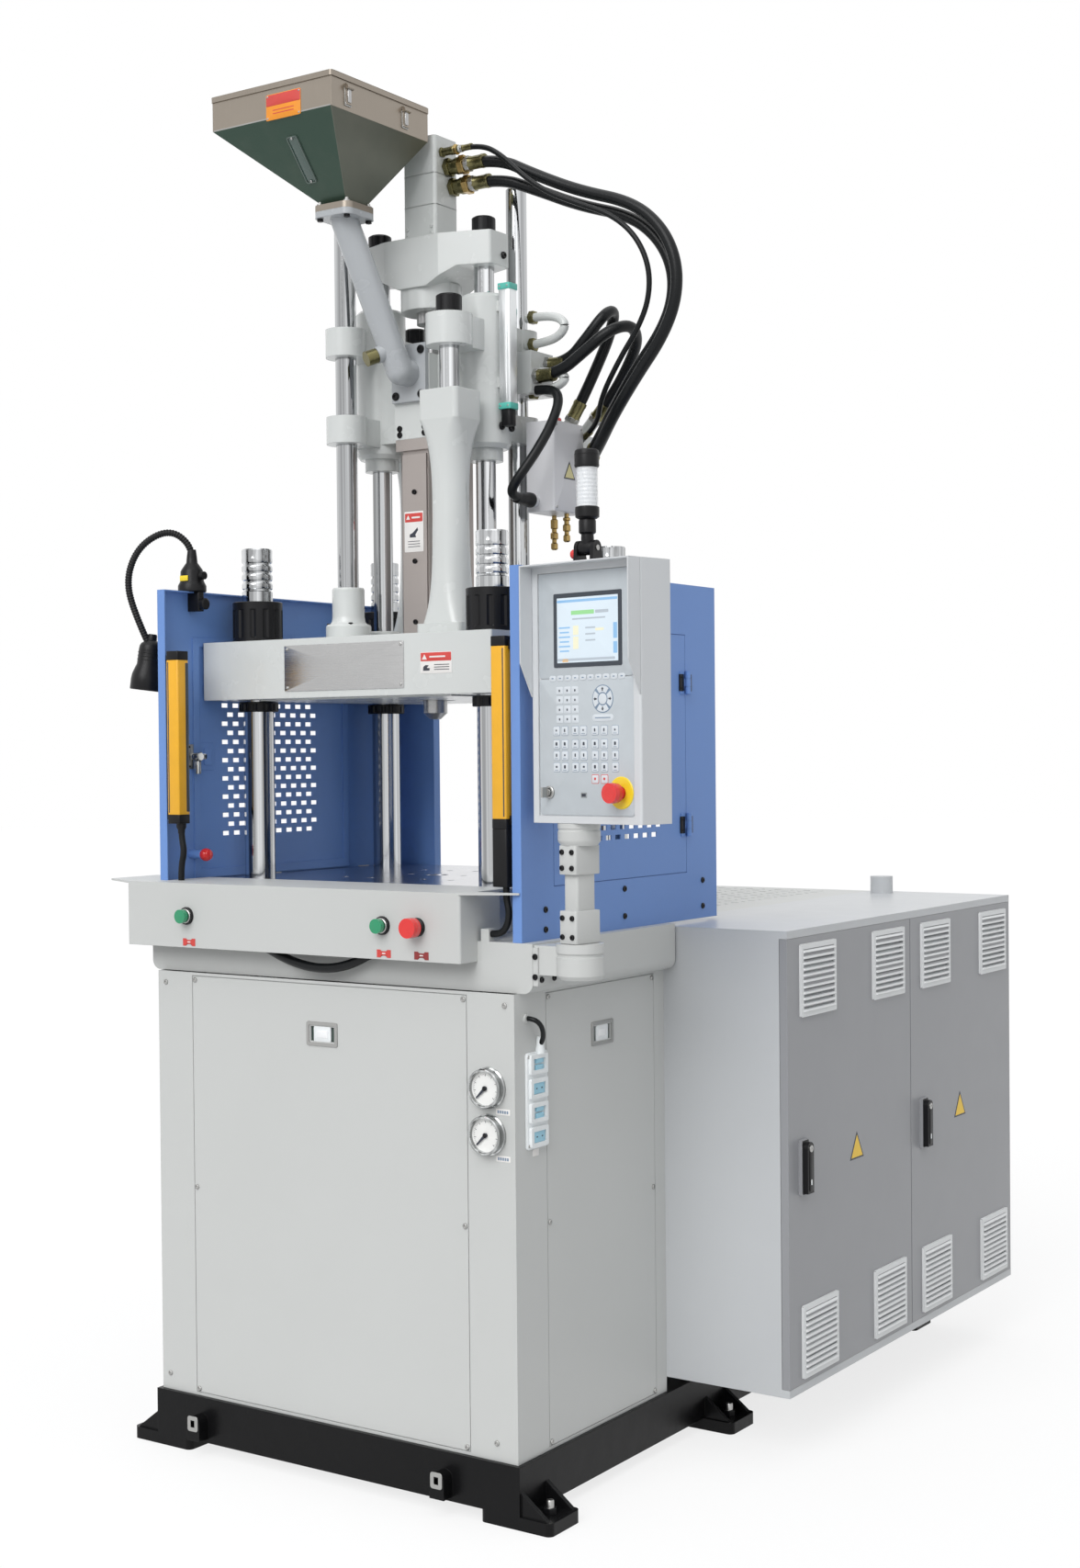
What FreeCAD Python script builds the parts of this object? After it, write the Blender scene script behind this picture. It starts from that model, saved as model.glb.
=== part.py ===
import FreeCAD, Part

import os
from math import atan2, cos, degrees, hypot, pi, radians, sin, tan

# Vertical injection moulding machine. Millimetres, X right, Y back, Z up.
# The origin is on the floor at the centre of the four corner anchor holes.

V = FreeCAD.Vector
X_AXIS = V(1, 0, 0)
Y_AXIS = V(0, 1, 0)
Z_AXIS = V(0, 0, 1)

# ---- fits and clearances -------------------------------------------------
RUN = 0.05          # radial clearance of a running fit
GAP = 0.5           # air between faces that pass each other
SEAM = 1.5          # seam round a sheet cover or door
SHEET = 3.0         # sheet metal
BOSS = 10.0         # how far a boss or lug is sunk into the casting that carries it

# ---- base frame ----------------------------------------------------------
BASE_HALF_W = 490.0
BASE_HALF_L = 916.0
CHANNEL_H = 90.0
CHANNEL_FLANGE = 58.0
CHANNEL_WEB = 7.0
FLOOR_T = 8.0
CROSS_MEMBERS = 2
PAD_T = 26.0
PAD_L = 108.0
PAD_IN = 97.0
PAD_OUT = 73.0
ANCHOR_OUT = 37.0
ANCHOR_R = 10.0
GUSSET_T = 10.0
GUSSET_H = 47.0
MID_FOOT_Y = -132.0
LUG_W = 36.0
LUG_H = 46.0
LUG_PROUD = 30.0
LUG_HOLE_R = 7.0
LUG_LEFT_X = -355.0
LUG_RIGHT_X = 308.0

# ---- cabinet -------------------------------------------------------------
CAB_HALF_W = 481.0
CAB_FRONT_Y = -906.0
CAB_STEP_Y = -332.0
REAR_RIGHT_X = 396.0
REAR_Y = 906.0
CAB_FRONT_H = 931.0
REAR_RISE = 90.0
LIP_W = 16.0
LIP_OVERLAP = 12.0
PANEL_LOW = 8.0
PANEL_TOP_GAP = 8.0
FRONT_PANEL_LEFT = -378.0
FRONT_PANEL_RIGHT = 364.0
SIDE_PANEL_FRONT = -794.0
SIDE_PANEL_BACK = -376.0
REAR_PANEL_MARGIN = 90.0
PULL_W = 74.0
PULL_H = 41.0
PULL_Z = 820.0
PULL_BORDER = 5.0
DECK_T = 3.0
DECK_FRONT_Y = -60.0

# ---- bed, table, apron ---------------------------------------------------
BED_HALF_W = 514.0
BED_FRONT_Y = -889.0
BED_STEP_Y = -337.0
BED_BACK_Y = -64.0
BED_REAR_RIGHT_X = 392.0
BED_H = 100.0
BED_CORNER_R = 22.0
MOULD_X = -77.0
MOULD_Y = -410.0
TABLE_HALF_W = 403.0
TABLE_HALF_L = 343.0
TABLE_T = 95.0
TIE_DX = 331.0
TIE_DY = 236.0
TIE_R = 35.0
TAP_R = 8.0
TAP_DEPTH = 30.0
TAP_DX = 75.0
TAP_DY = 75.0
TAP_COLS = 5
TAP_ROWS = 3
EJECTOR_R = 25.0
EJECTOR_L = 150.0
EJECTOR_DROP = 2.0
APRON_FRONT_Y = -948.0
APRON_LEFT_X = -532.0
APRON_RIGHT_X = 381.0
APRON_DROP = 136.0
APRON_SIDE_L = 142.0
APRON_EDGE_R = 6.0
TOP_PLATE_T = 4.0
TOP_PLATE_WING = 105.0
TOP_PLATE_WING_Y = -893.0
TOP_PLATE_BACK_Y = -748.0
BUTTON_Z = 1183.0
BUTTON_LEFT_X = -352.7
BUTTON_RIGHT_X = 187.0
APRON_STOP_X = 276.0
BEZEL_R = 18.0
BEZEL_T = 6.0

# ---- guards --------------------------------------------------------------
GUARD_X = 489.0
GUARD_FRONT_Y = -888.0
GUARD_FLANGE = 22.0
GUARD_H = 745.0
RIGHT_GUARD_BACK_Y = -106.0
LEFT_GUARD_BACK_Y = -49.0
LEFT_RETURN_X = -353.0
DOOR_FRONT_Y = -772.0
DOOR_BACK_Y = -242.0
DOOR_LOW = 107.0
DOOR_H = 525.0
GRILLE_Y0 = -684.0
GRILLE_Y1 = -352.0
GRILLE_LOW = 78.0
GRILLE_H = 316.0
SLOT_COLS = 9
SLOT_ROWS = 15
SLOT_L = 22.0
SLOT_H = 10.0
DOOR_LIP = 10.0
GUARD_LUG_W = 34.0
GUARD_LUG_YS = [-835.0, -508.0, -176.0]
GUARD_KNOB_Y = -793.0
GUARD_KNOB_RISE = 152.0
GUARD_KNOB_L = 46.0
GUARD_KNOB_R = 10.0
HINGE_R = 6.0
HINGE_PIN_R = 2.5
HINGE_KNUCKLE = 17.0
HINGE_LEAF_W = 24.0
HINGE_LEAF_T = 2.5
LATCH_W = 46.0
LATCH_H = 62.0
LATCH_LOW = 235.0
LATCH_PLATE_T = 2.0
LATCH_BODY_T = 3.0
CURTAIN_W = 35.0
CURTAIN_Y = -879.0
CURTAIN_LEFT_X = -439.0
CURTAIN_RIGHT_X = 442.0
CURTAIN_LOW = 225.0
CURTAIN_H = 382.0
CURTAIN_TAIL = 115.0

# ---- electrical cabinet --------------------------------------------------
ELEC_FACE_X = 765.0
ELEC_FRONT_Y = -332.0
ELEC_BACK_Y = 916.0
ELEC_Z0 = 156.0
ELEC_Z1 = 1148.0
ELEC_SPLIT_Y = 295.0
ELEC_RIM = 17.0
ELEC_DOOR_T = 19.0
ELEC_FRAME = 40.0
VENT_W = 168.0
VENT_H = 155.0
VENT_SLATS = 9
VENT_LOW_Z = 168.0
VENT_HIGH_Z = 960.0
VENT_EDGE = 56.0
HANDLE_W = 36.0
HANDLE_H = 118.0
HANDLE_Z0 = 580.0
HANDLE_INSET = 65.0
PIVOT_R = 2.5
PIVOT_L = 8.0
PIVOT_INSET = 3.2
CAP_R = 29.5
CAP_H = 45.0
CAP_X = 460.0
CAP_Y = 839.0

# ---- gauges and socket strip ---------------------------------------------
GAUGE_R = 41.0
GAUGE_X = 418.4
GAUGE_T = 22.0
GAUGE_LOW_Z = 774.0
GAUGE_HIGH_Z = 867.0
STRIP_Y0 = -872.0
STRIP_Y1 = -799.0
STRIP_Z0 = 742.0
STRIP_Z1 = 935.0
STRIP_T = 12.0

# ---- operator panel ------------------------------------------------------
POST_X = 606.0
POST_Y = -858.0
POST_TILT = 10.0
BRACKET_Y0 = -888.0
BRACKET_Y1 = -817.0
ROUND_JOINT_R = 47.0
ROUND_JOINT_H = 70.0
CLAMP_LOW_H = 65.0
TUBE_H = 70.0
CLAMP_HIGH_H = 57.0
CUP_H = 57.0
TUBE_W = 80.0
TUBE_WALL = 4.0
CLAMP_W = 98.0
CLAMP_D = 92.0
HMI_W = 285.0
HMI_D = 90.0
HMI_H = 502.0
HMI_LEFT = -89.0
HMI_FRONT = -38.0
HMI_WALL = 3.0
VISOR_D = 33.0
VISOR_SIDE_H = 190.0
SCREEN_W = 176.0
SCREEN_H = 140.0
SCREEN_LOW = 300.0

# ---- lamps ---------------------------------------------------------------
SIGNAL_X = 484.0
SIGNAL_Y = -629.0
SIGNAL_BASE_H = 70.0
SIGNAL_LENS_R = 23.0
SIGNAL_H = 186.0
WORK_X = -480.0
WORK_Y = -785.0
WORK_BASE_R = 32.0
WORK_BASE_H = 66.0
NECK_R = 8.0
WORK_HEAD_R = 27.0
WORK_HEAD_L = 118.0

# ---- clamp ---------------------------------------------------------------
DAYLIGHT = 405.0
PLATEN_T = 131.0
CYLINDER_R = 150.0
CYLINDER_H = 330.0
CYLINDER_ROD_R = 60.0
HEAD_T = 90.0
HEAD_TOP = 470.0
HEAD_LOW_NUT = 28.0
TIE_TOP = 216.0
MOULD_PAD_HALF_W = 268.0
MOULD_PAD_HALF_L = 300.0
MOULD_PAD_T = 3.0
NUT_R = 57.0
NUT_H = 94.0
COLLAR_H = 34.0

# ---- injection unit: plan offsets from the mould axis --------------------
ROD_DX = 149.0
ROD_DY = 130.0
PEDESTAL_DY = 135.0
ROD_R = 24.0
INJECT_ROD_R = 22.5
PEDESTAL_W = 105.0
PEDESTAL_D = 98.0
PEDESTAL_H = 544.0
GUIDE_FRONT_TOP = 1002.0
GUIDE_BACK_TOP = 1044.0
SOCKET_R = 37.0
SOCKET_H = 124.0
SOCKET_FLANGE_R = 52.0
SOCKET_FLANGE_H = 40.0
CAST_Z = 429.0
CAST_H = 345.0
CAST_R = 58.0
CAST_FLANGE_R = 39.5
CAST_FLANGE_H = 27.0
COLLAR_R = 46.0
COLLAR_LOW_Z = 452.0
COLLAR_LOW_H = 62.0
COLLAR_HIGH_Z = 649.0
COLLAR_HIGH_H = 64.0
LUG_R = 52.0
LUG_LOW_Z = 642.0
LUG_THICK = 70.0
ROD_NUT_R = 29.0
ROD_NUT_H = 45.0
LOWER_ROD_TOP = 534.0
INJECT_ROD_BOTTOM = 589.0
WEB_HALF_D = 46.0
NOSE_HALF_W = 50.0
NOSE_DY = 78.0
FEED_PLATE_W = 96.0
FEED_PLATE_H = 130.0
FEED_PLATE_T = 12.0
FEED_PLATE_Z = 606.0
BARREL_R = 45.0
BARREL_BORE_R = 18.5
NOZZLE_R = 27.5
NOZZLE_DROP = 46.0
SCREW_R = 18.0
COVER_HALF_W = 65.0
COVER_HALF_D = 66.0
COVER_PLATE_W = 68.0
COVER_PLATE_T = 6.0
COVER_Z = 16.0

# ---- thrust beam and motor -----------------------------------------------
BEAM_Z = 839.0
BEAM_TIP_H = 75.0
BEAM_DEEP_H = 113.0
BEAM_TIP_HALF = 36.0
BEAM_MID_HALF = 76.0
BEAM_END = 44.0
HUB_R = 70.5
HUB_H = 60.0
COUPLING_R = 34.0
COUPLING_H = 26.0
THRUST_NUT_R = 27.0
THRUST_NUT_H = 40.0
MOTOR_W = 92.0
MOTOR_D = 86.0
MOTOR_H = 234.0
FITTING_R = 16.0
FITTING_L = 56.0

# ---- hopper and feed -----------------------------------------------------
HOPPER_X = -208.0
HOPPER_Y = -640.0
HOPPER_W = 340.0
HOPPER_BOX_H = 63.0
LID_T = 12.0
LID_EDGE = 3.0
CONE_H = 167.0
HOPPER_WALL = 2.5
OUTLET_X = -144.0
OUTLET_W = 64.0
HOPPER_FLANGE_W = 102.0
HOPPER_FLANGE_T = 14.0
PIPE_R = 31.0
PIPE_WALL = 5.0
PIPE_TOP_Z = 932.0
GATE_ALONG = 0.86

# ---- side devices on the carriage ----------------------------------------
TRANSDUCER_W = 30.0
TRANSDUCER_Z0 = 511.0
TRANSDUCER_Z1 = 791.0
TRANSDUCER_DY = -16.0
BOX_X0 = 137.0
BOX_X1 = 213.0
BOX_Y0 = -344.0
BOX_Y1 = -222.0
BOX_Z0 = 289.0
BOX_Z1 = 493.0

# ---- levels and places worked out from the sizes above -------------------
CHANNEL_TOP = PAD_T + CHANNEL_H
FLOOR_TOP = CHANNEL_TOP + FLOOR_T
BED_Z = FLOOR_TOP + CAB_FRONT_H
BED_TOP = BED_Z + BED_H
TABLE_TOP = BED_TOP + TABLE_T
PLATEN_Z = TABLE_TOP + DAYLIGHT
PLATEN_TOP = PLATEN_Z + PLATEN_T
REAR_TOP = BED_Z + REAR_RISE
GUARD_TOP = BED_TOP + GUARD_H
DOOR_Z0 = BED_TOP + DOOR_LOW
DOOR_Z1 = DOOR_Z0 + DOOR_H
GRILLE_Z0 = DOOR_Z0 + GRILLE_LOW
GRILLE_Z1 = GRILLE_Z0 + GRILLE_H
CURTAIN_Z0 = BED_TOP + CURTAIN_LOW
CURTAIN_Z1 = CURTAIN_Z0 + CURTAIN_H
PAD_INNER_X = BASE_HALF_W - PAD_IN
PAD_OUTER_X = BASE_HALF_W + PAD_OUT
ANCHOR_X = BASE_HALF_W + ANCHOR_OUT
TABLE_FRONT_Y = MOULD_Y - TABLE_HALF_L
TABLE_BACK_Y = MOULD_Y + TABLE_HALF_L
CAST_BOTTOM = PLATEN_TOP + CAST_Z
CAST_TOP = CAST_BOTTOM + CAST_H
BEAM_BOTTOM = PLATEN_TOP + BEAM_Z
BEAM_TOP = BEAM_BOTTOM + BEAM_TIP_H
GUARD_LUG_T = GUARD_X - SHEET - (TABLE_HALF_W - MOULD_X)
TIE_PLACES = [(MOULD_X + sx * TIE_DX, MOULD_Y + sy * TIE_DY) for sx in (-1, 1) for sy in (-1, 1)]
GUIDE_PLACES = [(MOULD_X - ROD_DX, MOULD_Y - ROD_DY), (MOULD_X + ROD_DX, MOULD_Y + ROD_DY)]
CAST_PLACES = [(MOULD_X - ROD_DX, MOULD_Y), (MOULD_X + ROD_DX, MOULD_Y)]
PEDESTAL_PLACES = [(MOULD_X + ROD_DX, MOULD_Y - PEDESTAL_DY), (MOULD_X - ROD_DX, MOULD_Y + PEDESTAL_DY)]


# ---- shape helpers -------------------------------------------------------
def block(x0, x1, y0, y1, z0, z1):
    return Part.makeBox(x1 - x0, y1 - y0, z1 - z0, V(x0, y0, z0))


def rod(x, y, z0, z1, radius):
    return Part.makeCylinder(radius, z1 - z0, V(x, y, z0), Z_AXIS)


def rod_x(x0, x1, y, z, radius):
    return Part.makeCylinder(radius, x1 - x0, V(x0, y, z), X_AXIS)


def rod_y(y0, y1, x, z, radius):
    return Part.makeCylinder(radius, y1 - y0, V(x, y0, z), Y_AXIS)


def extruded(points, travel):
    wire = Part.makePolygon(points + [points[0]])
    return Part.Face(wire).extrude(travel)


def plan(points, z0, z1):
    """A plan outline of (x, y) points raised from z0 to z1."""
    return extruded([V(x, y, z0) for x, y in points], V(0, 0, z1 - z0))


def front_profile(points, y0, y1):
    """A front outline of (x, z) points carried from y0 to y1."""
    return extruded([V(x, y0, z) for x, z in points], V(0, y1 - y0, 0))


def side_profile(points, x0, x1):
    """A side outline of (y, z) points carried from x0 to x1."""
    return extruded([V(x0, y, z) for y, z in points], V(x1 - x0, 0, 0))


def turned(points, x, y):
    """A half section of (radius, z) points turned about the vertical at (x, y)."""
    wire = Part.makePolygon([V(x + r, y, z) for r, z in points + [points[0]]])
    return Part.Face(wire).revolve(V(x, y, 0), Z_AXIS, 360)


def joined(*shapes):
    first = shapes[0]
    return first.fuse(list(shapes[1:])).removeSplitter()


def cut(shape, *tools):
    return shape.cut(list(tools))


def vertical_edges(shape):
    found = []
    for edge in shape.Edges:
        ends = [vertex.Point for vertex in edge.Vertexes]
        if len(ends) == 2 and abs(ends[0].x - ends[1].x) + abs(ends[0].y - ends[1].y) < 0.01:
            found.append(edge)
    return found


def rounded(shape, radius):
    return shape.makeFillet(radius, vertical_edges(shape))


def rounded_section(x, y, z, width, depth, radius):
    """A closed rectangle with rounded corners, level at height z."""
    hw = width / 2 - radius
    hd = depth / 2 - radius
    edges = []
    corners = [(hw, hd, 0), (-hw, hd, 90), (-hw, -hd, 180), (hw, -hd, 270)]
    ends = []
    for cx, cy, start in corners:
        points = []
        for turn in (0, 45, 90):
            angle = radians(start + turn)
            points.append(V(x + cx + radius * cos(angle), y + cy + radius * sin(angle), z))
        edges.append(Part.Arc(*points).toShape())
        ends.append((points[0], points[2]))
    ordered = []
    for index in range(4):
        ordered.append(edges[index])
        ordered.append(Part.makeLine(ends[index][1], ends[(index + 1) % 4][0]))
    return Part.Wire(ordered)


def lofted(sections, ruled=False):
    return Part.makeLoft(sections, True, ruled)


def turned_about(shape, x, y, angle):
    copy = shape.copy()
    copy.rotate(V(x, y, 0), Z_AXIS, angle)
    return copy


def mirrored_x(shape):
    return shape.mirror(V(0, 0, 0), X_AXIS)


def above(level, points):
    """Points of (x, y, height above a level)."""
    return [(x, y, level + height) for x, y, height in points]


def cord(points, diameter, name):
    """A round tube along straight runs joined by tangent arcs."""
    places = [V(*point) for point in points]
    edges = []
    radii = []
    start = places[0]
    for before, here, after in zip(places, places[1:], places[2:]):
        into = (here - before).normalize()
        out = (after - here).normalize()
        turn = into.getAngle(out)
        shorter = min((here - before).Length, (after - here).Length)
        setback = 0.45 * shorter
        radii.append(setback / tan(turn / 2))
        arc_in = here - into * setback
        arc_out = here + out * setback
        bisector = (out - into).normalize()
        sagitta = radii[-1] * (1 / cos(turn / 2) - 1)
        edges.append(Part.LineSegment(start, arc_in).toShape())
        edges.append(Part.Arc(arc_in, here + bisector * sagitta, arc_out).toShape())
        start = arc_out
    edges.append(Part.LineSegment(start, places[-1]).toShape())
    path = Part.Wire(edges)
    ring = Part.makeCircle(diameter / 2, places[0], (places[1] - places[0]).normalize())
    tube = path.makePipeShell([Part.Wire([ring])], True, False)
    section = pi * diameter ** 2 / 4
    ratio = tube.Volume / (section * path.Length)
    print(name, "diameter", diameter, "length", round(path.Length), "least radius", round(min(radii)),
          "volume ratio", round(ratio, 4))
    return tube


# ---- base frame ----------------------------------------------------------
def lifting_lug(x):
    top_z = PAD_T + LUG_H
    ear = block(x - LUG_W / 2, x + LUG_W / 2, -BASE_HALF_L - LUG_PROUD, -BASE_HALF_L, PAD_T + GUSSET_T, top_z)
    crown = rod_y(-BASE_HALF_L - LUG_PROUD, -BASE_HALF_L, x, top_z, LUG_W / 2)
    hole = rod_y(-BASE_HALF_L - LUG_PROUD - 1, -BASE_HALF_L, x, top_z, LUG_HOLE_R)
    return cut(joined(ear, crown), hole)


def foot(y, side):
    """A pad plate under the right channel with two gussets, or its mirror."""
    pad = block(PAD_INNER_X, PAD_OUTER_X, y - PAD_L / 2, y + PAD_L / 2, 0, PAD_T)
    pad = cut(rounded(pad, PAD_T / 2), rod(ANCHOR_X, y, -1, PAD_T + 1, ANCHOR_R))
    slope = [(BASE_HALF_W, PAD_T), (PAD_OUTER_X - GUSSET_T, PAD_T), (BASE_HALF_W, PAD_T + GUSSET_H)]
    pieces = [pad]
    for end in (-1, 1):
        middle = y + end * (PAD_L / 2 - GUSSET_T)
        pieces.append(front_profile(slope, middle - GUSSET_T / 2, middle + GUSSET_T / 2))
    shape = joined(*pieces)
    return shape if side > 0 else mirrored_x(shape)


def base_frame():
    outer = block(-BASE_HALF_W, BASE_HALF_W, -BASE_HALF_L, BASE_HALF_L, PAD_T, CHANNEL_TOP)
    inner_x = BASE_HALF_W - CHANNEL_FLANGE
    inner_y = BASE_HALF_L - CHANNEL_FLANGE
    well = block(-inner_x, inner_x, -inner_y, inner_y, PAD_T - 1, CHANNEL_TOP + 1)
    ring = cut(outer, well)
    pieces = [ring]
    pitch = 2 * inner_y / (CROSS_MEMBERS + 1)
    for index in range(CROSS_MEMBERS):
        middle = -inner_y + (index + 1) * pitch
        member = block(-inner_x, inner_x, middle - CHANNEL_FLANGE / 2, middle + CHANNEL_FLANGE / 2,
                       PAD_T, CHANNEL_TOP)
        pieces.append(member)
    pieces.append(block(-BASE_HALF_W, BASE_HALF_W, -BASE_HALF_L, BASE_HALF_L, CHANNEL_TOP, FLOOR_TOP))
    end_foot_y = BASE_HALF_L - PAD_L / 2
    for side in (-1, 1):
        for y in (-end_foot_y, MID_FOOT_Y, end_foot_y):
            pieces.append(foot(y, side))
    pieces.append(lifting_lug(LUG_LEFT_X))
    pieces.append(lifting_lug(LUG_RIGHT_X))
    frame = joined(*pieces)
    hollow_z0 = PAD_T + CHANNEL_WEB
    hollow_z1 = CHANNEL_TOP - CHANNEL_WEB
    for side in (-1, 1):
        x0 = side * (BASE_HALF_W - CHANNEL_FLANGE)
        x1 = side * (BASE_HALF_W - CHANNEL_WEB)
        hollow = block(min(x0, x1), max(x0, x1), -inner_y, inner_y, hollow_z0, hollow_z1)
        frame = cut(frame, hollow)
    return frame


# ---- cabinet -------------------------------------------------------------
def cabinet_plan(inset):
    left = -CAB_HALF_W + inset
    right = CAB_HALF_W - inset
    rear_right = REAR_RIGHT_X - inset
    front = CAB_FRONT_Y + inset
    step = CAB_STEP_Y - inset
    back = REAR_Y - inset
    return [(left, front), (right, front), (right, step), (rear_right, step), (rear_right, back), (left, back)]


def panel_places():
    """Each sheet cover: the wall it lies in, its reach along the wall and its height."""
    front_z0 = FLOOR_TOP + PANEL_LOW
    front_z1 = BED_Z - PANEL_TOP_GAP
    rear_z1 = REAR_TOP - REAR_PANEL_MARGIN
    middle = (CAB_STEP_Y + REAR_Y) / 2
    return [
        ("front", FRONT_PANEL_LEFT, FRONT_PANEL_RIGHT, front_z0, front_z1),
        ("right", SIDE_PANEL_FRONT, SIDE_PANEL_BACK, front_z0, front_z1),
        ("left", SIDE_PANEL_FRONT, SIDE_PANEL_BACK, front_z0, front_z1),
        ("left", CAB_STEP_Y + REAR_PANEL_MARGIN, middle - LIP_W, front_z0, rear_z1),
        ("left", middle + LIP_W, REAR_Y - REAR_PANEL_MARGIN, front_z0, rear_z1),
        ("back", -CAB_HALF_W + REAR_PANEL_MARGIN, REAR_RIGHT_X - REAR_PANEL_MARGIN, front_z0, rear_z1),
    ]


def in_wall(wall, a0, a1, z0, z1, depth0, depth1):
    """A block in a cabinet wall, from depth0 to depth1 behind its outer face."""
    if wall == "front":
        return block(a0, a1, CAB_FRONT_Y + depth0, CAB_FRONT_Y + depth1, z0, z1)
    if wall == "back":
        return block(a0, a1, REAR_Y - depth1, REAR_Y - depth0, z0, z1)
    if wall == "left":
        return block(-CAB_HALF_W + depth0, -CAB_HALF_W + depth1, a0, a1, z0, z1)
    return block(CAB_HALF_W - depth1, CAB_HALF_W - depth0, a0, a1, z0, z1)


def cabinet_frame():
    outer = plan(cabinet_plan(0), FLOOR_TOP, REAR_TOP)
    above_front = block(-CAB_HALF_W, CAB_HALF_W, CAB_FRONT_Y, BED_BACK_Y, BED_Z, REAR_TOP)
    outer = cut(outer, above_front)
    inner = plan(cabinet_plan(SHEET), FLOOR_TOP - 1, REAR_TOP + 1)
    shell = cut(outer, inner)
    pieces = [shell]
    cuts = []
    for wall, a0, a1, z0, z1 in panel_places():
        lip = in_wall(wall, a0 - LIP_OVERLAP, a1 + LIP_OVERLAP, z0 - PANEL_LOW, z1 + PANEL_TOP_GAP - SEAM,
                      SHEET, 2 * SHEET)
        hole = in_wall(wall, a0 + LIP_W, a1 - LIP_W, z0 + LIP_W, z1 - LIP_W, SHEET, 2 * SHEET)
        pieces.append(cut(lip, hole))
        cuts.append(in_wall(wall, a0 - SEAM, a1 + SEAM, z0 - SEAM, z1 + SEAM, 0, SHEET))
    gland_x, gland_y, gland_z = STRIP_CABLE_ROUTE[0]
    pieces.append(rod_x(CAB_HALF_W - SHEET, gland_x, gland_y, gland_z, STRIP_CABLE_D))
    body = joined(*pieces)
    return cut(body, above_front, *cuts)


def cover_panel(wall, a0, a1, z0, z1):
    sheet = in_wall(wall, a0, a1, z0, z1, 0, SHEET)
    middle = (a0 + a1) / 2
    if wall == "front":
        middle = -10.0
    pull_z = min(FLOOR_TOP + PULL_Z, z1 - PULL_H * 2)
    window = in_wall(wall, middle - PULL_W / 2, middle + PULL_W / 2, pull_z - PULL_H / 2, pull_z + PULL_H / 2,
                     -1, SHEET + 1)
    cup = in_wall(wall, middle - PULL_W / 2 - SHEET, middle + PULL_W / 2 + SHEET,
                  pull_z - PULL_H / 2 - SHEET, pull_z + PULL_H / 2 + SHEET, SHEET, PULL_H / 2)
    hollow = in_wall(wall, middle - PULL_W / 2 + PULL_BORDER, middle + PULL_W / 2 - PULL_BORDER,
                     pull_z - PULL_H / 2 + PULL_BORDER, pull_z + PULL_H / 2 - PULL_BORDER, -1, PULL_H / 2 - SHEET)
    rim = in_wall(wall, middle - PULL_W / 2, middle + PULL_W / 2, pull_z - PULL_H / 2, pull_z + PULL_H / 2,
                  0, SHEET)
    return cut(joined(cut(sheet, window), rim, cup), hollow)


def cover_panels():
    pieces = [cover_panel(*place) for place in panel_places()]
    deck = plan([(-CAB_HALF_W, DECK_FRONT_Y), (REAR_RIGHT_X, DECK_FRONT_Y), (REAR_RIGHT_X, REAR_Y),
                 (-CAB_HALF_W, REAR_Y)], REAR_TOP, REAR_TOP + DECK_T)
    pieces.append(deck)
    return Part.makeCompound(pieces)


# ---- bed, table, apron ---------------------------------------------------
def guard_lug(x, y):
    """A bolting lug on the bed, inside a guard sheet."""
    return block(x - GUARD_LUG_T / 2, x + GUARD_LUG_T / 2, y - GUARD_LUG_W / 2, y + GUARD_LUG_W / 2,
                 BED_TOP - BOSS, DOOR_Z0 - DOOR_LIP - GAP)


def bed_beam():
    outline = [(-BED_HALF_W, BED_FRONT_Y), (BED_HALF_W, BED_FRONT_Y), (BED_HALF_W, BED_STEP_Y),
               (BED_REAR_RIGHT_X, BED_STEP_Y), (BED_REAR_RIGHT_X, BED_BACK_Y), (-BED_HALF_W, BED_BACK_Y)]
    beam = plan(outline, BED_Z, BED_TOP)
    low_edges = []
    for edge in beam.Edges:
        box = edge.BoundBox
        on_floor = abs(box.ZMax - BED_Z) < 0.01
        if on_floor and (abs(box.XMax + BED_HALF_W) < 0.01 or abs(box.XMin - BED_HALF_W) < 0.01):
            low_edges.append(edge)
    beam = beam.makeFillet(BED_CORNER_R, low_edges)
    lugs = []
    lug_x = GUARD_X - SHEET - GUARD_LUG_T / 2
    for y in GUARD_LUG_YS:
        lugs.append(guard_lug(-lug_x, y))
    for y in GUARD_LUG_YS[:2]:
        lugs.append(guard_lug(lug_x, y))
    for end, side in ((APRON_ROUTE[0], -1), (APRON_ROUTE[-1], 1)):
        x, y, z = end
        x0 = min(x, x + side * CABLE_D)
        lugs.append(block(x0, x0 + CABLE_D, y - CABLE_D / 2 - 2, BED_FRONT_Y, z - CABLE_D / 2 - 2,
                          z + CABLE_D / 2 + 2))
    gland_x, gland_y, gland_z = RIGHT_CABLE_ROUTE[-1]
    lugs.append(block(gland_x - CABLE_D, gland_x, gland_y - CABLE_D / 2, gland_y + CABLE_D / 2, BED_TOP,
                      gland_z + CABLE_D / 2))
    beam = joined(beam, *lugs)
    bores = [rod(x, y, BED_Z - 1, BED_TOP + 1, TIE_R + GAP) for x, y in TIE_PLACES]
    bores.append(rod(MOULD_X, MOULD_Y, BED_Z - 1, BED_TOP + 1, EJECTOR_R + GAP))
    return cut(beam, *bores)


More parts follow.
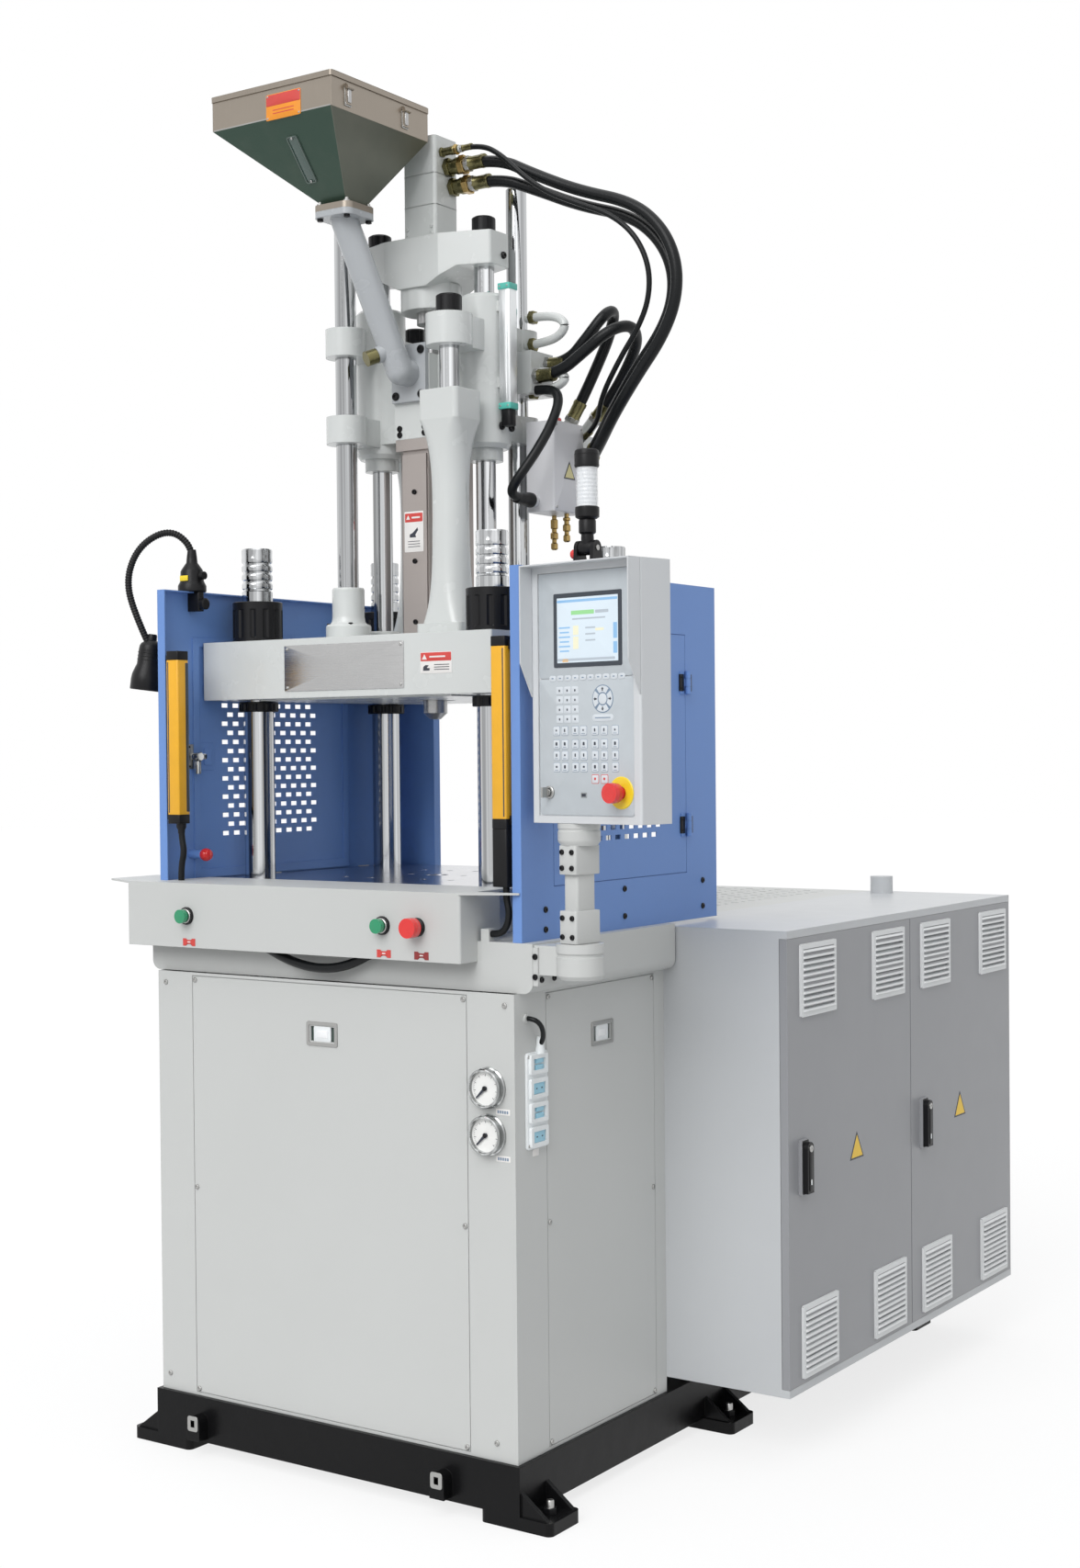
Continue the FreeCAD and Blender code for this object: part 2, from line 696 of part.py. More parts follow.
def fixed_table():
    table = block(MOULD_X - TABLE_HALF_W, MOULD_X + TABLE_HALF_W, TABLE_FRONT_Y, TABLE_BACK_Y, BED_TOP, TABLE_TOP)
    bores = [rod(x, y, BED_TOP - 1, TABLE_TOP + 1, TIE_R + RUN) for x, y in TIE_PLACES]
    bores.append(rod(MOULD_X, MOULD_Y, BED_TOP - 1, TABLE_TOP + 1, EJECTOR_R + RUN))
    for column in range(TAP_COLS):
        for row in range(TAP_ROWS):
            dx = (column - (TAP_COLS - 1) / 2) * TAP_DX
            dy = (row - (TAP_ROWS - 1) / 2) * 2 * TAP_DY
            if hypot(dx, dy) > EJECTOR_R * 2:
                bores.append(rod(MOULD_X + dx, MOULD_Y + dy, TABLE_TOP - TAP_DEPTH, TABLE_TOP + 1, TAP_R))
    return cut(table, *bores)


def apron():
    bottom = TABLE_TOP - APRON_DROP
    outer = [(APRON_LEFT_X, APRON_FRONT_Y), (APRON_RIGHT_X, APRON_FRONT_Y),
             (APRON_RIGHT_X, APRON_FRONT_Y + APRON_SIDE_L), (APRON_LEFT_X, APRON_FRONT_Y + APRON_SIDE_L)]
    skirt = rounded(plan(outer, bottom, TABLE_TOP), APRON_EDGE_R)
    # The beam and table fill the back of the skirt: the sheet bends round their front.
    hollow = block(APRON_LEFT_X + SHEET, APRON_RIGHT_X - SHEET, APRON_FRONT_Y + SHEET,
                   APRON_FRONT_Y + APRON_SIDE_L + 1, bottom - 1, TABLE_TOP + 1)
    skirt = cut(skirt, hollow)
    beam_room = block(-BED_HALF_W - GAP, BED_HALF_W + GAP, BED_FRONT_Y, BED_STEP_Y, bottom - 1, BED_TOP)
    guard_room = block(-GUARD_X - GAP, -GUARD_X + GUARD_FLANGE + GAP, GUARD_FRONT_Y - GAP, 0, BED_TOP - 1,
                       TABLE_TOP + 1)
    skirt = cut(skirt, beam_room, guard_room)
    left_tip = APRON_LEFT_X - TOP_PLATE_WING
    right_tip = APRON_RIGHT_X + TOP_PLATE_WING
    plate = plan([(APRON_LEFT_X, APRON_FRONT_Y), (APRON_RIGHT_X, APRON_FRONT_Y), (right_tip, TOP_PLATE_WING_Y),
                  (right_tip, TOP_PLATE_WING_Y + SHEET), (APRON_RIGHT_X, TOP_PLATE_WING_Y + SHEET),
                  (APRON_RIGHT_X, TABLE_FRONT_Y), (-GUARD_X + GUARD_FLANGE + GAP, TABLE_FRONT_Y),
                  (-GUARD_X + GUARD_FLANGE + GAP, GUARD_FRONT_Y - GAP), (-GUARD_X - GAP, GUARD_FRONT_Y - GAP),
                  (-GUARD_X - GAP, TOP_PLATE_BACK_Y), (left_tip, TOP_PLATE_BACK_Y),
                  (left_tip, TOP_PLATE_WING_Y)], TABLE_TOP, TABLE_TOP + TOP_PLATE_T)
    bezels = [rod_y(APRON_FRONT_Y - BEZEL_T, APRON_FRONT_Y, x, BUTTON_Z, BEZEL_R)
              for x in (BUTTON_LEFT_X, BUTTON_RIGHT_X, APRON_STOP_X)]
    body = joined(skirt, plate, *bezels)
    holes = [rod_y(APRON_FRONT_Y - BEZEL_T - 1, APRON_FRONT_Y + SHEET + 1, x, BUTTON_Z, 11.0 + RUN)
             for x in (BUTTON_LEFT_X, BUTTON_RIGHT_X, APRON_STOP_X)]
    return cut(body, *holes)


# ---- guards --------------------------------------------------------------
HINGE_X = GUARD_X + HINGE_LEAF_T + HINGE_R


def hinge_half(z, on_door):
    """One half of an outside hinge on the right guard's rear door seam."""
    seam = DOOR_BACK_Y
    side = -1 if on_door else 1
    ends = [(-HINGE_KNUCKLE / 2, HINGE_KNUCKLE / 2)] if on_door else [
        (-1.5 * HINGE_KNUCKLE, -HINGE_KNUCKLE / 2 - GAP), (HINGE_KNUCKLE / 2 + GAP, 1.5 * HINGE_KNUCKLE)]
    near = seam + side * (HINGE_R + 2 * GAP)
    far = seam + side * HINGE_LEAF_W
    leaf = block(GUARD_X, GUARD_X + HINGE_LEAF_T, min(near, far), max(near, far),
                 z - 1.5 * HINGE_KNUCKLE, z + 1.5 * HINGE_KNUCKLE)
    pieces = [leaf]
    for low, high in ends:
        neck_y = (min(seam, near), max(seam, near))
        pieces.append(block(GUARD_X + GAP, GUARD_X + GAP + HINGE_LEAF_T, neck_y[0], neck_y[1], z + low, z + high))
        pieces.append(rod(HINGE_X, seam, z + low, z + high, HINGE_R))
    half = joined(*pieces)
    bore = HINGE_PIN_R + RUN if on_door else HINGE_PIN_R
    half = cut(half, rod(HINGE_X, seam, z - 2 * HINGE_KNUCKLE, z + 2 * HINGE_KNUCKLE, bore))
    if on_door:
        return half
    pin = rod(HINGE_X, seam, z - 1.5 * HINGE_KNUCKLE, z + 1.5 * HINGE_KNUCKLE, HINGE_PIN_R)
    return joined(half, pin)


def hinge_heights():
    third = (DOOR_Z1 - DOOR_Z0) / 5
    return [DOOR_Z0 + third, DOOR_Z1 - third]


def guard(back_y):
    """The right guard: a side sheet with folded flanges and a door opening."""
    z0 = BED_TOP
    z1 = GUARD_TOP
    inner = GUARD_X - SHEET
    fold = GUARD_X - GUARD_FLANGE
    pieces = [
        block(inner, GUARD_X, GUARD_FRONT_Y, back_y, z0, z1),
        block(fold, GUARD_X, GUARD_FRONT_Y, GUARD_FRONT_Y + SHEET, z0, z1),
        block(fold, GUARD_X, GUARD_FRONT_Y, back_y, z1 - SHEET, z1),
        block(fold, GUARD_X, back_y - SHEET, back_y, z0, z1),
    ]
    lip = block(inner - SHEET, inner, DOOR_FRONT_Y - DOOR_LIP, DOOR_BACK_Y + DOOR_LIP,
                DOOR_Z0 - DOOR_LIP, DOOR_Z1 + DOOR_LIP)
    window = block(inner - SHEET, inner, DOOR_FRONT_Y + DOOR_LIP, DOOR_BACK_Y - DOOR_LIP,
                   DOOR_Z0 + DOOR_LIP, DOOR_Z1 - DOOR_LIP)
    pieces.append(cut(lip, window))
    sheet = joined(*pieces)
    sheet = cut(sheet, block(inner, GUARD_X, DOOR_FRONT_Y - SEAM, DOOR_BACK_Y + SEAM,
                             DOOR_Z0 - SEAM, DOOR_Z1 + SEAM))
    return joined(sheet, *[hinge_half(z, False) for z in hinge_heights()])


def right_guard():
    return guard(RIGHT_GUARD_BACK_Y)


def left_guard():
    shape = mirrored_x(guard(LEFT_GUARD_BACK_Y))
    back = block(-GUARD_X, LEFT_RETURN_X, LEFT_GUARD_BACK_Y - SHEET, LEFT_GUARD_BACK_Y, BED_TOP, GUARD_TOP)
    fold = block(LEFT_RETURN_X - SHEET, LEFT_RETURN_X, LEFT_GUARD_BACK_Y, LEFT_GUARD_BACK_Y + GUARD_FLANGE,
                 BED_TOP, GUARD_TOP)
    knob = rod_x(-GUARD_X + SHEET, -GUARD_X + SHEET + GUARD_KNOB_L, GUARD_KNOB_Y, BED_TOP + GUARD_KNOB_RISE,
                 GUARD_KNOB_R)
    return joined(shape, back, fold, knob)


def slotted_door():
    inner = GUARD_X - SHEET
    sheet = block(inner, GUARD_X, DOOR_FRONT_Y, DOOR_BACK_Y, DOOR_Z0, DOOR_Z1)
    pitch_y = (GRILLE_Y1 - GRILLE_Y0) / SLOT_COLS
    pitch_z = (GRILLE_Z1 - GRILLE_Z0) / SLOT_ROWS
    slots = []
    for row in range(SLOT_ROWS):
        stagger = pitch_y / 4 if row % 2 else -pitch_y / 4
        z = GRILLE_Z0 + (row + 0.5) * pitch_z
        for column in range(SLOT_COLS):
            y = GRILLE_Y0 + (column + 0.5) * pitch_y + stagger
            slots.append(block(inner - 1, GUARD_X + 1, y - SLOT_L / 2, y + SLOT_L / 2,
                               z - SLOT_H / 2, z + SLOT_H / 2))
    sheet = cut(sheet, Part.makeCompound(slots))
    return joined(sheet, *[hinge_half(z, True) for z in hinge_heights()])


def right_guard_door():
    return slotted_door()


def left_guard_door():
    door = mirrored_x(slotted_door())
    inner = -GUARD_X + SHEET
    latch_y = DOOR_FRONT_Y + DOOR_LIP + GAP
    low = DOOR_Z0 + LATCH_LOW
    proud = inner + LATCH_PLATE_T
    plate = block(inner, proud, latch_y, latch_y + LATCH_W, low, low + LATCH_H)
    body = block(proud, proud + LATCH_BODY_T, latch_y + LATCH_W / 4, latch_y + LATCH_W * 3 / 4,
                 low + LATCH_W / 4, low + LATCH_H - LATCH_W / 4)
    return joined(door, plate, rounded_x(body))


def rounded_x(shape):
    """Round the four edges of a block that run along X."""
    edges = [edge for edge in shape.Edges if edge.BoundBox.YLength + edge.BoundBox.ZLength < 0.01]
    return shape.makeFillet(4.0, edges)


def curtain(x, side):
    """A light-curtain bar with end caps, held to the guard by two brackets."""
    half = CURTAIN_W / 2
    bar = block(x - half, x + half, CURTAIN_Y - half, CURTAIN_Y + half, CURTAIN_Z0, CURTAIN_Z1)
    slit = block(x - half / 2, x + half / 2, CURTAIN_Y + half - 2, CURTAIN_Y + half + 1,
                 CURTAIN_Z0 + half, CURTAIN_Z1 - half)
    bar = cut(bar, slit)
    pieces = [bar]
    wall = side * (GUARD_X - SHEET)
    near = x + side * half
    for z in (CURTAIN_Z0 + half, CURTAIN_Z1 - half):
        pieces.append(block(min(near, wall), max(near, wall), GUARD_FRONT_Y + SHEET, CURTAIN_Y + half,
                            z - half / 2, z + half / 2))
    return joined(*pieces)


def light_curtains():
    left = curtain(CURTAIN_LEFT_X, -1)
    right = curtain(CURTAIN_RIGHT_X, 1)
    half = CURTAIN_W / 2
    tail = block(CURTAIN_RIGHT_X - half, CURTAIN_RIGHT_X + half, CURTAIN_Y - half, CURTAIN_Y + half,
                 CURTAIN_Z0 - CURTAIN_TAIL, CURTAIN_Z0)
    return Part.makeCompound([left, joined(right, tail)])


# ---- electrical cabinet --------------------------------------------------
ELEC_OUT_X = ELEC_FACE_X + ELEC_DOOR_T
PIVOT_X = ELEC_OUT_X - PIVOT_INSET


def door_span(front):
    """The y reach of the front or the rear door."""
    if front:
        return ELEC_FRONT_Y, ELEC_SPLIT_Y - SEAM
    return ELEC_SPLIT_Y + SEAM, ELEC_BACK_Y


def electrical_cabinet():
    outer = block(REAR_RIGHT_X, ELEC_FACE_X, ELEC_FRONT_Y, ELEC_BACK_Y, ELEC_Z0, ELEC_Z1)
    inner = block(REAR_RIGHT_X + SHEET, ELEC_FACE_X - SHEET, ELEC_FRONT_Y + SHEET, ELEC_BACK_Y - SHEET,
                  ELEC_Z0 + SHEET, ELEC_Z1 - SHEET)
    shell = cut(outer, inner)
    openings = []
    for front in (True, False):
        y0, y1 = door_span(front)
        openings.append(block(ELEC_FACE_X - 2 * SHEET, ELEC_FACE_X + 1, y0 + ELEC_FRAME, y1 - ELEC_FRAME,
                              ELEC_Z0 + ELEC_FRAME, ELEC_Z1 - ELEC_FRAME))
    shell = cut(shell, *openings)
    rims = []
    for z0 in (ELEC_Z0, ELEC_Z1 - ELEC_RIM):
        rims.append(block(ELEC_FACE_X, ELEC_OUT_X, ELEC_FRONT_Y, ELEC_BACK_Y, z0, z0 + ELEC_RIM))
    cap = rod(CAP_X, CAP_Y, ELEC_Z1, ELEC_Z1 + CAP_H, CAP_R)
    body = joined(shell, *rims, cap)
    holes = []
    for front in (True, False):
        y = door_span(front)[1] - PIVOT_INSET
        for z in (ELEC_Z0 + ELEC_RIM - PIVOT_L - GAP, ELEC_Z1 - ELEC_RIM - GAP):
            holes.append(rod(PIVOT_X, y, z, z + PIVOT_L + 2 * GAP, PIVOT_R + RUN))
    return cut(body, *holes)


def electrical_door(front):
    y0, y1 = door_span(front)
    z0 = ELEC_Z0 + ELEC_RIM + GAP
    z1 = ELEC_Z1 - ELEC_RIM - GAP
    pan = rounded(block(ELEC_FACE_X + GAP, ELEC_OUT_X, y0, y1, z0, z1), PIVOT_R / 2)
    pocket = block(ELEC_FACE_X, ELEC_OUT_X - SHEET, y0 + 3 * SHEET, y1 - 3 * SHEET, z0 + 3 * SHEET, z1 - 3 * SHEET)
    pieces = [cut(pan, pocket)]
    slots = []
    if front:
        vents = [(y0 + VENT_EDGE, VENT_HIGH_Z), (y1 - VENT_EDGE + 15.0 - VENT_W, VENT_HIGH_Z)]
    else:
        vents = [(y0 + VENT_EDGE, VENT_HIGH_Z), (y1 - VENT_EDGE + 20.0 - VENT_W, VENT_HIGH_Z)]
    vents += [(y, VENT_LOW_Z + ELEC_RIM) for y, _ in vents]
    for y, z in vents:
        pieces.append(block(ELEC_OUT_X, ELEC_OUT_X + 5, y, y + VENT_W, z, z + VENT_H))
        pitch = (VENT_H - 16) / VENT_SLATS
        for index in range(VENT_SLATS):
            low = z + 8 + index * pitch
            slots.append(block(ELEC_OUT_X - SHEET - 1, ELEC_OUT_X + 6, y + 10, y + VENT_W - 10,
                               low + pitch / 4, low + pitch * 3 / 4))
    handle_y = y0 + HANDLE_INSET
    pieces.append(block(ELEC_OUT_X, ELEC_OUT_X + 8, handle_y - HANDLE_W / 2, handle_y + HANDLE_W / 2,
                        HANDLE_Z0, HANDLE_Z0 + HANDLE_H))
    pivot_y = y1 - PIVOT_INSET
    pieces.append(rod(PIVOT_X, pivot_y, z0 - PIVOT_L, z0, PIVOT_R))
    pieces.append(rod(PIVOT_X, pivot_y, z1, z1 + PIVOT_L, PIVOT_R))
    door = joined(*pieces)
    socket = rod_x(ELEC_OUT_X - SHEET - 1, ELEC_OUT_X + 9, handle_y, HANDLE_Z0 + HANDLE_H - HANDLE_W / 2, 7 + RUN)
    return cut(door, Part.makeCompound(slots), socket)


def door_handle(front):
    y = door_span(front)[0] + HANDLE_INSET
    top = HANDLE_Z0 + HANDLE_H - HANDLE_W / 2
    half = HANDLE_W / 2 - 4
    x0 = ELEC_OUT_X + 8 + GAP
    lever = block(x0, x0 + 12, y - half, y + half, HANDLE_Z0 + 4, top)
    head = rod_x(x0, x0 + 12, y, top, half)
    spindle = rod_x(ELEC_OUT_X - SHEET, x0, y, top, 7.0)
    return joined(lever, head, spindle)


# ---- gauges, strip, buttons ----------------------------------------------
def gauge_case(z):
    case = rod_y(CAB_FRONT_Y - GAUGE_T, CAB_FRONT_Y, GAUGE_X, z, GAUGE_R)
    dish = rod_y(CAB_FRONT_Y - GAUGE_T - 1, CAB_FRONT_Y - GAUGE_T + 10, GAUGE_X, z, GAUGE_R - 5)
    spindle = rod_y(CAB_FRONT_Y - GAUGE_T + 3, CAB_FRONT_Y - GAUGE_T + 11, GAUGE_X, z, 2.0)
    return joined(cut(case, dish), spindle)


def pressure_gauges():
    return Part.makeCompound([gauge_case(GAUGE_LOW_Z), gauge_case(GAUGE_HIGH_Z)])


def gauge_needle(z):
    y0 = CAB_FRONT_Y - GAUGE_T + 5
    hub = rod_y(y0, y0 + 2, GAUGE_X, z, 5.0)
    length = GAUGE_R - 12
    outline = [(GAUGE_X - 3, z), (GAUGE_X + 3, z), (GAUGE_X + 1, z + length), (GAUGE_X - 1, z + length)]
    needle = joined(hub, front_profile(outline, y0, y0 + 2))
    needle = cut(needle, rod_y(y0 - 1, y0 + 3, GAUGE_X, z, 2.0 + RUN))
    needle.rotate(V(GAUGE_X, 0, z), Y_AXIS, -135)
    return needle


def socket_strip():
    plate = block(CAB_HALF_W, CAB_HALF_W + STRIP_T / 2, STRIP_Y0, STRIP_Y1, STRIP_Z0, STRIP_Z1)
    pieces = [plate]
    pitch = (STRIP_Z1 - STRIP_Z0) / 4
    middle = (STRIP_Y0 + STRIP_Y1) / 2
    holes = []
    for index in range(4):
        z = STRIP_Z0 + (index + 0.5) * pitch
        pieces.append(block(CAB_HALF_W, CAB_HALF_W + STRIP_T, STRIP_Y0 + 6, STRIP_Y1 - 6, z - pitch / 2 + 4,
                            z + pitch / 2 - 4))
        holes.append(rod_x(CAB_HALF_W + STRIP_T / 2, CAB_HALF_W + STRIP_T + 1, middle, z, 15.0))
    return cut(joined(*pieces), *holes)


def push_button(x, head_r, head_l):
    """A button through the apron, its head proud of a fixed bezel's face."""
    stem = rod_y(APRON_FRONT_Y, APRON_FRONT_Y + 30, x, BUTTON_Z, 11.0)
    head = rod_y(APRON_FRONT_Y - 14 - head_l, APRON_FRONT_Y - 14, x, BUTTON_Z, head_r)
    neck = rod_y(APRON_FRONT_Y - 14, APRON_FRONT_Y, x, BUTTON_Z, 11.0)
    return joined(stem, head, neck)


# ---- operator panel ------------------------------------------------------
JOINT_Z = BED_TOP - 67.0
ARM_Z = JOINT_Z + ROUND_JOINT_H
TUBE_Z = ARM_Z + CLAMP_LOW_H
UPPER_CLAMP_Z = TUBE_Z + TUBE_H
CUP_Z = UPPER_CLAMP_Z + CLAMP_HIGH_H
HMI_Z = CUP_Z + CUP_H - 14.0


def hmi_bracket():
    plate = block(BED_HALF_W, BED_HALF_W + 12, BRACKET_Y0, BRACKET_Y1, BED_TOP - 83, BED_TOP - 7)
    arm = block(BED_HALF_W, POST_X, POST_Y - 26, POST_Y + 26, JOINT_Z + 6, ARM_Z - 6)
    joint = turned([(0, JOINT_Z), (ROUND_JOINT_R - 6, JOINT_Z), (ROUND_JOINT_R, JOINT_Z + 8),
                    (ROUND_JOINT_R, ARM_Z - 26), (ROUND_JOINT_R - 3, ARM_Z - 24), (ROUND_JOINT_R - 3, ARM_Z - 20),
                    (ROUND_JOINT_R, ARM_Z - 18), (ROUND_JOINT_R, ARM_Z), (0, ARM_Z)], POST_X, POST_Y)
    body = joined(plate, arm, joint)
    socket = rod(POST_X, POST_Y, ARM_Z - 40, ARM_Z + 1, 20.0 + RUN)
    return cut(body, socket)


def hmi_arm():
    half = TUBE_W / 2
    low = rounded(block(POST_X - CLAMP_W / 2, POST_X + CLAMP_W / 2, POST_Y - CLAMP_D / 2, POST_Y + CLAMP_D / 2,
                        ARM_Z + GAP, TUBE_Z), 7)
    tube = rounded(block(POST_X - half, POST_X + half, POST_Y - half, POST_Y + half, TUBE_Z, UPPER_CLAMP_Z), 5)
    high = rounded(block(POST_X - CLAMP_W / 2, POST_X + CLAMP_W / 2, POST_Y - CLAMP_D / 2, POST_Y + CLAMP_D / 2,
                         UPPER_CLAMP_Z, CUP_Z), 7)
    cup = turned([(0, CUP_Z), (ROUND_JOINT_R - 6, CUP_Z), (ROUND_JOINT_R, CUP_Z + 8),
                  (ROUND_JOINT_R, HMI_Z - GAP), (0, HMI_Z - GAP)], POST_X, POST_Y)
    pivot = rod(POST_X, POST_Y, ARM_Z - 38, ARM_Z + GAP, 20.0)
    spigot = rod(POST_X, POST_Y, HMI_Z - GAP, HMI_Z + 28, 12.0)
    body = joined(low, tube, high, cup, pivot, spigot)
    return turned_about(body, POST_X, POST_Y, -POST_TILT)


def hmi_local(shape):
    """Carry a shape drawn square to the post into the panel's own turn."""
    return turned_about(shape, POST_X, POST_Y, -POST_TILT)


HMI_X0 = POST_X + HMI_LEFT
HMI_X1 = HMI_X0 + HMI_W
HMI_Y0 = POST_Y + HMI_FRONT
HMI_Y1 = HMI_Y0 + HMI_D
HMI_TOP = HMI_Z + HMI_H


def hmi_housing():
    body = rounded(block(HMI_X0, HMI_X1, HMI_Y0, HMI_Y1, HMI_Z, HMI_TOP), 5)
    recess = block(HMI_X0 + 18, HMI_X1 - 18, HMI_Y0 - 1, HMI_Y0 + 4, HMI_Z + 14, HMI_TOP - 16)
    body = cut(body, recess)
    slope = [(HMI_Y0, HMI_TOP), (HMI_Y0 - VISOR_D, HMI_TOP), (HMI_Y0 - VISOR_D, HMI_TOP - VISOR_SIDE_H),
             (HMI_Y0, HMI_TOP - VISOR_SIDE_H - VISOR_D * 2)]
    sides = [side_profile(slope, HMI_X0, HMI_X0 + HMI_WALL), side_profile(slope, HMI_X1 - HMI_WALL, HMI_X1)]
    roof = block(HMI_X0, HMI_X1, HMI_Y0 - VISOR_D, HMI_Y0, HMI_TOP - HMI_WALL, HMI_TOP)
    body = joined(body, roof, *sides)
    stop_x = HMI_X1 - 52
    holes = [rod_y(HMI_Y0 - 1, HMI_Y0 + 31, stop_x, HMI_Z + 60, 11 + RUN),
             rod_y(HMI_Y0 - 1, HMI_Y0 + 31, HMI_X0 + 46, HMI_Z + 60, 7 + RUN)]
    holes.append(rod(POST_X, POST_Y, HMI_Z - 1, HMI_Z + 30, 12.0 + RUN))
    return hmi_local(cut(body, *holes))


def hmi_screen():
    middle = (HMI_X0 + HMI_X1) / 2
    z0 = HMI_Z + SCREEN_LOW
    plate = block(HMI_X0 + 18 + GAP, HMI_X1 - 18 - GAP, HMI_Y0 + 1, HMI_Y0 + 4, z0 - 20, HMI_TOP - 16 - GAP)
    glass = block(middle - SCREEN_W / 2, middle + SCREEN_W / 2, HMI_Y0, HMI_Y0 + 1, z0, z0 + SCREEN_H)
    return hmi_local(joined(plate, glass))


def hmi_keypad():
    z0 = HMI_Z + 14 + GAP
    z1 = HMI_Z + SCREEN_LOW - 20 - GAP
    plate = block(HMI_X0 + 18 + GAP, HMI_X1 - 18 - GAP, HMI_Y0 + 2, HMI_Y0 + 4, z0, z1)
    stop_x = HMI_X1 - 52
    pieces = [plate]
    key = 17.0
    left = HMI_X0 + 50
    rows = [(z1 - 22, 8), (z1 - 46, 8), (z1 - 68, 8), (z1 - 90, 8), (z1 - 122, 8), (z1 - 146, 8), (z1 - 170, 8)]
    for z, count in rows:
        for index in range(count):
            x = left + index * (key + 7)
            pieces.append(block(x - key / 2, x + key / 2, HMI_Y0 + 0.5, HMI_Y0 + 2, z - 6, z + 6))
    body = joined(*pieces)
    holes = [rod_y(HMI_Y0 - 1, HMI_Y0 + 5, stop_x, HMI_Z + 60, 11 + RUN),
             rod_y(HMI_Y0 - 1, HMI_Y0 + 5, HMI_X0 + 46, HMI_Z + 60, 7 + RUN)]
    return hmi_local(cut(body, *holes))


def hmi_stop_button():
    x = HMI_X1 - 52
    stem = rod_y(HMI_Y0 - 14, HMI_Y0 + 22, x, HMI_Z + 60, 11)
    head = rod_y(HMI_Y0 - 34, HMI_Y0 - 14, x, HMI_Z + 60, 19)
    return hmi_local(joined(stem, head))


def hmi_key_switch():
    x = HMI_X0 + 46
    stem = rod_y(HMI_Y0 - 6, HMI_Y0 + 24, x, HMI_Z + 60, 7)
    bow = block(x - 2, x + 2, HMI_Y0 - 22, HMI_Y0 - 6, HMI_Z + 50, HMI_Z + 70)
    return hmi_local(joined(stem, bow))


# ---- lamps ---------------------------------------------------------------
FOLD_Z = GUARD_TOP + SIGNAL_BASE_H - 18.0


def signal_lamp_base():
    base = block(SIGNAL_X - 30, SIGNAL_X + 30, SIGNAL_Y - 22, SIGNAL_Y + 40, GUARD_TOP, GUARD_TOP + 14)
    pieces = [base]
    for side in (-1, 1):
        x0 = SIGNAL_X + side * 20 - 4
        ear = side_profile([(SIGNAL_Y - 20, GUARD_TOP), (SIGNAL_Y + 30, GUARD_TOP), (SIGNAL_Y + 16, FOLD_Z),
                            (SIGNAL_Y - 16, FOLD_Z)], x0, x0 + 8)
        pieces.append(ear)
        pieces.append(rod_x(x0, x0 + 8, SIGNAL_Y, FOLD_Z, 16))
    body = joined(*pieces)
    body = cut(body, rod_x(SIGNAL_X - 40, SIGNAL_X + 40, SIGNAL_Y, FOLD_Z, 6 + RUN))
    return body


def signal_lamp():
    pivot = rod_x(SIGNAL_X - 26, SIGNAL_X + 26, SIGNAL_Y, FOLD_Z, 6)
    knuckle = rod_x(SIGNAL_X - 16 + GAP, SIGNAL_X + 16 - GAP, SIGNAL_Y, FOLD_Z, 15)
    z0 = GUARD_TOP + SIGNAL_BASE_H
    top = z0 + SIGNAL_H
    column = turned([(0, FOLD_Z), (13, FOLD_Z), (13, z0 + 10), (18, z0 + 14), (18, z0 + 40), (25, z0 + 44),
                     (25, z0 + 66), (SIGNAL_LENS_R, z0 + 68), (SIGNAL_LENS_R, top - 36), (25.5, top - 34),
                     (25.5, top - 4), (22, top), (0, top)], SIGNAL_X, SIGNAL_Y)
    return joined(pivot, knuckle, column)


def work_lamp():
    base = turned([(0, GUARD_TOP), (WORK_BASE_R, GUARD_TOP), (WORK_BASE_R, GUARD_TOP + 18),
                   (WORK_BASE_R - 6, GUARD_TOP + 24), (WORK_BASE_R - 6, GUARD_TOP + 48),
                   (14, GUARD_TOP + WORK_BASE_H), (0, GUARD_TOP + WORK_BASE_H)], WORK_X, WORK_Y)
    head = [(WORK_X - 79, WORK_Y - 53, GUARD_TOP - 128), (WORK_X - 88, WORK_Y - 59, GUARD_TOP - 212)]
    z0 = GUARD_TOP + WORK_BASE_H
    route = [(WORK_X, WORK_Y, z0 - 6), (WORK_X, WORK_Y, z0 + 40), (WORK_X - 42, WORK_Y - 28, z0 + 78),
             (WORK_X - 98, WORK_Y - 66, z0 + 42), (WORK_X - 124, WORK_Y - 83, z0 - 30),
             (WORK_X - 112, WORK_Y - 75, z0 - 106), head[0]]
    neck = cord(route, 2 * NECK_R, "work lamp neck")
    top = V(*head[0])
    axis = (V(*head[1]) - top).normalize()
    shade = Part.makeCylinder(WORK_HEAD_R, WORK_HEAD_L, top - axis * 20, axis)
    mouth = Part.makeCylinder(WORK_HEAD_R - 3, 24, top + axis * (WORK_HEAD_L - 34), axis)
    return joined(base, neck, cut(shade, mouth))


def work_lamp_dial():
    x0 = WORK_X + WORK_BASE_R - 6 + GAP / 2
    return rod_x(x0, x0 + 12, WORK_Y, GUARD_TOP + 36, 9)


# ---- clamp ---------------------------------------------------------------
def clamp_cylinder():
    bottom = BED_Z - CYLINDER_H
    body = turned([(0, BED_Z), (CYLINDER_R + 30, BED_Z), (CYLINDER_R + 30, BED_Z - 40), (CYLINDER_R, BED_Z - 40),
                   (CYLINDER_R, bottom + 12), (CYLINDER_R - 12, bottom), (0, bottom)], MOULD_X, MOULD_Y)
    return cut(body, rod(MOULD_X, MOULD_Y, bottom - 1, BED_Z - 20, CYLINDER_ROD_R + RUN))


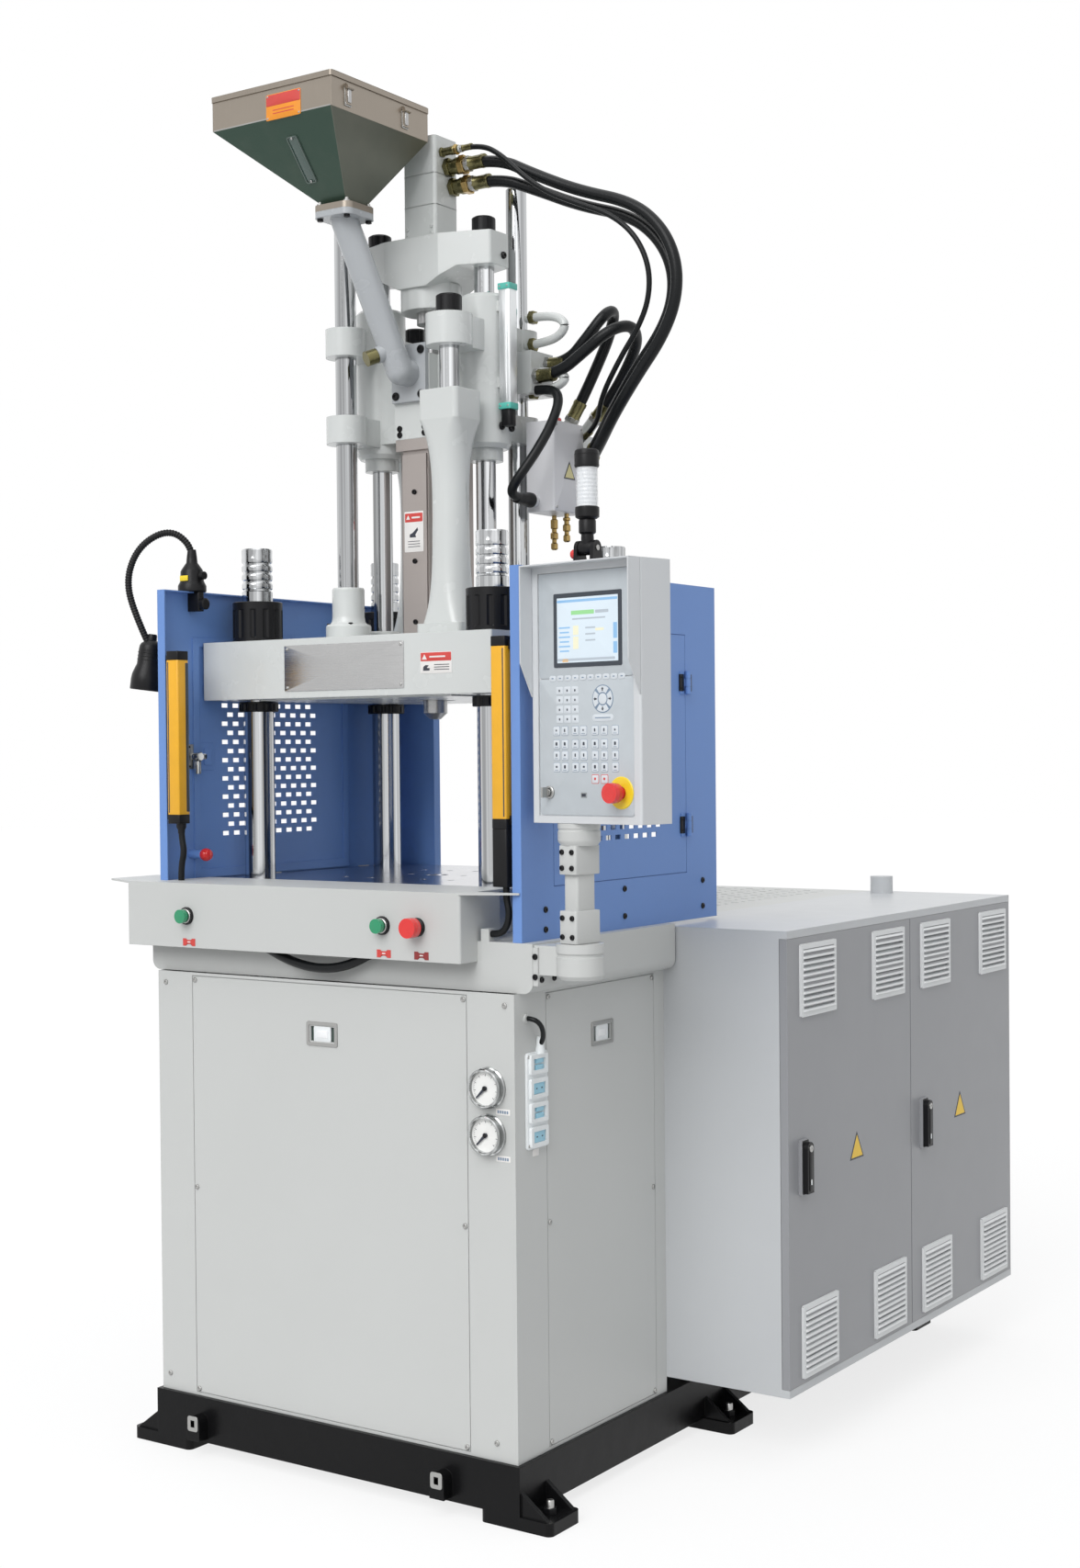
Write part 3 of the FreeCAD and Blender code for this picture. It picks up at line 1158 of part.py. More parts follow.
def lower_crosshead():
    arm = TIE_R + 25.0
    z0 = HEAD_TOP - HEAD_T
    pieces = []
    for sy in (-1, 1):
        slope = sy * degrees(atan2(TIE_DY, TIE_DX))
        reach = hypot(TIE_DX, TIE_DY)
        bar = block(MOULD_X - reach, MOULD_X + reach, MOULD_Y - arm, MOULD_Y + arm, z0, HEAD_TOP)
        pieces.append(turned_about(bar, MOULD_X, MOULD_Y, slope))
    for x, y in TIE_PLACES:
        pieces.append(rod(x, y, z0, HEAD_TOP, arm))
    pieces.append(rod(MOULD_X, MOULD_Y, z0, HEAD_TOP, CYLINDER_R))
    pieces.append(rod(MOULD_X, MOULD_Y, HEAD_TOP, BED_Z - 25, CYLINDER_ROD_R))
    bores = [rod(x, y, z0 - 1, HEAD_TOP + 1, TIE_R + RUN) for x, y in TIE_PLACES]
    return cut(joined(*pieces), *bores)


def tie_bar(x, y):
    bottom = HEAD_TOP - HEAD_T - HEAD_LOW_NUT
    top = PLATEN_TOP + TIE_TOP
    outline = [(0, bottom), (TIE_R, bottom), (TIE_R, top - 76)]
    for index in range(3):
        groove = top - 76 + index * 20
        outline += [(TIE_R - 3, groove + 2), (TIE_R - 3, groove + 7), (TIE_R, groove + 9)]
    outline += [(TIE_R, top - 3), (TIE_R - 3, top), (0, top)]
    return turned(outline, x, y)


def tie_bars():
    return Part.makeCompound([tie_bar(x, y) for x, y in TIE_PLACES])


def ring(x, y, z0, z1, outer, inner):
    return cut(rod(x, y, z0, z1, outer), rod(x, y, z0 - 1, z1 + 1, inner + RUN))


def tie_bar_nuts():
    pieces = []
    for x, y in TIE_PLACES:
        nut = ring(x, y, PLATEN_TOP, PLATEN_TOP + NUT_H, NUT_R, TIE_R)
        split = block(x - NUT_R - 1, x + NUT_R + 1, y - 1, y + 1, PLATEN_TOP + 6, PLATEN_TOP + NUT_H + 1)
        pieces.append(cut(nut, split))
        pieces.append(ring(x, y, PLATEN_Z - COLLAR_H, PLATEN_Z, NUT_R - 3, TIE_R))
        pieces.append(ring(x, y, HEAD_TOP - HEAD_T - HEAD_LOW_NUT, HEAD_TOP - HEAD_T, NUT_R - 3, TIE_R))
    return Part.makeCompound(pieces)


def upper_platen():
    slab = block(MOULD_X - TABLE_HALF_W, MOULD_X + TABLE_HALF_W, TABLE_FRONT_Y, TABLE_BACK_Y, PLATEN_Z, PLATEN_TOP)
    face_z = PLATEN_Z - MOULD_PAD_T
    face = block(MOULD_X - MOULD_PAD_HALF_W, MOULD_X + MOULD_PAD_HALF_W, MOULD_Y - MOULD_PAD_HALF_L,
                 MOULD_Y + MOULD_PAD_HALF_L, face_z, PLATEN_Z)
    slab = joined(rounded(slab, 4), face)
    bores = [rod(x, y, PLATEN_Z - 1, PLATEN_TOP + 1, TIE_R + RUN) for x, y in TIE_PLACES]
    bores.append(rod(MOULD_X, MOULD_Y, face_z - 1, PLATEN_TOP + 1, BARREL_R + 2))
    for column in range(TAP_COLS):
        for row in (0, 2):
            dx = (column - (TAP_COLS - 1) / 2) * TAP_DX
            dy = (row - 1) * 2 * TAP_DY
            bores.append(rod(MOULD_X + dx, MOULD_Y + dy, face_z - 1, face_z + TAP_DEPTH, TAP_R))
    return cut(slab, *bores)


def ejector_rod():
    top = TABLE_TOP - EJECTOR_DROP
    return rod(MOULD_X, MOULD_Y, top - EJECTOR_L, top, EJECTOR_R)


# ---- routes of the hoses and cables --------------------------------------
MOTOR_RIGHT = MOULD_X + MOTOR_W / 2
MOTOR_TOP = BEAM_TOP + MOTOR_H
FITTING_X = MOTOR_RIGHT + FITTING_L
HOSE_D = 26.0
THIN_D = 12.0
CONDUIT_D = 22.0
CABLE_D = 20.0
CURTAIN_CABLE_D = 14.0
GLAND_L = 45.0
UPPER_ROUTE = above(PLATEN_TOP, [(FITTING_X, -408.0, 1081.0), (110.0, -408.0, 1081.0), (202.0, -398.0, 1032.0),
                                 (312.0, -384.0, 981.0), (444.0, -378.0, 938.0), (517.0, -374.0, 875.0),
                                 (553.0, -372.0, 796.0), (550.0, -370.0, 714.0), (511.0, -366.0, 638.0),
                                 (436.0, -350.0, 565.0), (350.0, -310.0, 492.0), (275.0, -250.0, 440.0),
                                 (205.0, -195.0, 400.0)])
LOWER_ROUTE = above(PLATEN_TOP, [(FITTING_X, -390.0, 1040.0), (105.0, -390.0, 1040.0), (190.0, -376.0, 1005.0),
                                 (300.0, -362.0, 955.0), (428.0, -354.0, 915.0), (494.0, -348.0, 858.0),
                                 (527.0, -344.0, 790.0), (524.0, -340.0, 720.0), (489.0, -336.0, 654.0),
                                 (417.0, -322.0, 585.0), (333.0, -280.0, 513.0), (258.0, -222.0, 462.0),
                                 (190.0, -168.0, 424.0)])
THIN_ROUTE = above(PLATEN_TOP, [(FITTING_X, -430.0, 1111.0), (80.0, -430.0, 1111.0), (135.0, -430.0, 1080.0),
                                (190.0, -428.0, 1026.0), (255.0, -424.0, 978.0), (330.0, -416.0, 944.0),
                                (410.0, -408.0, 910.0), (468.0, -402.0, 858.0), (498.0, -396.0, 790.0),
                                (494.0, -390.0, 722.0), (462.0, -382.0, 664.0), (398.0, -362.0, 602.0),
                                (322.0, -318.0, 532.0), (258.0, -232.0, 488.0), (205.0, -208.0, 468.0)])
VALVE_X1 = 150.0
LOOP_FRONT = above(PLATEN_TOP, [(VALVE_X1, -322.0, 599.0), (212.0, -322.0, 599.0), (282.0, -326.0, 638.0),
                                (342.0, -316.0, 682.0), (374.0, -268.0, 700.0), (358.0, -212.0, 674.0),
                                (308.0, -180.0, 622.0), (254.0, -162.0, 564.0), (198.0, -150.0, 516.0)])
LOOP_BACK = above(PLATEN_TOP, [(VALVE_X1, -275.0, 632.0), (206.0, -275.0, 632.0), (262.0, -280.0, 680.0),
                               (302.0, -264.0, 734.0), (300.0, -216.0, 748.0), (264.0, -188.0, 694.0),
                               (222.0, -182.0, 624.0), (184.0, -186.0, 554.0), (160.0, -192.0, 510.0)])
CONDUIT_ROUTE = above(PLATEN_TOP, [(VALVE_X1, -318.0, 568.0), (196.0, -318.0, 568.0), (232.0, -346.0, 536.0),
                                   (236.0, -386.0, 476.0), (222.0, -422.0, 416.0), (196.0, -448.0, 364.0),
                                   (168.0, -452.0, 328.0), (160.0, -420.0, 314.0), (160.0, BOX_Y0 - 16.0, 314.0)])
APRON_ROUTE = above(BED_TOP, [(-225.0, -918.0, -25.0), (-170.0, -918.0, -25.0), (-95.0, -920.0, -57.0),
                              (-10.0, -921.0, -73.0), (75.0, -920.0, -63.0), (150.0, -918.0, -25.0),
                              (205.0, -918.0, -25.0)])
LEFT_CABLE_ROUTE = above(CURTAIN_Z0, [(-432.0, CURTAIN_Y, 0.0), (-432.0, CURTAIN_Y, -30.0), (-424.0, CURTAIN_Y, -62.0),
                                      (-434.0, CURTAIN_Y, -94.0),
                                      (-434.0, CURTAIN_Y, TABLE_TOP + TOP_PLATE_T - CURTAIN_Z0)])
RIGHT_CABLE_ROUTE = above(CURTAIN_Z0 - CURTAIN_TAIL, [(446.0, CURTAIN_Y, 0.0), (446.0, CURTAIN_Y, -25.0),
                                                      (453.0, CURTAIN_Y, -50.0), (448.0, CURTAIN_Y, -77.0),
                                                      (432.0, CURTAIN_Y, -95.0), (410.0, CURTAIN_Y, -95.0)])
STRIP_CABLE_D = 10.0
STRIP_GLAND_L = 5.0
STRIP_CABLE_ROUTE = above(STRIP_Z1, [(CAB_HALF_W + STRIP_GLAND_L, -866.0, 69.0), (504.0, -866.0, 69.0),
                                     (510.0, -850.0, 52.0), (500.0, -832.0, 27.0),
                                     (CAB_HALF_W + 6.5, -826.0, 13.0), (CAB_HALF_W + 6.5, -826.0, 0.0)])


def carriage_ends():
    """The routes that end on the carriage's manifold, with their diameters."""
    return [(UPPER_ROUTE, HOSE_D), (LOWER_ROUTE, HOSE_D), (THIN_ROUTE, THIN_D), (LOOP_FRONT, HOSE_D),
            (LOOP_BACK, HOSE_D)]


def end_fitting(points, diameter):
    """A fitting past the last point of a route, along its last run."""
    last = V(*points[-1])
    along = (last - V(*points[-2])).normalize()
    return Part.makeCylinder(diameter / 2 + 2, GLAND_L, last, along)


# ---- injection unit ------------------------------------------------------
def guide_rods():
    pieces = []
    for (x, y), rise in zip(GUIDE_PLACES, (GUIDE_FRONT_TOP, GUIDE_BACK_TOP)):
        top = PLATEN_TOP + rise
        pieces.append(turned([(0, PLATEN_TOP), (SOCKET_FLANGE_R, PLATEN_TOP),
                              (SOCKET_FLANGE_R, PLATEN_TOP + SOCKET_FLANGE_H),
                              (SOCKET_R, PLATEN_TOP + SOCKET_FLANGE_H), (SOCKET_R, PLATEN_TOP + SOCKET_H),
                              (ROD_R, PLATEN_TOP + SOCKET_H), (ROD_R, top - 3), (ROD_R - 3, top), (0, top)], x, y))
    for x, y in CAST_PLACES:
        pieces.append(turned([(0, PLATEN_TOP), (CAST_FLANGE_R, PLATEN_TOP), (CAST_FLANGE_R, PLATEN_TOP + 30),
                              (INJECT_ROD_R, PLATEN_TOP + 30), (INJECT_ROD_R, PLATEN_TOP + LOWER_ROD_TOP),
                              (0, PLATEN_TOP + LOWER_ROD_TOP)], x, y))
    return Part.makeCompound(pieces)


def pedestal(x, y):
    """A waisted cylinder casting, square at its head and round at its waist."""
    w = PEDESTAL_W
    d = PEDESTAL_D
    z = PLATEN_TOP
    head = PEDESTAL_H
    lower = lofted([rounded_section(x, y, z + 30, w, d, 20), rounded_section(x, y, z + 110, w * 0.84, d * 0.9, 38),
                    rounded_section(x, y, z + 250, w * 0.78, d * 0.83, 40),
                    rounded_section(x, y, z + 400, w * 0.84, d * 0.88, 38),
                    rounded_section(x, y, z + head - 66, w, d, 12)])
    foot_plate = rounded(block(x - w / 2 - 8, x + w / 2 + 8, y - d / 2 - 6, y + d / 2 + 6, z, z + 30), 12)
    cap = rounded(block(x - w / 2, x + w / 2, y - d / 2, y + d / 2, z + head - 66, z + head), 12)
    body = joined(lower, foot_plate, cap)
    return cut(body, rod(x, y, z + 40, z + head + 1, INJECT_ROD_R + RUN))


def carriage_cylinders():
    return Part.makeCompound([pedestal(x, y) for x, y in PEDESTAL_PLACES])


WEB_Z = CAST_BOTTOM + 30.0
WEB_TOP = CAST_BOTTOM + 220.0
MANIFOLD_X1 = 175.0


def injection_carriage():
    z0 = CAST_BOTTOM
    pieces = []
    for x, y in CAST_PLACES:
        pieces.append(turned([(0, z0 - CAST_FLANGE_H), (CAST_FLANGE_R, z0 - CAST_FLANGE_H), (CAST_FLANGE_R, z0),
                              (CAST_R - 8, z0), (CAST_R, z0 + 10), (CAST_R, CAST_TOP - 8), (CAST_R - 8, CAST_TOP),
                              (0, CAST_TOP)], x, y))
    pieces.append(block(MOULD_X - ROD_DX, MOULD_X + ROD_DX, MOULD_Y - WEB_HALF_D, MOULD_Y + WEB_HALF_D,
                        WEB_Z, WEB_TOP))
    pieces.append(block(MOULD_X - NOSE_HALF_W, MOULD_X + NOSE_HALF_W, MOULD_Y - NOSE_DY, MOULD_Y + NOSE_DY,
                        WEB_Z, WEB_TOP))
    arm_half = COLLAR_R * 0.72
    collars = [(COLLAR_LOW_Z, COLLAR_LOW_H), (COLLAR_HIGH_Z, COLLAR_HIGH_H)]
    for x, y in GUIDE_PLACES:
        for low, high in collars:
            z = PLATEN_TOP + low
            pieces.append(rod(x, y, z, z + high, COLLAR_R))
            pieces.append(block(x - arm_half, x + arm_half, min(y, MOULD_Y), max(y, MOULD_Y), z, z + high))
    lug_z = PLATEN_TOP + LUG_LOW_Z
    for x, y in PEDESTAL_PLACES:
        pieces.append(rod(x, y, lug_z, lug_z + LUG_THICK, LUG_R))
        pieces.append(block(x - arm_half, x + arm_half, min(y, MOULD_Y), max(y, MOULD_Y), lug_z, lug_z + LUG_THICK))
    transducer_y = MOULD_Y + TRANSDUCER_DY
    right_x, right_y = CAST_PLACES[1]
    for z in (PLATEN_TOP + TRANSDUCER_Z0 + 50, PLATEN_TOP + TRANSDUCER_Z1 - 60):
        pieces.append(block(right_x, right_x + CAST_R + 2, transducer_y - 10, transducer_y + 10, z, z + 24))
    guide_x, guide_y = GUIDE_PLACES[1]
    collar_z = PLATEN_TOP + COLLAR_LOW_Z
    pieces.append(block(guide_x, BOX_X0, guide_y - 18, guide_y + 18, collar_z + 6, collar_z + 40))
    pieces.append(block(guide_x, guide_x + 55, guide_y, guide_y + 90, collar_z + 6, collar_z + 30))
    pieces.append(block(guide_x + 40, MANIFOLD_X1, guide_y + 60, guide_y + 160, collar_z - 80, collar_z + 30))
    for points, diameter in carriage_ends():
        pieces.append(end_fitting(points, diameter))
    pieces.append(block(guide_x, VALVE_X1, guide_y - 60, guide_y + 30, PLATEN_TOP + 560, PLATEN_TOP + COLLAR_HIGH_Z + 8))
    body = joined(*pieces)
    tools = [rod(x, y, z0 - CAST_FLANGE_H - 1, CAST_TOP + 1, INJECT_ROD_R + RUN) for x, y in CAST_PLACES]
    tools += [rod(x, y, z0 - 1, CAST_TOP + 1, ROD_R + RUN) for x, y in GUIDE_PLACES]
    tools += [rod(x, y, z0 - 1, CAST_TOP + 1, INJECT_ROD_R + RUN) for x, y in PEDESTAL_PLACES]
    tools.append(rod(MOULD_X, MOULD_Y, WEB_Z - 1, WEB_TOP + 1, BARREL_R + RUN))
    tools.append(rod_y(MOULD_Y - NOSE_DY - 1, MOULD_Y, MOULD_X, PLATEN_TOP + FEED_PLATE_Z, PIPE_R - PIPE_WALL))
    return cut(body, *tools)


def carriage_rods():
    pieces = []
    bottom = PLATEN_TOP + 200
    nut_z = PLATEN_TOP + LUG_LOW_Z + LUG_THICK
    for x, y in PEDESTAL_PLACES:
        pieces.append(joined(rod(x, y, bottom, nut_z + ROD_NUT_H, INJECT_ROD_R),
                             rod(x, y, nut_z, nut_z + ROD_NUT_H, ROD_NUT_R)))
    return Part.makeCompound(pieces)


def barrel():
    z0 = PLATEN_Z + 45
    tube = rod(MOULD_X, MOULD_Y, z0, WEB_TOP, BARREL_R)
    throat = rod_y(MOULD_Y - BARREL_R - 1, MOULD_Y, MOULD_X, PLATEN_TOP + FEED_PLATE_Z, 16)
    return cut(tube, rod(MOULD_X, MOULD_Y, z0 - 1, WEB_TOP + 1, BARREL_BORE_R), throat)


def nozzle():
    tip = PLATEN_Z - NOZZLE_DROP
    seat = PLATEN_Z + 45
    body = turned([(0, tip), (12, tip), (NOZZLE_R, tip + 14), (NOZZLE_R, seat - 12), (NOZZLE_R + 8, seat - 10),
                   (NOZZLE_R + 8, seat), (0, seat)], MOULD_X, MOULD_Y)
    return cut(body, rod(MOULD_X, MOULD_Y, tip + 41, seat + 1, BARREL_BORE_R), rod(MOULD_X, MOULD_Y, tip - 1, tip + 42, 4))


def screw():
    low = PLATEN_Z + 60
    hub_z = BEAM_TOP - BEAM_DEEP_H - HUB_H + 13
    stub = hub_z + 30
    return turned([(0, low), (SCREW_R / 2, low + 20), (SCREW_R, low + 40), (SCREW_R, hub_z - COUPLING_H),
                   (COUPLING_R, hub_z - COUPLING_H), (COUPLING_R, hub_z - GAP), (SCREW_R, hub_z - GAP),
                   (SCREW_R, stub), (0, stub)], MOULD_X, MOULD_Y)


def barrel_cover():
    z0 = PLATEN_TOP + COVER_Z
    outline = [(-COVER_HALF_W, -COVER_HALF_D + 30), (-COVER_HALF_W + 30, -COVER_HALF_D),
               (COVER_HALF_W - 30, -COVER_HALF_D), (COVER_HALF_W, -COVER_HALF_D + 30),
               (COVER_HALF_W, COVER_HALF_D), (-COVER_HALF_W, COVER_HALF_D)]
    shell = plan([(MOULD_X + dx, MOULD_Y + dy) for dx, dy in outline], z0, WEB_Z)
    inside = [((COVER_HALF_W - SHEET) / COVER_HALF_W * dx, (COVER_HALF_D - SHEET) / COVER_HALF_D * dy)
              for dx, dy in outline]
    shell = cut(shell, plan([(MOULD_X + dx, MOULD_Y + dy) for dx, dy in inside], z0 - 1, WEB_Z + 1))
    front = block(MOULD_X - COVER_PLATE_W / 2, MOULD_X + COVER_PLATE_W / 2, MOULD_Y - COVER_HALF_D - COVER_PLATE_T,
                  MOULD_Y - COVER_HALF_D, z0, WEB_Z - 34)
    band = block(MOULD_X - COVER_HALF_W + 18, MOULD_X + COVER_HALF_W - 18, MOULD_Y - NOSE_DY,
                 MOULD_Y - COVER_HALF_D, WEB_Z - 26, WEB_Z)
    return joined(shell, front, band)


# ---- thrust beam and motor -----------------------------------------------
def thrust_beam():
    end = ROD_DX + BEAM_END
    outline = [(-end, -BEAM_TIP_HALF), (-BEAM_MID_HALF, -BEAM_MID_HALF), (BEAM_MID_HALF, -BEAM_MID_HALF),
               (end, -BEAM_TIP_HALF), (end, BEAM_TIP_HALF), (BEAM_MID_HALF, BEAM_MID_HALF),
               (-BEAM_MID_HALF, BEAM_MID_HALF), (-end, BEAM_TIP_HALF)]
    deep = BEAM_TOP - BEAM_DEEP_H
    slab = plan([(MOULD_X + dx, MOULD_Y + dy) for dx, dy in outline], deep, BEAM_TOP)
    slab = rounded(slab, 8)
    section = [(-end, BEAM_TOP), (end, BEAM_TOP), (end, BEAM_BOTTOM), (end - BEAM_MID_HALF, BEAM_BOTTOM),
               (40, deep), (-40, deep), (-end + BEAM_MID_HALF, BEAM_BOTTOM), (-end, BEAM_BOTTOM)]
    side = front_profile([(MOULD_X + dx, z) for dx, z in section], MOULD_Y - 2 * BEAM_MID_HALF,
                         MOULD_Y + 2 * BEAM_MID_HALF)
    slab = slab.common(side)
    hub_z = deep - HUB_H + 13
    hub = rod(MOULD_X, MOULD_Y, hub_z, deep + 13, HUB_R)
    bores = [rod(x, y, deep - 1, BEAM_TOP + 1, INJECT_ROD_R + RUN) for x, y in CAST_PLACES]
    bores.append(rod(MOULD_X, MOULD_Y, hub_z - 1, hub_z + 31, SCREW_R + RUN))
    return cut(joined(slab, hub), *bores)


def injection_rods():
    pieces = []
    bottom = PLATEN_TOP + INJECT_ROD_BOTTOM
    for x, y in CAST_PLACES:
        pieces.append(joined(rod(x, y, bottom, BEAM_TOP + THRUST_NUT_H, INJECT_ROD_R),
                             rod(x, y, BEAM_TOP, BEAM_TOP + THRUST_NUT_H, THRUST_NUT_R)))
    return Part.makeCompound(pieces)


def hydraulic_motor():
    heights = [BEAM_TOP, BEAM_TOP + 77, BEAM_TOP + 148, MOTOR_TOP]
    seam = 2.0
    pieces = []
    for low, high in zip(heights, heights[1:]):
        foot_z = low if low == BEAM_TOP else low + seam
        pieces.append(rounded(block(MOULD_X - MOTOR_W / 2, MOTOR_RIGHT, MOULD_Y - MOTOR_D / 2,
                                    MOULD_Y + MOTOR_D / 2, foot_z, high), 8))
        if foot_z > low:
            pieces.append(block(MOULD_X - MOTOR_W / 2 + seam, MOTOR_RIGHT - seam, MOULD_Y - MOTOR_D / 2 + seam,
                                MOULD_Y + MOTOR_D / 2 - seam, low, foot_z))
    for route, diameter in ((UPPER_ROUTE, HOSE_D), (LOWER_ROUTE, HOSE_D), (THIN_ROUTE, THIN_D)):
        x, y, z = route[0]
        pieces.append(rod_x(MOTOR_RIGHT, x, y, z, diameter / 2 + 2))
    return joined(*pieces)


# ---- hopper and feed -----------------------------------------------------
PIPE_TOP = V(OUTLET_X, HOPPER_Y, PLATEN_TOP + PIPE_TOP_Z)
PIPE_FOOT = V(MOULD_X, MOULD_Y - NOSE_DY - FEED_PLATE_T - PIPE_R, PLATEN_TOP + FEED_PLATE_Z)
HOPPER_FLANGE_Z = PIPE_TOP.z + HOPPER_FLANGE_T
CONE_Z = HOPPER_FLANGE_Z + HOPPER_FLANGE_T
PAN_Z = CONE_Z + CONE_H
RIM_Z = PAN_Z + HOPPER_BOX_H
PIPE_AXIS = (PIPE_FOOT - PIPE_TOP).normalize()
GATE_POINT = PIPE_TOP + (PIPE_FOOT - PIPE_TOP) * GATE_ALONG
GATE_AXIS = PIPE_AXIS.cross(V(0.85, -0.5, 0)).normalize()


def square_section(x, y, z, side):
    half = side / 2
    return Part.makePolygon([V(x - half, y - half, z), V(x + half, y - half, z), V(x + half, y + half, z),
                             V(x - half, y + half, z), V(x - half, y - half, z)])


def feed_pipe():
    """A slanted pipe from the hopper flange to a round elbow on the feed plate."""
    reach = (PIPE_FOOT - PIPE_TOP).Length
    bore_r = PIPE_R - PIPE_WALL
    rise = 2 * HOPPER_FLANGE_T
    start = PIPE_TOP - PIPE_AXIS * rise
    plate_y = MOULD_Y - NOSE_DY - FEED_PLATE_T
    above = block(OUTLET_X - HOPPER_FLANGE_W, OUTLET_X + HOPPER_FLANGE_W, HOPPER_Y - HOPPER_FLANGE_W,
                  HOPPER_Y + HOPPER_FLANGE_W, HOPPER_FLANGE_Z, HOPPER_FLANGE_Z + 2 * rise)
    pipe = cut(Part.makeCylinder(PIPE_R, reach + rise, start, PIPE_AXIS), above)
    elbow = Part.makeSphere(PIPE_R, PIPE_FOOT)
    neck = rod_y(PIPE_FOOT.y, plate_y + FEED_PLATE_T / 2, PIPE_FOOT.x, PIPE_FOOT.z, PIPE_R)
    boss = Part.makeCylinder(19, 16, GATE_POINT + GATE_AXIS * (PIPE_R - 6), GATE_AXIS)
    plate = block(PIPE_FOOT.x - FEED_PLATE_W / 2, PIPE_FOOT.x + FEED_PLATE_W / 2, plate_y,
                  plate_y + FEED_PLATE_T, PIPE_FOOT.z - FEED_PLATE_H / 2, PIPE_FOOT.z + FEED_PLATE_H / 2)
    flange = rounded(block(OUTLET_X - HOPPER_FLANGE_W / 2, OUTLET_X + HOPPER_FLANGE_W / 2,
                           HOPPER_Y - HOPPER_FLANGE_W / 2, HOPPER_Y + HOPPER_FLANGE_W / 2, PIPE_TOP.z,
                           HOPPER_FLANGE_Z), 18)
    body = joined(pipe, elbow, neck, boss, plate, flange)
    passage = [Part.makeCylinder(bore_r, reach + 2 * rise, start - PIPE_AXIS * rise, PIPE_AXIS),
               Part.makeSphere(bore_r, PIPE_FOOT),
               rod_y(PIPE_FOOT.y, plate_y + FEED_PLATE_T + 1, PIPE_FOOT.x, PIPE_FOOT.z, bore_r),
               Part.makeCylinder(14 + RUN, 40, GATE_POINT + GATE_AXIS * (bore_r - 2), GATE_AXIS)]
    return cut(body, *passage)


def feed_gate():
    start = GATE_POINT + GATE_AXIS * (PIPE_R - PIPE_WALL)
    plug = Part.makeCylinder(14, 22, start, GATE_AXIS)
    knob_start = GATE_POINT + GATE_AXIS * (PIPE_R + 10 + GAP)
    knob = Part.makeCylinder(17, 26, knob_start, GATE_AXIS)
    return joined(plug, knob)


LID_HINGE_X = HOPPER_X - HOPPER_W / 2 - 9.0
LID_HINGE_YS = [HOPPER_Y - 100.0, HOPPER_Y + 100.0]


def hopper():
    half = HOPPER_W / 2
    pan = block(HOPPER_X - half, HOPPER_X + half, HOPPER_Y - half, HOPPER_Y + half, PAN_Z, RIM_Z)
    cone = lofted([square_section(OUTLET_X, HOPPER_Y, CONE_Z, OUTLET_W),
                   square_section(HOPPER_X, HOPPER_Y, PAN_Z, HOPPER_W)], True)
    flange = rounded(block(OUTLET_X - HOPPER_FLANGE_W / 2, OUTLET_X + HOPPER_FLANGE_W / 2,
                           HOPPER_Y - HOPPER_FLANGE_W / 2, HOPPER_Y + HOPPER_FLANGE_W / 2,
                           HOPPER_FLANGE_Z, CONE_Z), 18)
    pieces = [pan, cone, flange]
    for y in LID_HINGE_YS:
        pieces.append(rod_y(y - 20, y - GAP, LID_HINGE_X, RIM_Z, 5))
        pieces.append(block(LID_HINGE_X, HOPPER_X - half, y - 20, y - GAP, RIM_Z - 5, RIM_Z - 1))
    for y in (HOPPER_Y - 115.0, HOPPER_Y + 85.0):
        pieces.append(block(HOPPER_X + half, HOPPER_X + half + 5, y - 9, y + 9, PAN_Z + 12, RIM_Z - 6))
        pieces.append(rod_y(y - 11, y + 11, HOPPER_X + half + 6, RIM_Z - 14, 5))
    body = joined(*pieces)
    inner = lofted([square_section(OUTLET_X, HOPPER_Y, CONE_Z, OUTLET_W - 2 * HOPPER_WALL),
                    square_section(HOPPER_X, HOPPER_Y, PAN_Z, HOPPER_W - 2 * HOPPER_WALL)], True)
    room = block(HOPPER_X - half + HOPPER_WALL, HOPPER_X + half - HOPPER_WALL, HOPPER_Y - half + HOPPER_WALL,
                 HOPPER_Y + half - HOPPER_WALL, PAN_Z, RIM_Z + 1)
    throat = rod(OUTLET_X, HOPPER_Y, HOPPER_FLANGE_Z - 1, CONE_Z + 1, PIPE_R - PIPE_WALL)
    body = cut(body, inner, room, throat)
    pins = [rod_y(y - 20, y + 20, LID_HINGE_X, RIM_Z, 2.5) for y in LID_HINGE_YS]
    return joined(body, *pins)


def hopper_lid():
    half = HOPPER_W / 2 + LID_EDGE
    slab = rounded(block(HOPPER_X - half, HOPPER_X + half, HOPPER_Y - half, HOPPER_Y + half, RIM_Z, RIM_Z + LID_T), 6)
    inside = HOPPER_W / 2 - HOPPER_WALL - 2
    pocket = block(HOPPER_X - inside, HOPPER_X + inside, HOPPER_Y - inside, HOPPER_Y + inside,
                   RIM_Z - 1, RIM_Z + LID_T - 3)
    pieces = [cut(slab, pocket)]
    for y in LID_HINGE_YS:
        pieces.append(rod_y(y, y + 20, LID_HINGE_X, RIM_Z, 5))
        pieces.append(block(LID_HINGE_X, HOPPER_X - half + 1, y, y + 20, RIM_Z + 1, RIM_Z + 5))
    body = joined(*pieces)
    return cut(body, *[rod_y(y - 1, y + 21, LID_HINGE_X, RIM_Z, 2.5 + RUN) for y in LID_HINGE_YS])


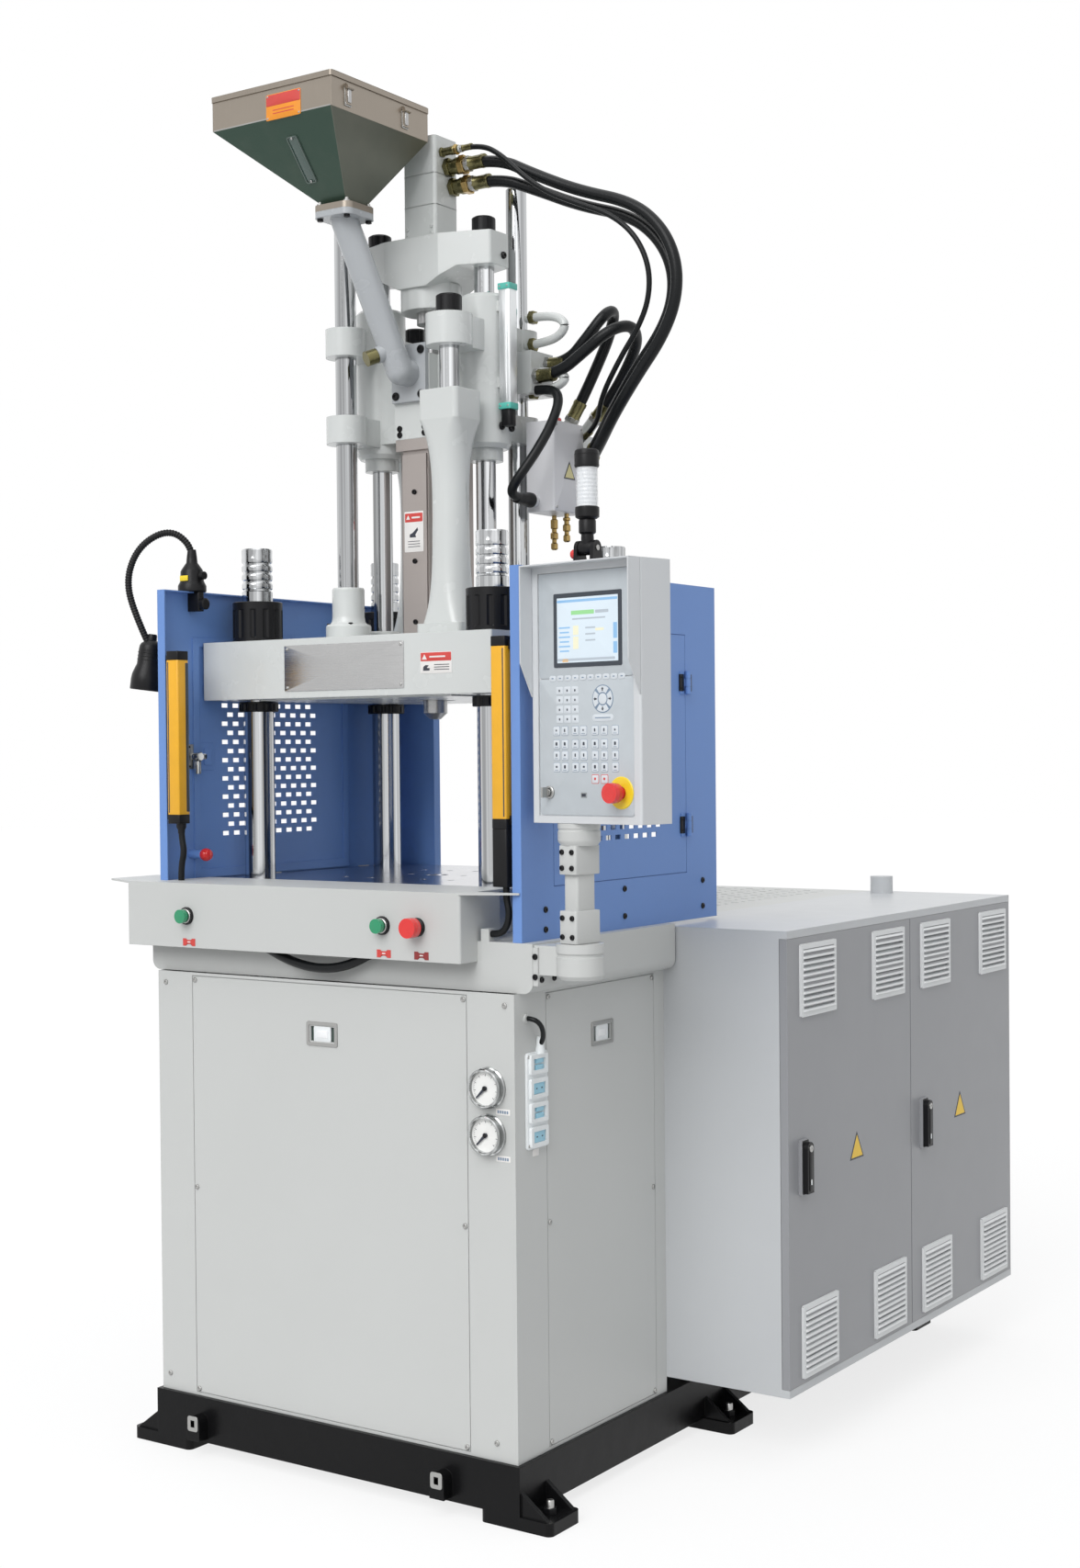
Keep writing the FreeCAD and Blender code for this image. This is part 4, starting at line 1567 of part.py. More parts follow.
# ---- side devices on the carriage ----------------------------------------
def position_transducer():
    x0 = MOULD_X + ROD_DX + CAST_R + 2
    y0 = MOULD_Y + TRANSDUCER_DY - TRANSDUCER_W / 2
    z0 = PLATEN_TOP + TRANSDUCER_Z0
    z1 = PLATEN_TOP + TRANSDUCER_Z1
    bar = block(x0, x0 + TRANSDUCER_W, y0, y0 + TRANSDUCER_W, z0, z1)
    bar = rounded(bar, 3)
    groove = block(x0 + TRANSDUCER_W / 2 - 4, x0 + TRANSDUCER_W / 2 + 4, y0 - 1, y0 + 3, z0 + 14, z1 - 14)
    caps = [block(x0 - 1, x0 + TRANSDUCER_W + 2, y0 - 2, y0 + TRANSDUCER_W + 2, z, z + 14) for z in (z0, z1 - 14)]
    plug = block(x0 + 2, x0 + TRANSDUCER_W - 2, y0 + 2, y0 + TRANSDUCER_W - 2, z0 - 36, z0)
    return joined(cut(bar, groove), *caps, plug)


def junction_box():
    z0 = PLATEN_TOP + BOX_Z0
    z1 = PLATEN_TOP + BOX_Z1
    box = rounded(block(BOX_X0, BOX_X1, BOX_Y0, BOX_Y1, z0, z1), 3)
    knob = rod((BOX_X0 + BOX_X1) / 2, (BOX_Y0 + BOX_Y1) / 2, z1, z1 + 14, 14)
    end_x, end_y, end_z = CONDUIT_ROUTE[-1]
    gland = rod_y(end_y, BOX_Y0 + 1, end_x, end_z, CONDUIT_D / 2 + 3)
    return joined(box, knob, gland)


# ---- hoses and cables ----------------------------------------------------
def motor_hoses():
    return Part.makeCompound([cord(UPPER_ROUTE, HOSE_D, "upper motor hose"),
                              cord(LOWER_ROUTE, HOSE_D, "lower motor hose"),
                              cord(THIN_ROUTE, THIN_D, "thin motor hose")])


def carriage_hoses():
    return Part.makeCompound([cord(LOOP_FRONT, HOSE_D, "front loop"), cord(LOOP_BACK, HOSE_D, "back loop"),
                              cord(CONDUIT_ROUTE, CONDUIT_D, "conduit")])


def cabinet_cables():
    return Part.makeCompound([cord(APRON_ROUTE, CABLE_D, "apron cable"),
                              cord(STRIP_CABLE_ROUTE, STRIP_CABLE_D, "strip cable"),
                              cord(LEFT_CABLE_ROUTE, CURTAIN_CABLE_D, "left curtain cable"),
                              cord(RIGHT_CABLE_ROUTE, CURTAIN_CABLE_D, "right curtain cable")])


# ---- the sub-parts, one file each ----------------------------------------
NODES = {
    "base_frame": base_frame(),
    "cabinet_frame": cabinet_frame(),
    "cover_panels": cover_panels(),
    "bed_beam": bed_beam(),
    "fixed_table": fixed_table(),
    "apron": apron(),
    "left_guard": left_guard(),
    "right_guard": right_guard(),
    "left_guard_door": left_guard_door(),
    "right_guard_door": right_guard_door(),
    "light_curtains": light_curtains(),
    "electrical_cabinet": electrical_cabinet(),
    "electrical_door_front": electrical_door(True),
    "electrical_door_rear": electrical_door(False),
    "door_handle_front": door_handle(True),
    "door_handle_rear": door_handle(False),
    "pressure_gauges": pressure_gauges(),
    "gauge_needle_upper": gauge_needle(GAUGE_HIGH_Z),
    "gauge_needle_lower": gauge_needle(GAUGE_LOW_Z),
    "socket_strip": socket_strip(),
    "start_button_left": push_button(BUTTON_LEFT_X, 15, 10),
    "start_button_right": push_button(BUTTON_RIGHT_X, 15, 10),
    "apron_stop_button": push_button(APRON_STOP_X, 20, 22),
    "hmi_bracket": hmi_bracket(),
    "hmi_arm": hmi_arm(),
    "hmi_housing": hmi_housing(),
    "hmi_screen": hmi_screen(),
    "hmi_keypad": hmi_keypad(),
    "hmi_stop_button": hmi_stop_button(),
    "hmi_key_switch": hmi_key_switch(),
    "signal_lamp_base": signal_lamp_base(),
    "signal_lamp": signal_lamp(),
    "work_lamp": work_lamp(),
    "work_lamp_dial": work_lamp_dial(),
    "clamp_cylinder": clamp_cylinder(),
    "lower_crosshead": lower_crosshead(),
    "tie_bars": tie_bars(),
    "tie_bar_nuts": tie_bar_nuts(),
    "upper_platen": upper_platen(),
    "guide_rods": guide_rods(),
    "carriage_cylinders": carriage_cylinders(),
    "ejector_rod": ejector_rod(),
    "injection_carriage": injection_carriage(),
    "carriage_rods": carriage_rods(),
    "barrel": barrel(),
    "nozzle": nozzle(),
    "barrel_cover": barrel_cover(),
    "feed_pipe": feed_pipe(),
    "feed_gate": feed_gate(),
    "hopper": hopper(),
    "hopper_lid": hopper_lid(),
    "position_transducer": position_transducer(),
    "junction_box": junction_box(),
    "thrust_beam": thrust_beam(),
    "injection_rods": injection_rods(),
    "hydraulic_motor": hydraulic_motor(),
    "screw": screw(),
    "motor_hoses": motor_hoses(),
    "carriage_hoses": carriage_hoses(),
    "cabinet_cables": cabinet_cables(),
}

os.makedirs("parts", exist_ok=True)
for name, shape in NODES.items():
    if not shape.isValid():
        print("not valid:", name)
    shape.exportStep("parts/" + name + ".step")
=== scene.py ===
"""Vertical injection moulding machine: the looks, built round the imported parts."""

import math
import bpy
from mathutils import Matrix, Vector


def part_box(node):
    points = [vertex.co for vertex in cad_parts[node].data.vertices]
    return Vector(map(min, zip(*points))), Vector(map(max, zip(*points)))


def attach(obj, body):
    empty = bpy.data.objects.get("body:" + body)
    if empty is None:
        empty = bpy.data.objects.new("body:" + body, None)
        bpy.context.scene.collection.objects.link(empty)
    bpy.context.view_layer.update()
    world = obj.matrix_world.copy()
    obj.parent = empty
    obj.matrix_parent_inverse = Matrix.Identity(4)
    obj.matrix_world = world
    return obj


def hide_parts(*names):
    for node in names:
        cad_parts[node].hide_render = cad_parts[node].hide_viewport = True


bl_info = {
    "name": "Vertical Moulding Machine",
    "version": (1, 0, 0),
    "blender": (4, 5, 0),
    "location": "3D View > Sidebar > Machine",
    "description": "Finishes, hoses, fittings and controls of a vertical injection moulding machine",
    "category": "Add Mesh",
}

import bpy
import numpy as np
from bpy.props import FloatProperty, FloatVectorProperty, IntProperty, PointerProperty
from bpy.types import Operator, Panel, PropertyGroup
from mathutils import Matrix, Vector

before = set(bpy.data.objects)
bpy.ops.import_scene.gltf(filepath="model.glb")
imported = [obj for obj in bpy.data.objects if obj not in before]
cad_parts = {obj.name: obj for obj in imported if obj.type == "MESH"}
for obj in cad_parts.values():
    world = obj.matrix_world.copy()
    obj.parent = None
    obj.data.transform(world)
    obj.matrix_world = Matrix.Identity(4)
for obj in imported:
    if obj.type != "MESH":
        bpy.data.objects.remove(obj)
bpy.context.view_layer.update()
MM = 0.001
FRONT, BACK, LEFT, RIGHT, UP, DOWN = (0, -1, 0), (0, 1, 0), (-1, 0, 0), (1, 0, 0), (0, 0, 1), (0, 0, -1)


def span(node):
    """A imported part's lowest and highest corners in millimetres."""
    low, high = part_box(node)
    return np.round(np.array(low) / MM, 2), np.round(np.array(high) / MM, 2)


# ---- planes and axes that several pieces share, in millimetres --------------
# Those of the case, platen, tie bars, hopper and doors come from the frame; the others are the part's own.
(CASE_LEFT, CASE_FRONT, _), (CASE_RIGHT, CASE_BACK, _) = span("cover_panels")
(_, PLATEN_FRONT, PLATEN_FOOT), (_, _, PLATEN_TOP) = span("upper_platen")
(_, _, BAR_FOOT), (_, _, BAR_TOP) = span("tie_bars")
HOPPER_FRONT = span("hopper")[0][1]
DOOR_FRAME = span("electrical_cabinet")[1][0]
GUARD_OUT, GUARD_IN = 489.0, 486.0
APRON_FACE, APRON_BACK, BUTTON_Z = -948.0, -918.0, 1183.0
COVER_FACE = -482.0
CURTAIN_Y = -879.0
POST_AXIS, PANEL_TURN = (606.0, -858.0), -10.0
SIGNAL_AXIS, LAMP_FOOT = (484.0, -629.0), (-480.0, -785.0)
BUTTON_LEFT, BUTTON_RIGHT, STOP_X = -352.7, 187.0, 276.0


# ---- shader sums -----------------------------------------------------------
def summed(operation, swapped=False):
    """A method that puts a Math node between a socket and a number or another socket."""
    def method(value, other):
        """The node's result for these two, or for these two the other way round."""
        first, second = (other, value) if swapped else (value, other)
        return value.finish.node("ShaderNodeMath", {"operation": operation}, {0: first, 1: second})
    return method


class Value:
    """A shader socket that takes part in Python sums, each of which adds its Math node."""

    def __init__(self, finish, socket):
        self.finish = finish
        self.socket = socket

    __add__ = __radd__ = summed("ADD")
    __mul__ = __rmul__ = summed("MULTIPLY")
    __sub__, __rsub__ = summed("SUBTRACT"), summed("SUBTRACT", True)
    __truediv__ = summed("DIVIDE")
    __lt__, __gt__ = summed("LESS_THAN"), summed("GREATER_THAN")

    def clipped(self):
        """The value held between nought and one."""
        return self.finish.node("ShaderNodeMath", {"operation": "ADD", "use_clamp": True}, {0: self, 1: 0.0})


class Finish:
    """One material in the making: its tree, its surface shader and one way to add any node."""

    def __init__(self, name, colour=(0.8, 0.8, 0.8), **numbers):
        self.material = bpy.data.materials.new(name)
        self.material.use_nodes = True
        self.tree = self.material.node_tree
        self.shader = self.tree.nodes["Principled BSDF"]
        self.colour = tuple(colour[:3]) + (1.0,)
        self.put("Base Color", self.colour)
        for key, value in numbers.items():
            self.put(key.replace("_", " ").title().replace("Ior", "IOR"), value)

    def put(self, key, value):
        """A number, a colour or a node's result given to one input of the surface shader."""
        socket = self.shader.inputs[key]
        if isinstance(value, Value):
            self.tree.links.new(value.socket, socket)
        else:
            socket.default_value = value

    def node(self, kind, settings=None, sockets=None, out=0):
        """A new node with its settings and inputs filled in. A list of stops goes to its colour ramp."""
        new = self.tree.nodes.new(kind)
        for key, value in (settings or {}).items():
            if key == "stops":
                ramp = new.color_ramp
                for index, (place, shade) in enumerate(value):
                    stop = ramp.elements[index] if index < 2 else ramp.elements.new(place)
                    stop.position = place
                    stop.color = tuple(shade) + (1.0,) if len(shade) == 3 else shade
            else:
                setattr(new, key, value)
        for key, value in (sockets or {}).items():
            if isinstance(value, Value):
                self.tree.links.new(value.socket, new.inputs[key])
            else:
                new.inputs[key].default_value = value
        return Value(self, new.outputs[out])

    def place(self, stretch=(1.0, 1.0, 1.0)):
        """Object coordinates, stretched along each axis."""
        here = self.node("ShaderNodeTexCoord", {}, {}, "Object")
        return self.node("ShaderNodeMapping", {}, {"Vector": here, "Scale": stretch})

    def noise(self, scale, detail=2.0, stretch=(1.0, 1.0, 1.0), rough=0.5):
        """Noise of this scale over the stretched object coordinates."""
        return self.node("ShaderNodeTexNoise", {}, {"Vector": self.place(stretch), "Scale": scale,
                                                    "Detail": detail, "Roughness": rough})

    def mix(self, mask, first, second, blend="MIX"):
        """The first colour where the mask is nought and the second where it is one."""
        return self.node("ShaderNodeMix", {"data_type": "RGBA", "blend_type": blend},
                         {0: mask, 6: first, 7: second}, 2)

    def shades(self, mask, low, high):
        """The colour made a share darker or lighter along a mask."""
        dark = tuple(c * low for c in self.colour[:3]) + (1.0,)
        light = tuple(min(c * high, 1.0) for c in self.colour[:3]) + (1.0,)
        return self.mix(mask, dark, light)

    def relief(self, height, depth, edge=0.0, strength=1.0):
        """A bump of this height, over edges that look rounded by `edge`."""
        sockets = {"Height": height, "Distance": depth, "Strength": strength}
        if edge:
            sockets["Normal"] = self.node("ShaderNodeBevel", {"samples": 4}, {"Radius": edge})
        self.put("Normal", self.node("ShaderNodeBump", {}, sockets))
        return self


def paint(name, colour, rough=0.38, peel=0.00012, wave=0.0, edge=0.0015, coat=0.0, grime=0.04, **numbers):
    """Sprayed paint: faint clouding, orange peel and, on a casting, slow waves in the surface."""
    made = Finish(name, colour, roughness=rough, coat_weight=coat, coat_roughness=0.12, **numbers)
    cloud = made.noise(3.5, 4.0)
    made.put("Base Color", made.shades(cloud, 1.0 - grime, 1.0 + grime))
    made.put("Roughness", rough - 0.05 + 0.10 * made.noise(17.0, 3.0))
    height = made.noise(650.0, 2.0)
    if wave:
        height = height + wave * made.noise(22.0, 2.0)
    return made.relief(height, peel, edge).material


def textured_paint(name, colour, rough=0.5):
    """Powder coat with a fine hammered grain."""
    made = Finish(name, colour, roughness=rough)
    grain = made.noise(420.0, 3.0, rough=0.7)
    made.put("Base Color", made.shades(0.5 * grain + 0.5 * made.noise(2.5, 3.0), 0.90, 1.09))
    made.put("Roughness", rough - 0.08 + 0.16 * grain)
    return made.relief(grain, 0.0004, 0.0015).material


def brushed(name, colour, rough=0.3, along="Z", stain=0.06, edge=0.001):
    """Brushed metal: long scratches along one axis, with faint stains."""
    fine, slow = 1400.0, 12.0
    stretch = {"X": (slow, fine, fine), "Y": (fine, slow, fine), "Z": (fine, fine, slow)}[along]
    made = Finish(name, colour, metallic=1.0, roughness=rough)
    scratch = made.noise(1.0, 3.0, stretch, 0.7)
    stains = made.noise(5.0, 5.0, rough=0.65)
    made.put("Roughness", rough - 0.10 + 0.16 * scratch + 0.10 * stains)
    shade = made.shades(0.5 * scratch + 0.5 * stains, 1.0 - 2 * stain, 1.0 + stain)
    made.put("Base Color", shade)
    return made.relief(scratch, 0.00006, edge).material


def polished(name, colour, rough=0.09, rings=True):
    """Hard chrome on a ground rod: faint rings round it, and long light and dark streaks of painted
    reflection.
    """
    made = Finish(name, colour, metallic=1.0, roughness=rough)
    marks = made.noise(1.0, 2.0, (3.0, 3.0, 900.0) if rings else (300.0, 3.0, 3.0))
    made.put("Roughness", rough - 0.03 + 0.07 * marks)
    # painted reflection: long light and dark streaks in the base colour stand in for the surroundings
    # mirrored in the chrome
    painted_reflection_streaks = made.noise(1.0, 2.0, (60.0, 60.0, 0.25), 0.6)
    made.put("Base Color", made.shades(((painted_reflection_streaks - 0.30) * 2.4).clipped(), 0.28, 1.75))
    return made.relief(marks, 0.00001).material


def plain(name, colour, rough=0.45, grain=0.00008, scale=900.0, metallic=0.0, **numbers):
    """Moulded plastic, rubber or a small machined metal: a fine grain and a little clouding."""
    made = Finish(name, colour, roughness=rough, metallic=metallic, **numbers)
    fine = made.noise(scale, 2.0)
    made.put("Base Color", made.shades(made.noise(30.0, 3.0), 0.93, 1.07))
    made.put("Roughness", rough - 0.05 + 0.10 * fine)
    return made.relief(fine, grain).material


def glass(name, colour, rough=0.05, alpha=0.25):
    """A clear cover that stays light to look through."""
    made = Finish(name, colour, roughness=rough, alpha=alpha, ior=1.45)
    made.put("Roughness", rough + 0.05 * made.noise(40.0))
    return made.material


def glowing(name, colour, strength=0.7):
    """A lit display: its own colour, a little uneven, seen through a gloss film."""
    made = Finish(name, tuple(c * 0.4 for c in colour), roughness=0.2, emission_strength=strength)
    made.put("Emission Color", made.mix(made.noise(14.0), tuple(c * 0.9 for c in colour) + (1.0,),
                                        tuple(colour) + (1.0,)))
    return made.material


def two_tone(name, colour):
    """Bare brushed steel above, and a cone lacquered green, the green giving way to steel on its right-hand
    face.
    """
    made = Finish(name, colour, metallic=1.0, roughness=0.30)
    scratch = made.noise(1.0, 3.0, (1400.0, 1400.0, 12.0), 0.7)
    stains = made.noise(5.0, 5.0, rough=0.65)
    here = made.node("ShaderNodeTexCoord", {}, {}, "Object")
    x, z = (made.node("ShaderNodeSeparateXYZ", {}, {0: here}, axis) for axis in "XZ")
    foot, tall, middle = 2.746, 0.167, 0.144
    rise = (z - foot) / tall
    # the cone's right-hand face, beyond a slanting plane, turns partly from green to steel
    right = (x + middle + 0.064 * rise) > (0.0310 + 0.137 * rise)
    cone = (z > foot + 0.001) * (z < foot + tall - 0.0005)
    steel_right_face = (right * (0.35 + 0.9 * stains)).clipped()
    green = (cone * (1.0 - 0.45 * steel_right_face) * (0.84 + 0.3 * stains)).clipped()
    shade = made.shades(0.5 * scratch + 0.5 * stains, 0.80, 1.10)
    made.put("Base Color", made.mix(green, shade, (0.026, 0.062, 0.042, 1.0)))
    made.put("Metallic", 1.0 - 0.75 * green)
    made.put("Roughness", 0.22 + 0.16 * scratch + 0.10 * stains)
    return made.relief(scratch, 0.00006, 0.0008).material


# Each finish: its maker, its colour or the name of the user's colour, then the maker's numbers.
RECIPES = {
    "sheet_paint": (paint, "sheet_paint", 0.42, {"grime": 0.025}),
    "cast_paint": (paint, "cast_paint", 0.26, 0.00022, 2.2, 0.003, 0.25),
    "guard_paint": (textured_paint, "guard_paint", 0.45),
    "base_enamel": (paint, "base_enamel", 0.24, 0.0003, 2.5, 0.002, 0.04, 0.25, {"specular_ior_level": 0.12}),
    "panel_paint": (paint, "panel_paint", 0.34, 0.0001, {"grime": 0.02}),
    "door_paint": (paint, "door_paint", 0.34, 0.0001, {"grime": 0.03}),
    "box_paint": (paint, (0.66, 0.66, 0.68), 0.36, 0.0001, {"grime": 0.02}),
    "pipe_paint": (paint, (0.43, 0.45, 0.47), 0.26, 0.00022, 2.2, 0.003, 0.25),
    "film_blue": (plain, "film_blue", 0.36, 0.00004),
    "ground_steel": (brushed, (0.55, 0.56, 0.60), 0.15, "X", 0.05),
    "machined_steel": (brushed, (0.46, 0.46, 0.46), 0.26, "X"),
    "hopper_steel": (brushed, (0.34, 0.30, 0.255), 0.30, "Z", 0.14),
    "plate_steel": (brushed, (0.43, 0.39, 0.37), 0.34, "X", 0.08),
    "chrome_rod": (polished, (0.50, 0.51, 0.52)),
    "zinc": (brushed, (0.42, 0.42, 0.41), 0.32, "Z"),
    "yellow_zinc": (plain, (0.17, 0.155, 0.075), 0.28, 0.00005, 500.0, 1.0),
    "brass": (plain, (0.40, 0.28, 0.11), 0.24, 0.00005, 500.0, 1.0),
    "black_oxide": (plain, (0.010, 0.010, 0.011), 0.34, 0.0001, 300.0, 0.2, {"specular_ior_level": 0.25}),
    "rubber": (plain, "hose_rubber", 0.33, 0.0002, 260.0, {"specular_ior_level": 0.22}),
    "black_plastic": (plain, (0.008, 0.008, 0.009), 0.36, {"specular_ior_level": 0.22}),
    "grey_plastic": (plain, (0.30, 0.32, 0.33), 0.4),
    "white_plastic": (plain, (0.80, 0.83, 0.84), 0.35, 0.00004),
    "key_white": (plain, (0.66, 0.70, 0.74), 0.40, 0.00003),
    "sky_plastic": (plain, (0.32, 0.60, 0.74), 0.35),
    "red_plastic": (plain, (0.72, 0.022, 0.02), 0.24, {"coat_weight": 0.4}),
    "green_plastic": (plain, (0.01, 0.27, 0.12), 0.22, {"coat_weight": 0.4}),
    "yellow_plastic": (plain, (0.88, 0.66, 0.03), 0.3),
    "curtain_yellow": (plain, (0.82, 0.42, 0.02), 0.32, 0.00005),
    "teal_plastic": (plain, (0.10, 0.50, 0.42), 0.35),
    "anodised": (brushed, (0.78, 0.80, 0.81), 0.36, "Z", 0.03),
    "red_film": (plain, (0.62, 0.06, 0.05), 0.4),
    "orange_film": (plain, (0.85, 0.30, 0.02), 0.4),
    "yellow_film": (plain, (0.85, 0.55, 0.03), 0.4),
    "pale_yellow": (plain, (0.66, 0.60, 0.30), 0.4),
    "white_film": (plain, (0.82, 0.80, 0.78), 0.4),
    "dial_white": (plain, (0.86, 0.86, 0.84), 0.5),
    "dark_print": (plain, (0.03, 0.035, 0.05), 0.5),
    "screen_rim": (plain, (0.035, 0.045, 0.06), 0.25),
    "screen_lit": (glowing, (0.70, 0.80, 0.88)),
    "screen_green": (glowing, (0.32, 0.70, 0.30)),
    "screen_cream": (glowing, (0.86, 0.84, 0.62)),
    "screen_blue": (glowing, (0.28, 0.52, 0.80)),
    "screen_grey": (glowing, (0.46, 0.52, 0.58)),
    "screen_orange": (glowing, (0.85, 0.50, 0.18)),
    "print_blue": (plain, (0.20, 0.27, 0.36), 0.45),
    "dark_red_film": (plain, (0.26, 0.03, 0.03), 0.4),
    "chrome_ring": (polished, (0.40, 0.41, 0.41), 0.12, False),
    "vent_white": (paint, (0.74, 0.755, 0.76), 0.35, 0.00008, {"grime": 0.02}),
    "name_steel": (brushed, (0.50, 0.50, 0.50), 0.22, "X", 0.12),
    "smoked": (plain, (0.055, 0.10, 0.085), 0.12, 0.00003, {"coat_weight": 0.6}),
    "dark_green": (plain, (0.035, 0.06, 0.05), 0.3),
    "pearl": (plain, (0.88, 0.89, 0.90), 0.25, {"coat_weight": 0.4}),
    "sight_rim": (plain, (0.10, 0.135, 0.12), 0.3),
    "lens": (glass, (0.95, 0.96, 0.97), 0.06, 0.30),
    "frosted": (plain, (0.78, 0.80, 0.82), 0.30, 0.0001, {"coat_weight": 0.5}),
    "housing_paint": (paint, (0.624, 0.642, 0.66), 0.36, 0.0001, {"grime": 0.015}),
    "hopper_two_tone": (two_tone, (0.34, 0.30, 0.255)),
}

SHOP = {}


def stock(name):
    """The finish of this name, made once and kept."""
    if name not in SHOP:
        maker, colour, *numbers = RECIPES[name]
        extras = numbers.pop() if numbers and isinstance(numbers[-1], dict) else {}
        if isinstance(colour, str):
            colour = getattr(bpy.context.scene.machine_finishes, colour)
        SHOP[name] = maker(name, colour, *numbers, **extras)
    return SHOP[name]


# ---- surfaces --------------------------------------------------------------
def unit(vector):
    """The vector, or each of the vectors, made one long."""
    vector = np.asarray(vector, float)
    return vector / np.linalg.norm(vector, axis=-1, keepdims=True)


def around(count):
    """Evenly spaced angles, once round: 2 pi i / n."""
    return np.arange(count) * 2 * np.pi / count


def aim(points, at, axis=UP):
    """Points drawn about Z, carried to a place with Z along an axis.

    X then points as near to RIGHT as it can, or to BACK where the axis itself is sideways.
    """
    z = unit(axis)
    across = RIGHT if abs(z[0]) < 0.9 else BACK
    y = unit(np.cross(z, across))
    x = np.cross(y, z)
    points = np.asarray(points, float)
    return np.asarray(at, float) + points[..., :1] * x + points[..., 1:2] * y + points[..., 2:3] * z


def swung(points, x, y, degrees):
    """Points turned about the vertical line at (x, y): x cos a - y sin a, x sin a + y cos a."""
    angle = math.radians(degrees)
    dx, dy = points[..., 0] - x, points[..., 1] - y
    return np.stack([x + dx * math.cos(angle) - dy * math.sin(angle),
                     y + dx * math.sin(angle) + dy * math.cos(angle), points[..., 2]], -1)


def lathe(profile, n=40):
    """(r cos t, r sin t, z): a half profile of (r, z) turned once round Z."""
    r, z = np.array(profile, float).T
    t = around(n)
    return np.stack([np.outer(np.cos(t), r), np.outer(np.sin(t), r), np.tile(z, (n, 1))], -1)


def slab(width, depth, height, corner=2.0, edge=0.8, steps=4, rim=3):
    """A rounded rectangle of (width, depth), drawn in by a quarter circle at both ends of its height."""
    edge = min(edge, height / 2.01, corner)
    a = np.linspace(0, np.pi / 2, steps)
    angle = np.concatenate([a, a + np.pi / 2, a + np.pi, a + 1.5 * np.pi])
    cx = np.repeat(np.array([1, -1, -1, 1]) * (width / 2 - corner), steps)
    cy = np.repeat(np.array([1, 1, -1, -1]) * (depth / 2 - corner), steps)
    b = np.linspace(0, np.pi / 2, rim)
    inset = np.concatenate([edge * (1 - np.sin(b)), edge * (1 - np.cos(b))])
    z = np.concatenate([edge * (1 - np.cos(b)), height - edge * (1 - np.sin(b))])
    r = np.maximum(corner - inset, 0.01)
    return np.stack([cx[:, None] + np.cos(angle)[:, None] * r, cy[:, None] + np.sin(angle)[:, None] * r,
                     np.tile(z, (len(angle), 1))], -1)


def mark(width, height, rise=0.3, corner=0.8):
    """A small printed field: a slab with a sharp edge and few points."""
    return slab(width, height, rise, corner, 0.1, 2, 2)


def rod(radius, low, high):
    """A plain round bar: (r cos t, r sin t) at its two heights."""
    return lathe([(radius, low), (radius, high)], 56)


def slotted(profile, cut, dip):
    """A turned shape whose radius, on the rows marked in `cut`, shrinks to the share dip(t) round it."""
    r, z = np.array(profile, float).T
    t = around(len(dip))
    reach = r * np.where(np.array(cut) == 1, dip[:, None], 1.0)
    return np.stack([np.cos(t)[:, None] * reach, np.sin(t)[:, None] * reach, np.tile(z, (len(t), 1))], -1)


def prism(outline, height, edge=0.5):
    """An outline of (x, y) points raised to a height, its ends drawn a little towards its middle."""
    outline = np.array(outline, float)
    middle = outline.mean(0)
    reach = np.linalg.norm(outline - middle, axis=1).mean()
    keep = np.array([1 - edge / reach, 1, 1, 1 - edge / reach])
    z = np.array([0, edge, height - edge, height])
    flat = middle + (outline - middle)[:, None, :] * keep[None, :, None]
    return np.concatenate([flat, np.tile(z, (len(outline), 1))[..., None]], -1)


def bowed(points, n=40):
    """A smooth line that starts and ends at the end points: a uniform quadratic B-spline."""
    knots = np.array(points, float)
    mids = np.concatenate([[knots[0]], (knots[1:-2] + knots[2:-1]) / 2, [knots[-1]]])
    s = np.linspace(0, len(mids) - 1, n)
    k = np.minimum(s.astype(int), len(mids) - 2)
    f = (s - k)[:, None]
    return (1 - f) ** 2 * mids[k] + 2 * f * (1 - f) * knots[k + 1] + f ** 2 * mids[k + 1]


def tube(path, radius, n=16, up=(0, 0, 1)):
    """A circle carried along a line: p + r (cos t side + sin t over)."""
    path = np.asarray(path, float)
    along = unit(np.gradient(path, axis=0))
    side = unit(np.cross(along, up))
    over = np.cross(side, along)
    t = around(n)[:, None, None]
    r = np.broadcast_to(radius, (len(path),))[None, :, None]
    return path[None] + r * (np.cos(t) * side[None] + np.sin(t) * over[None])


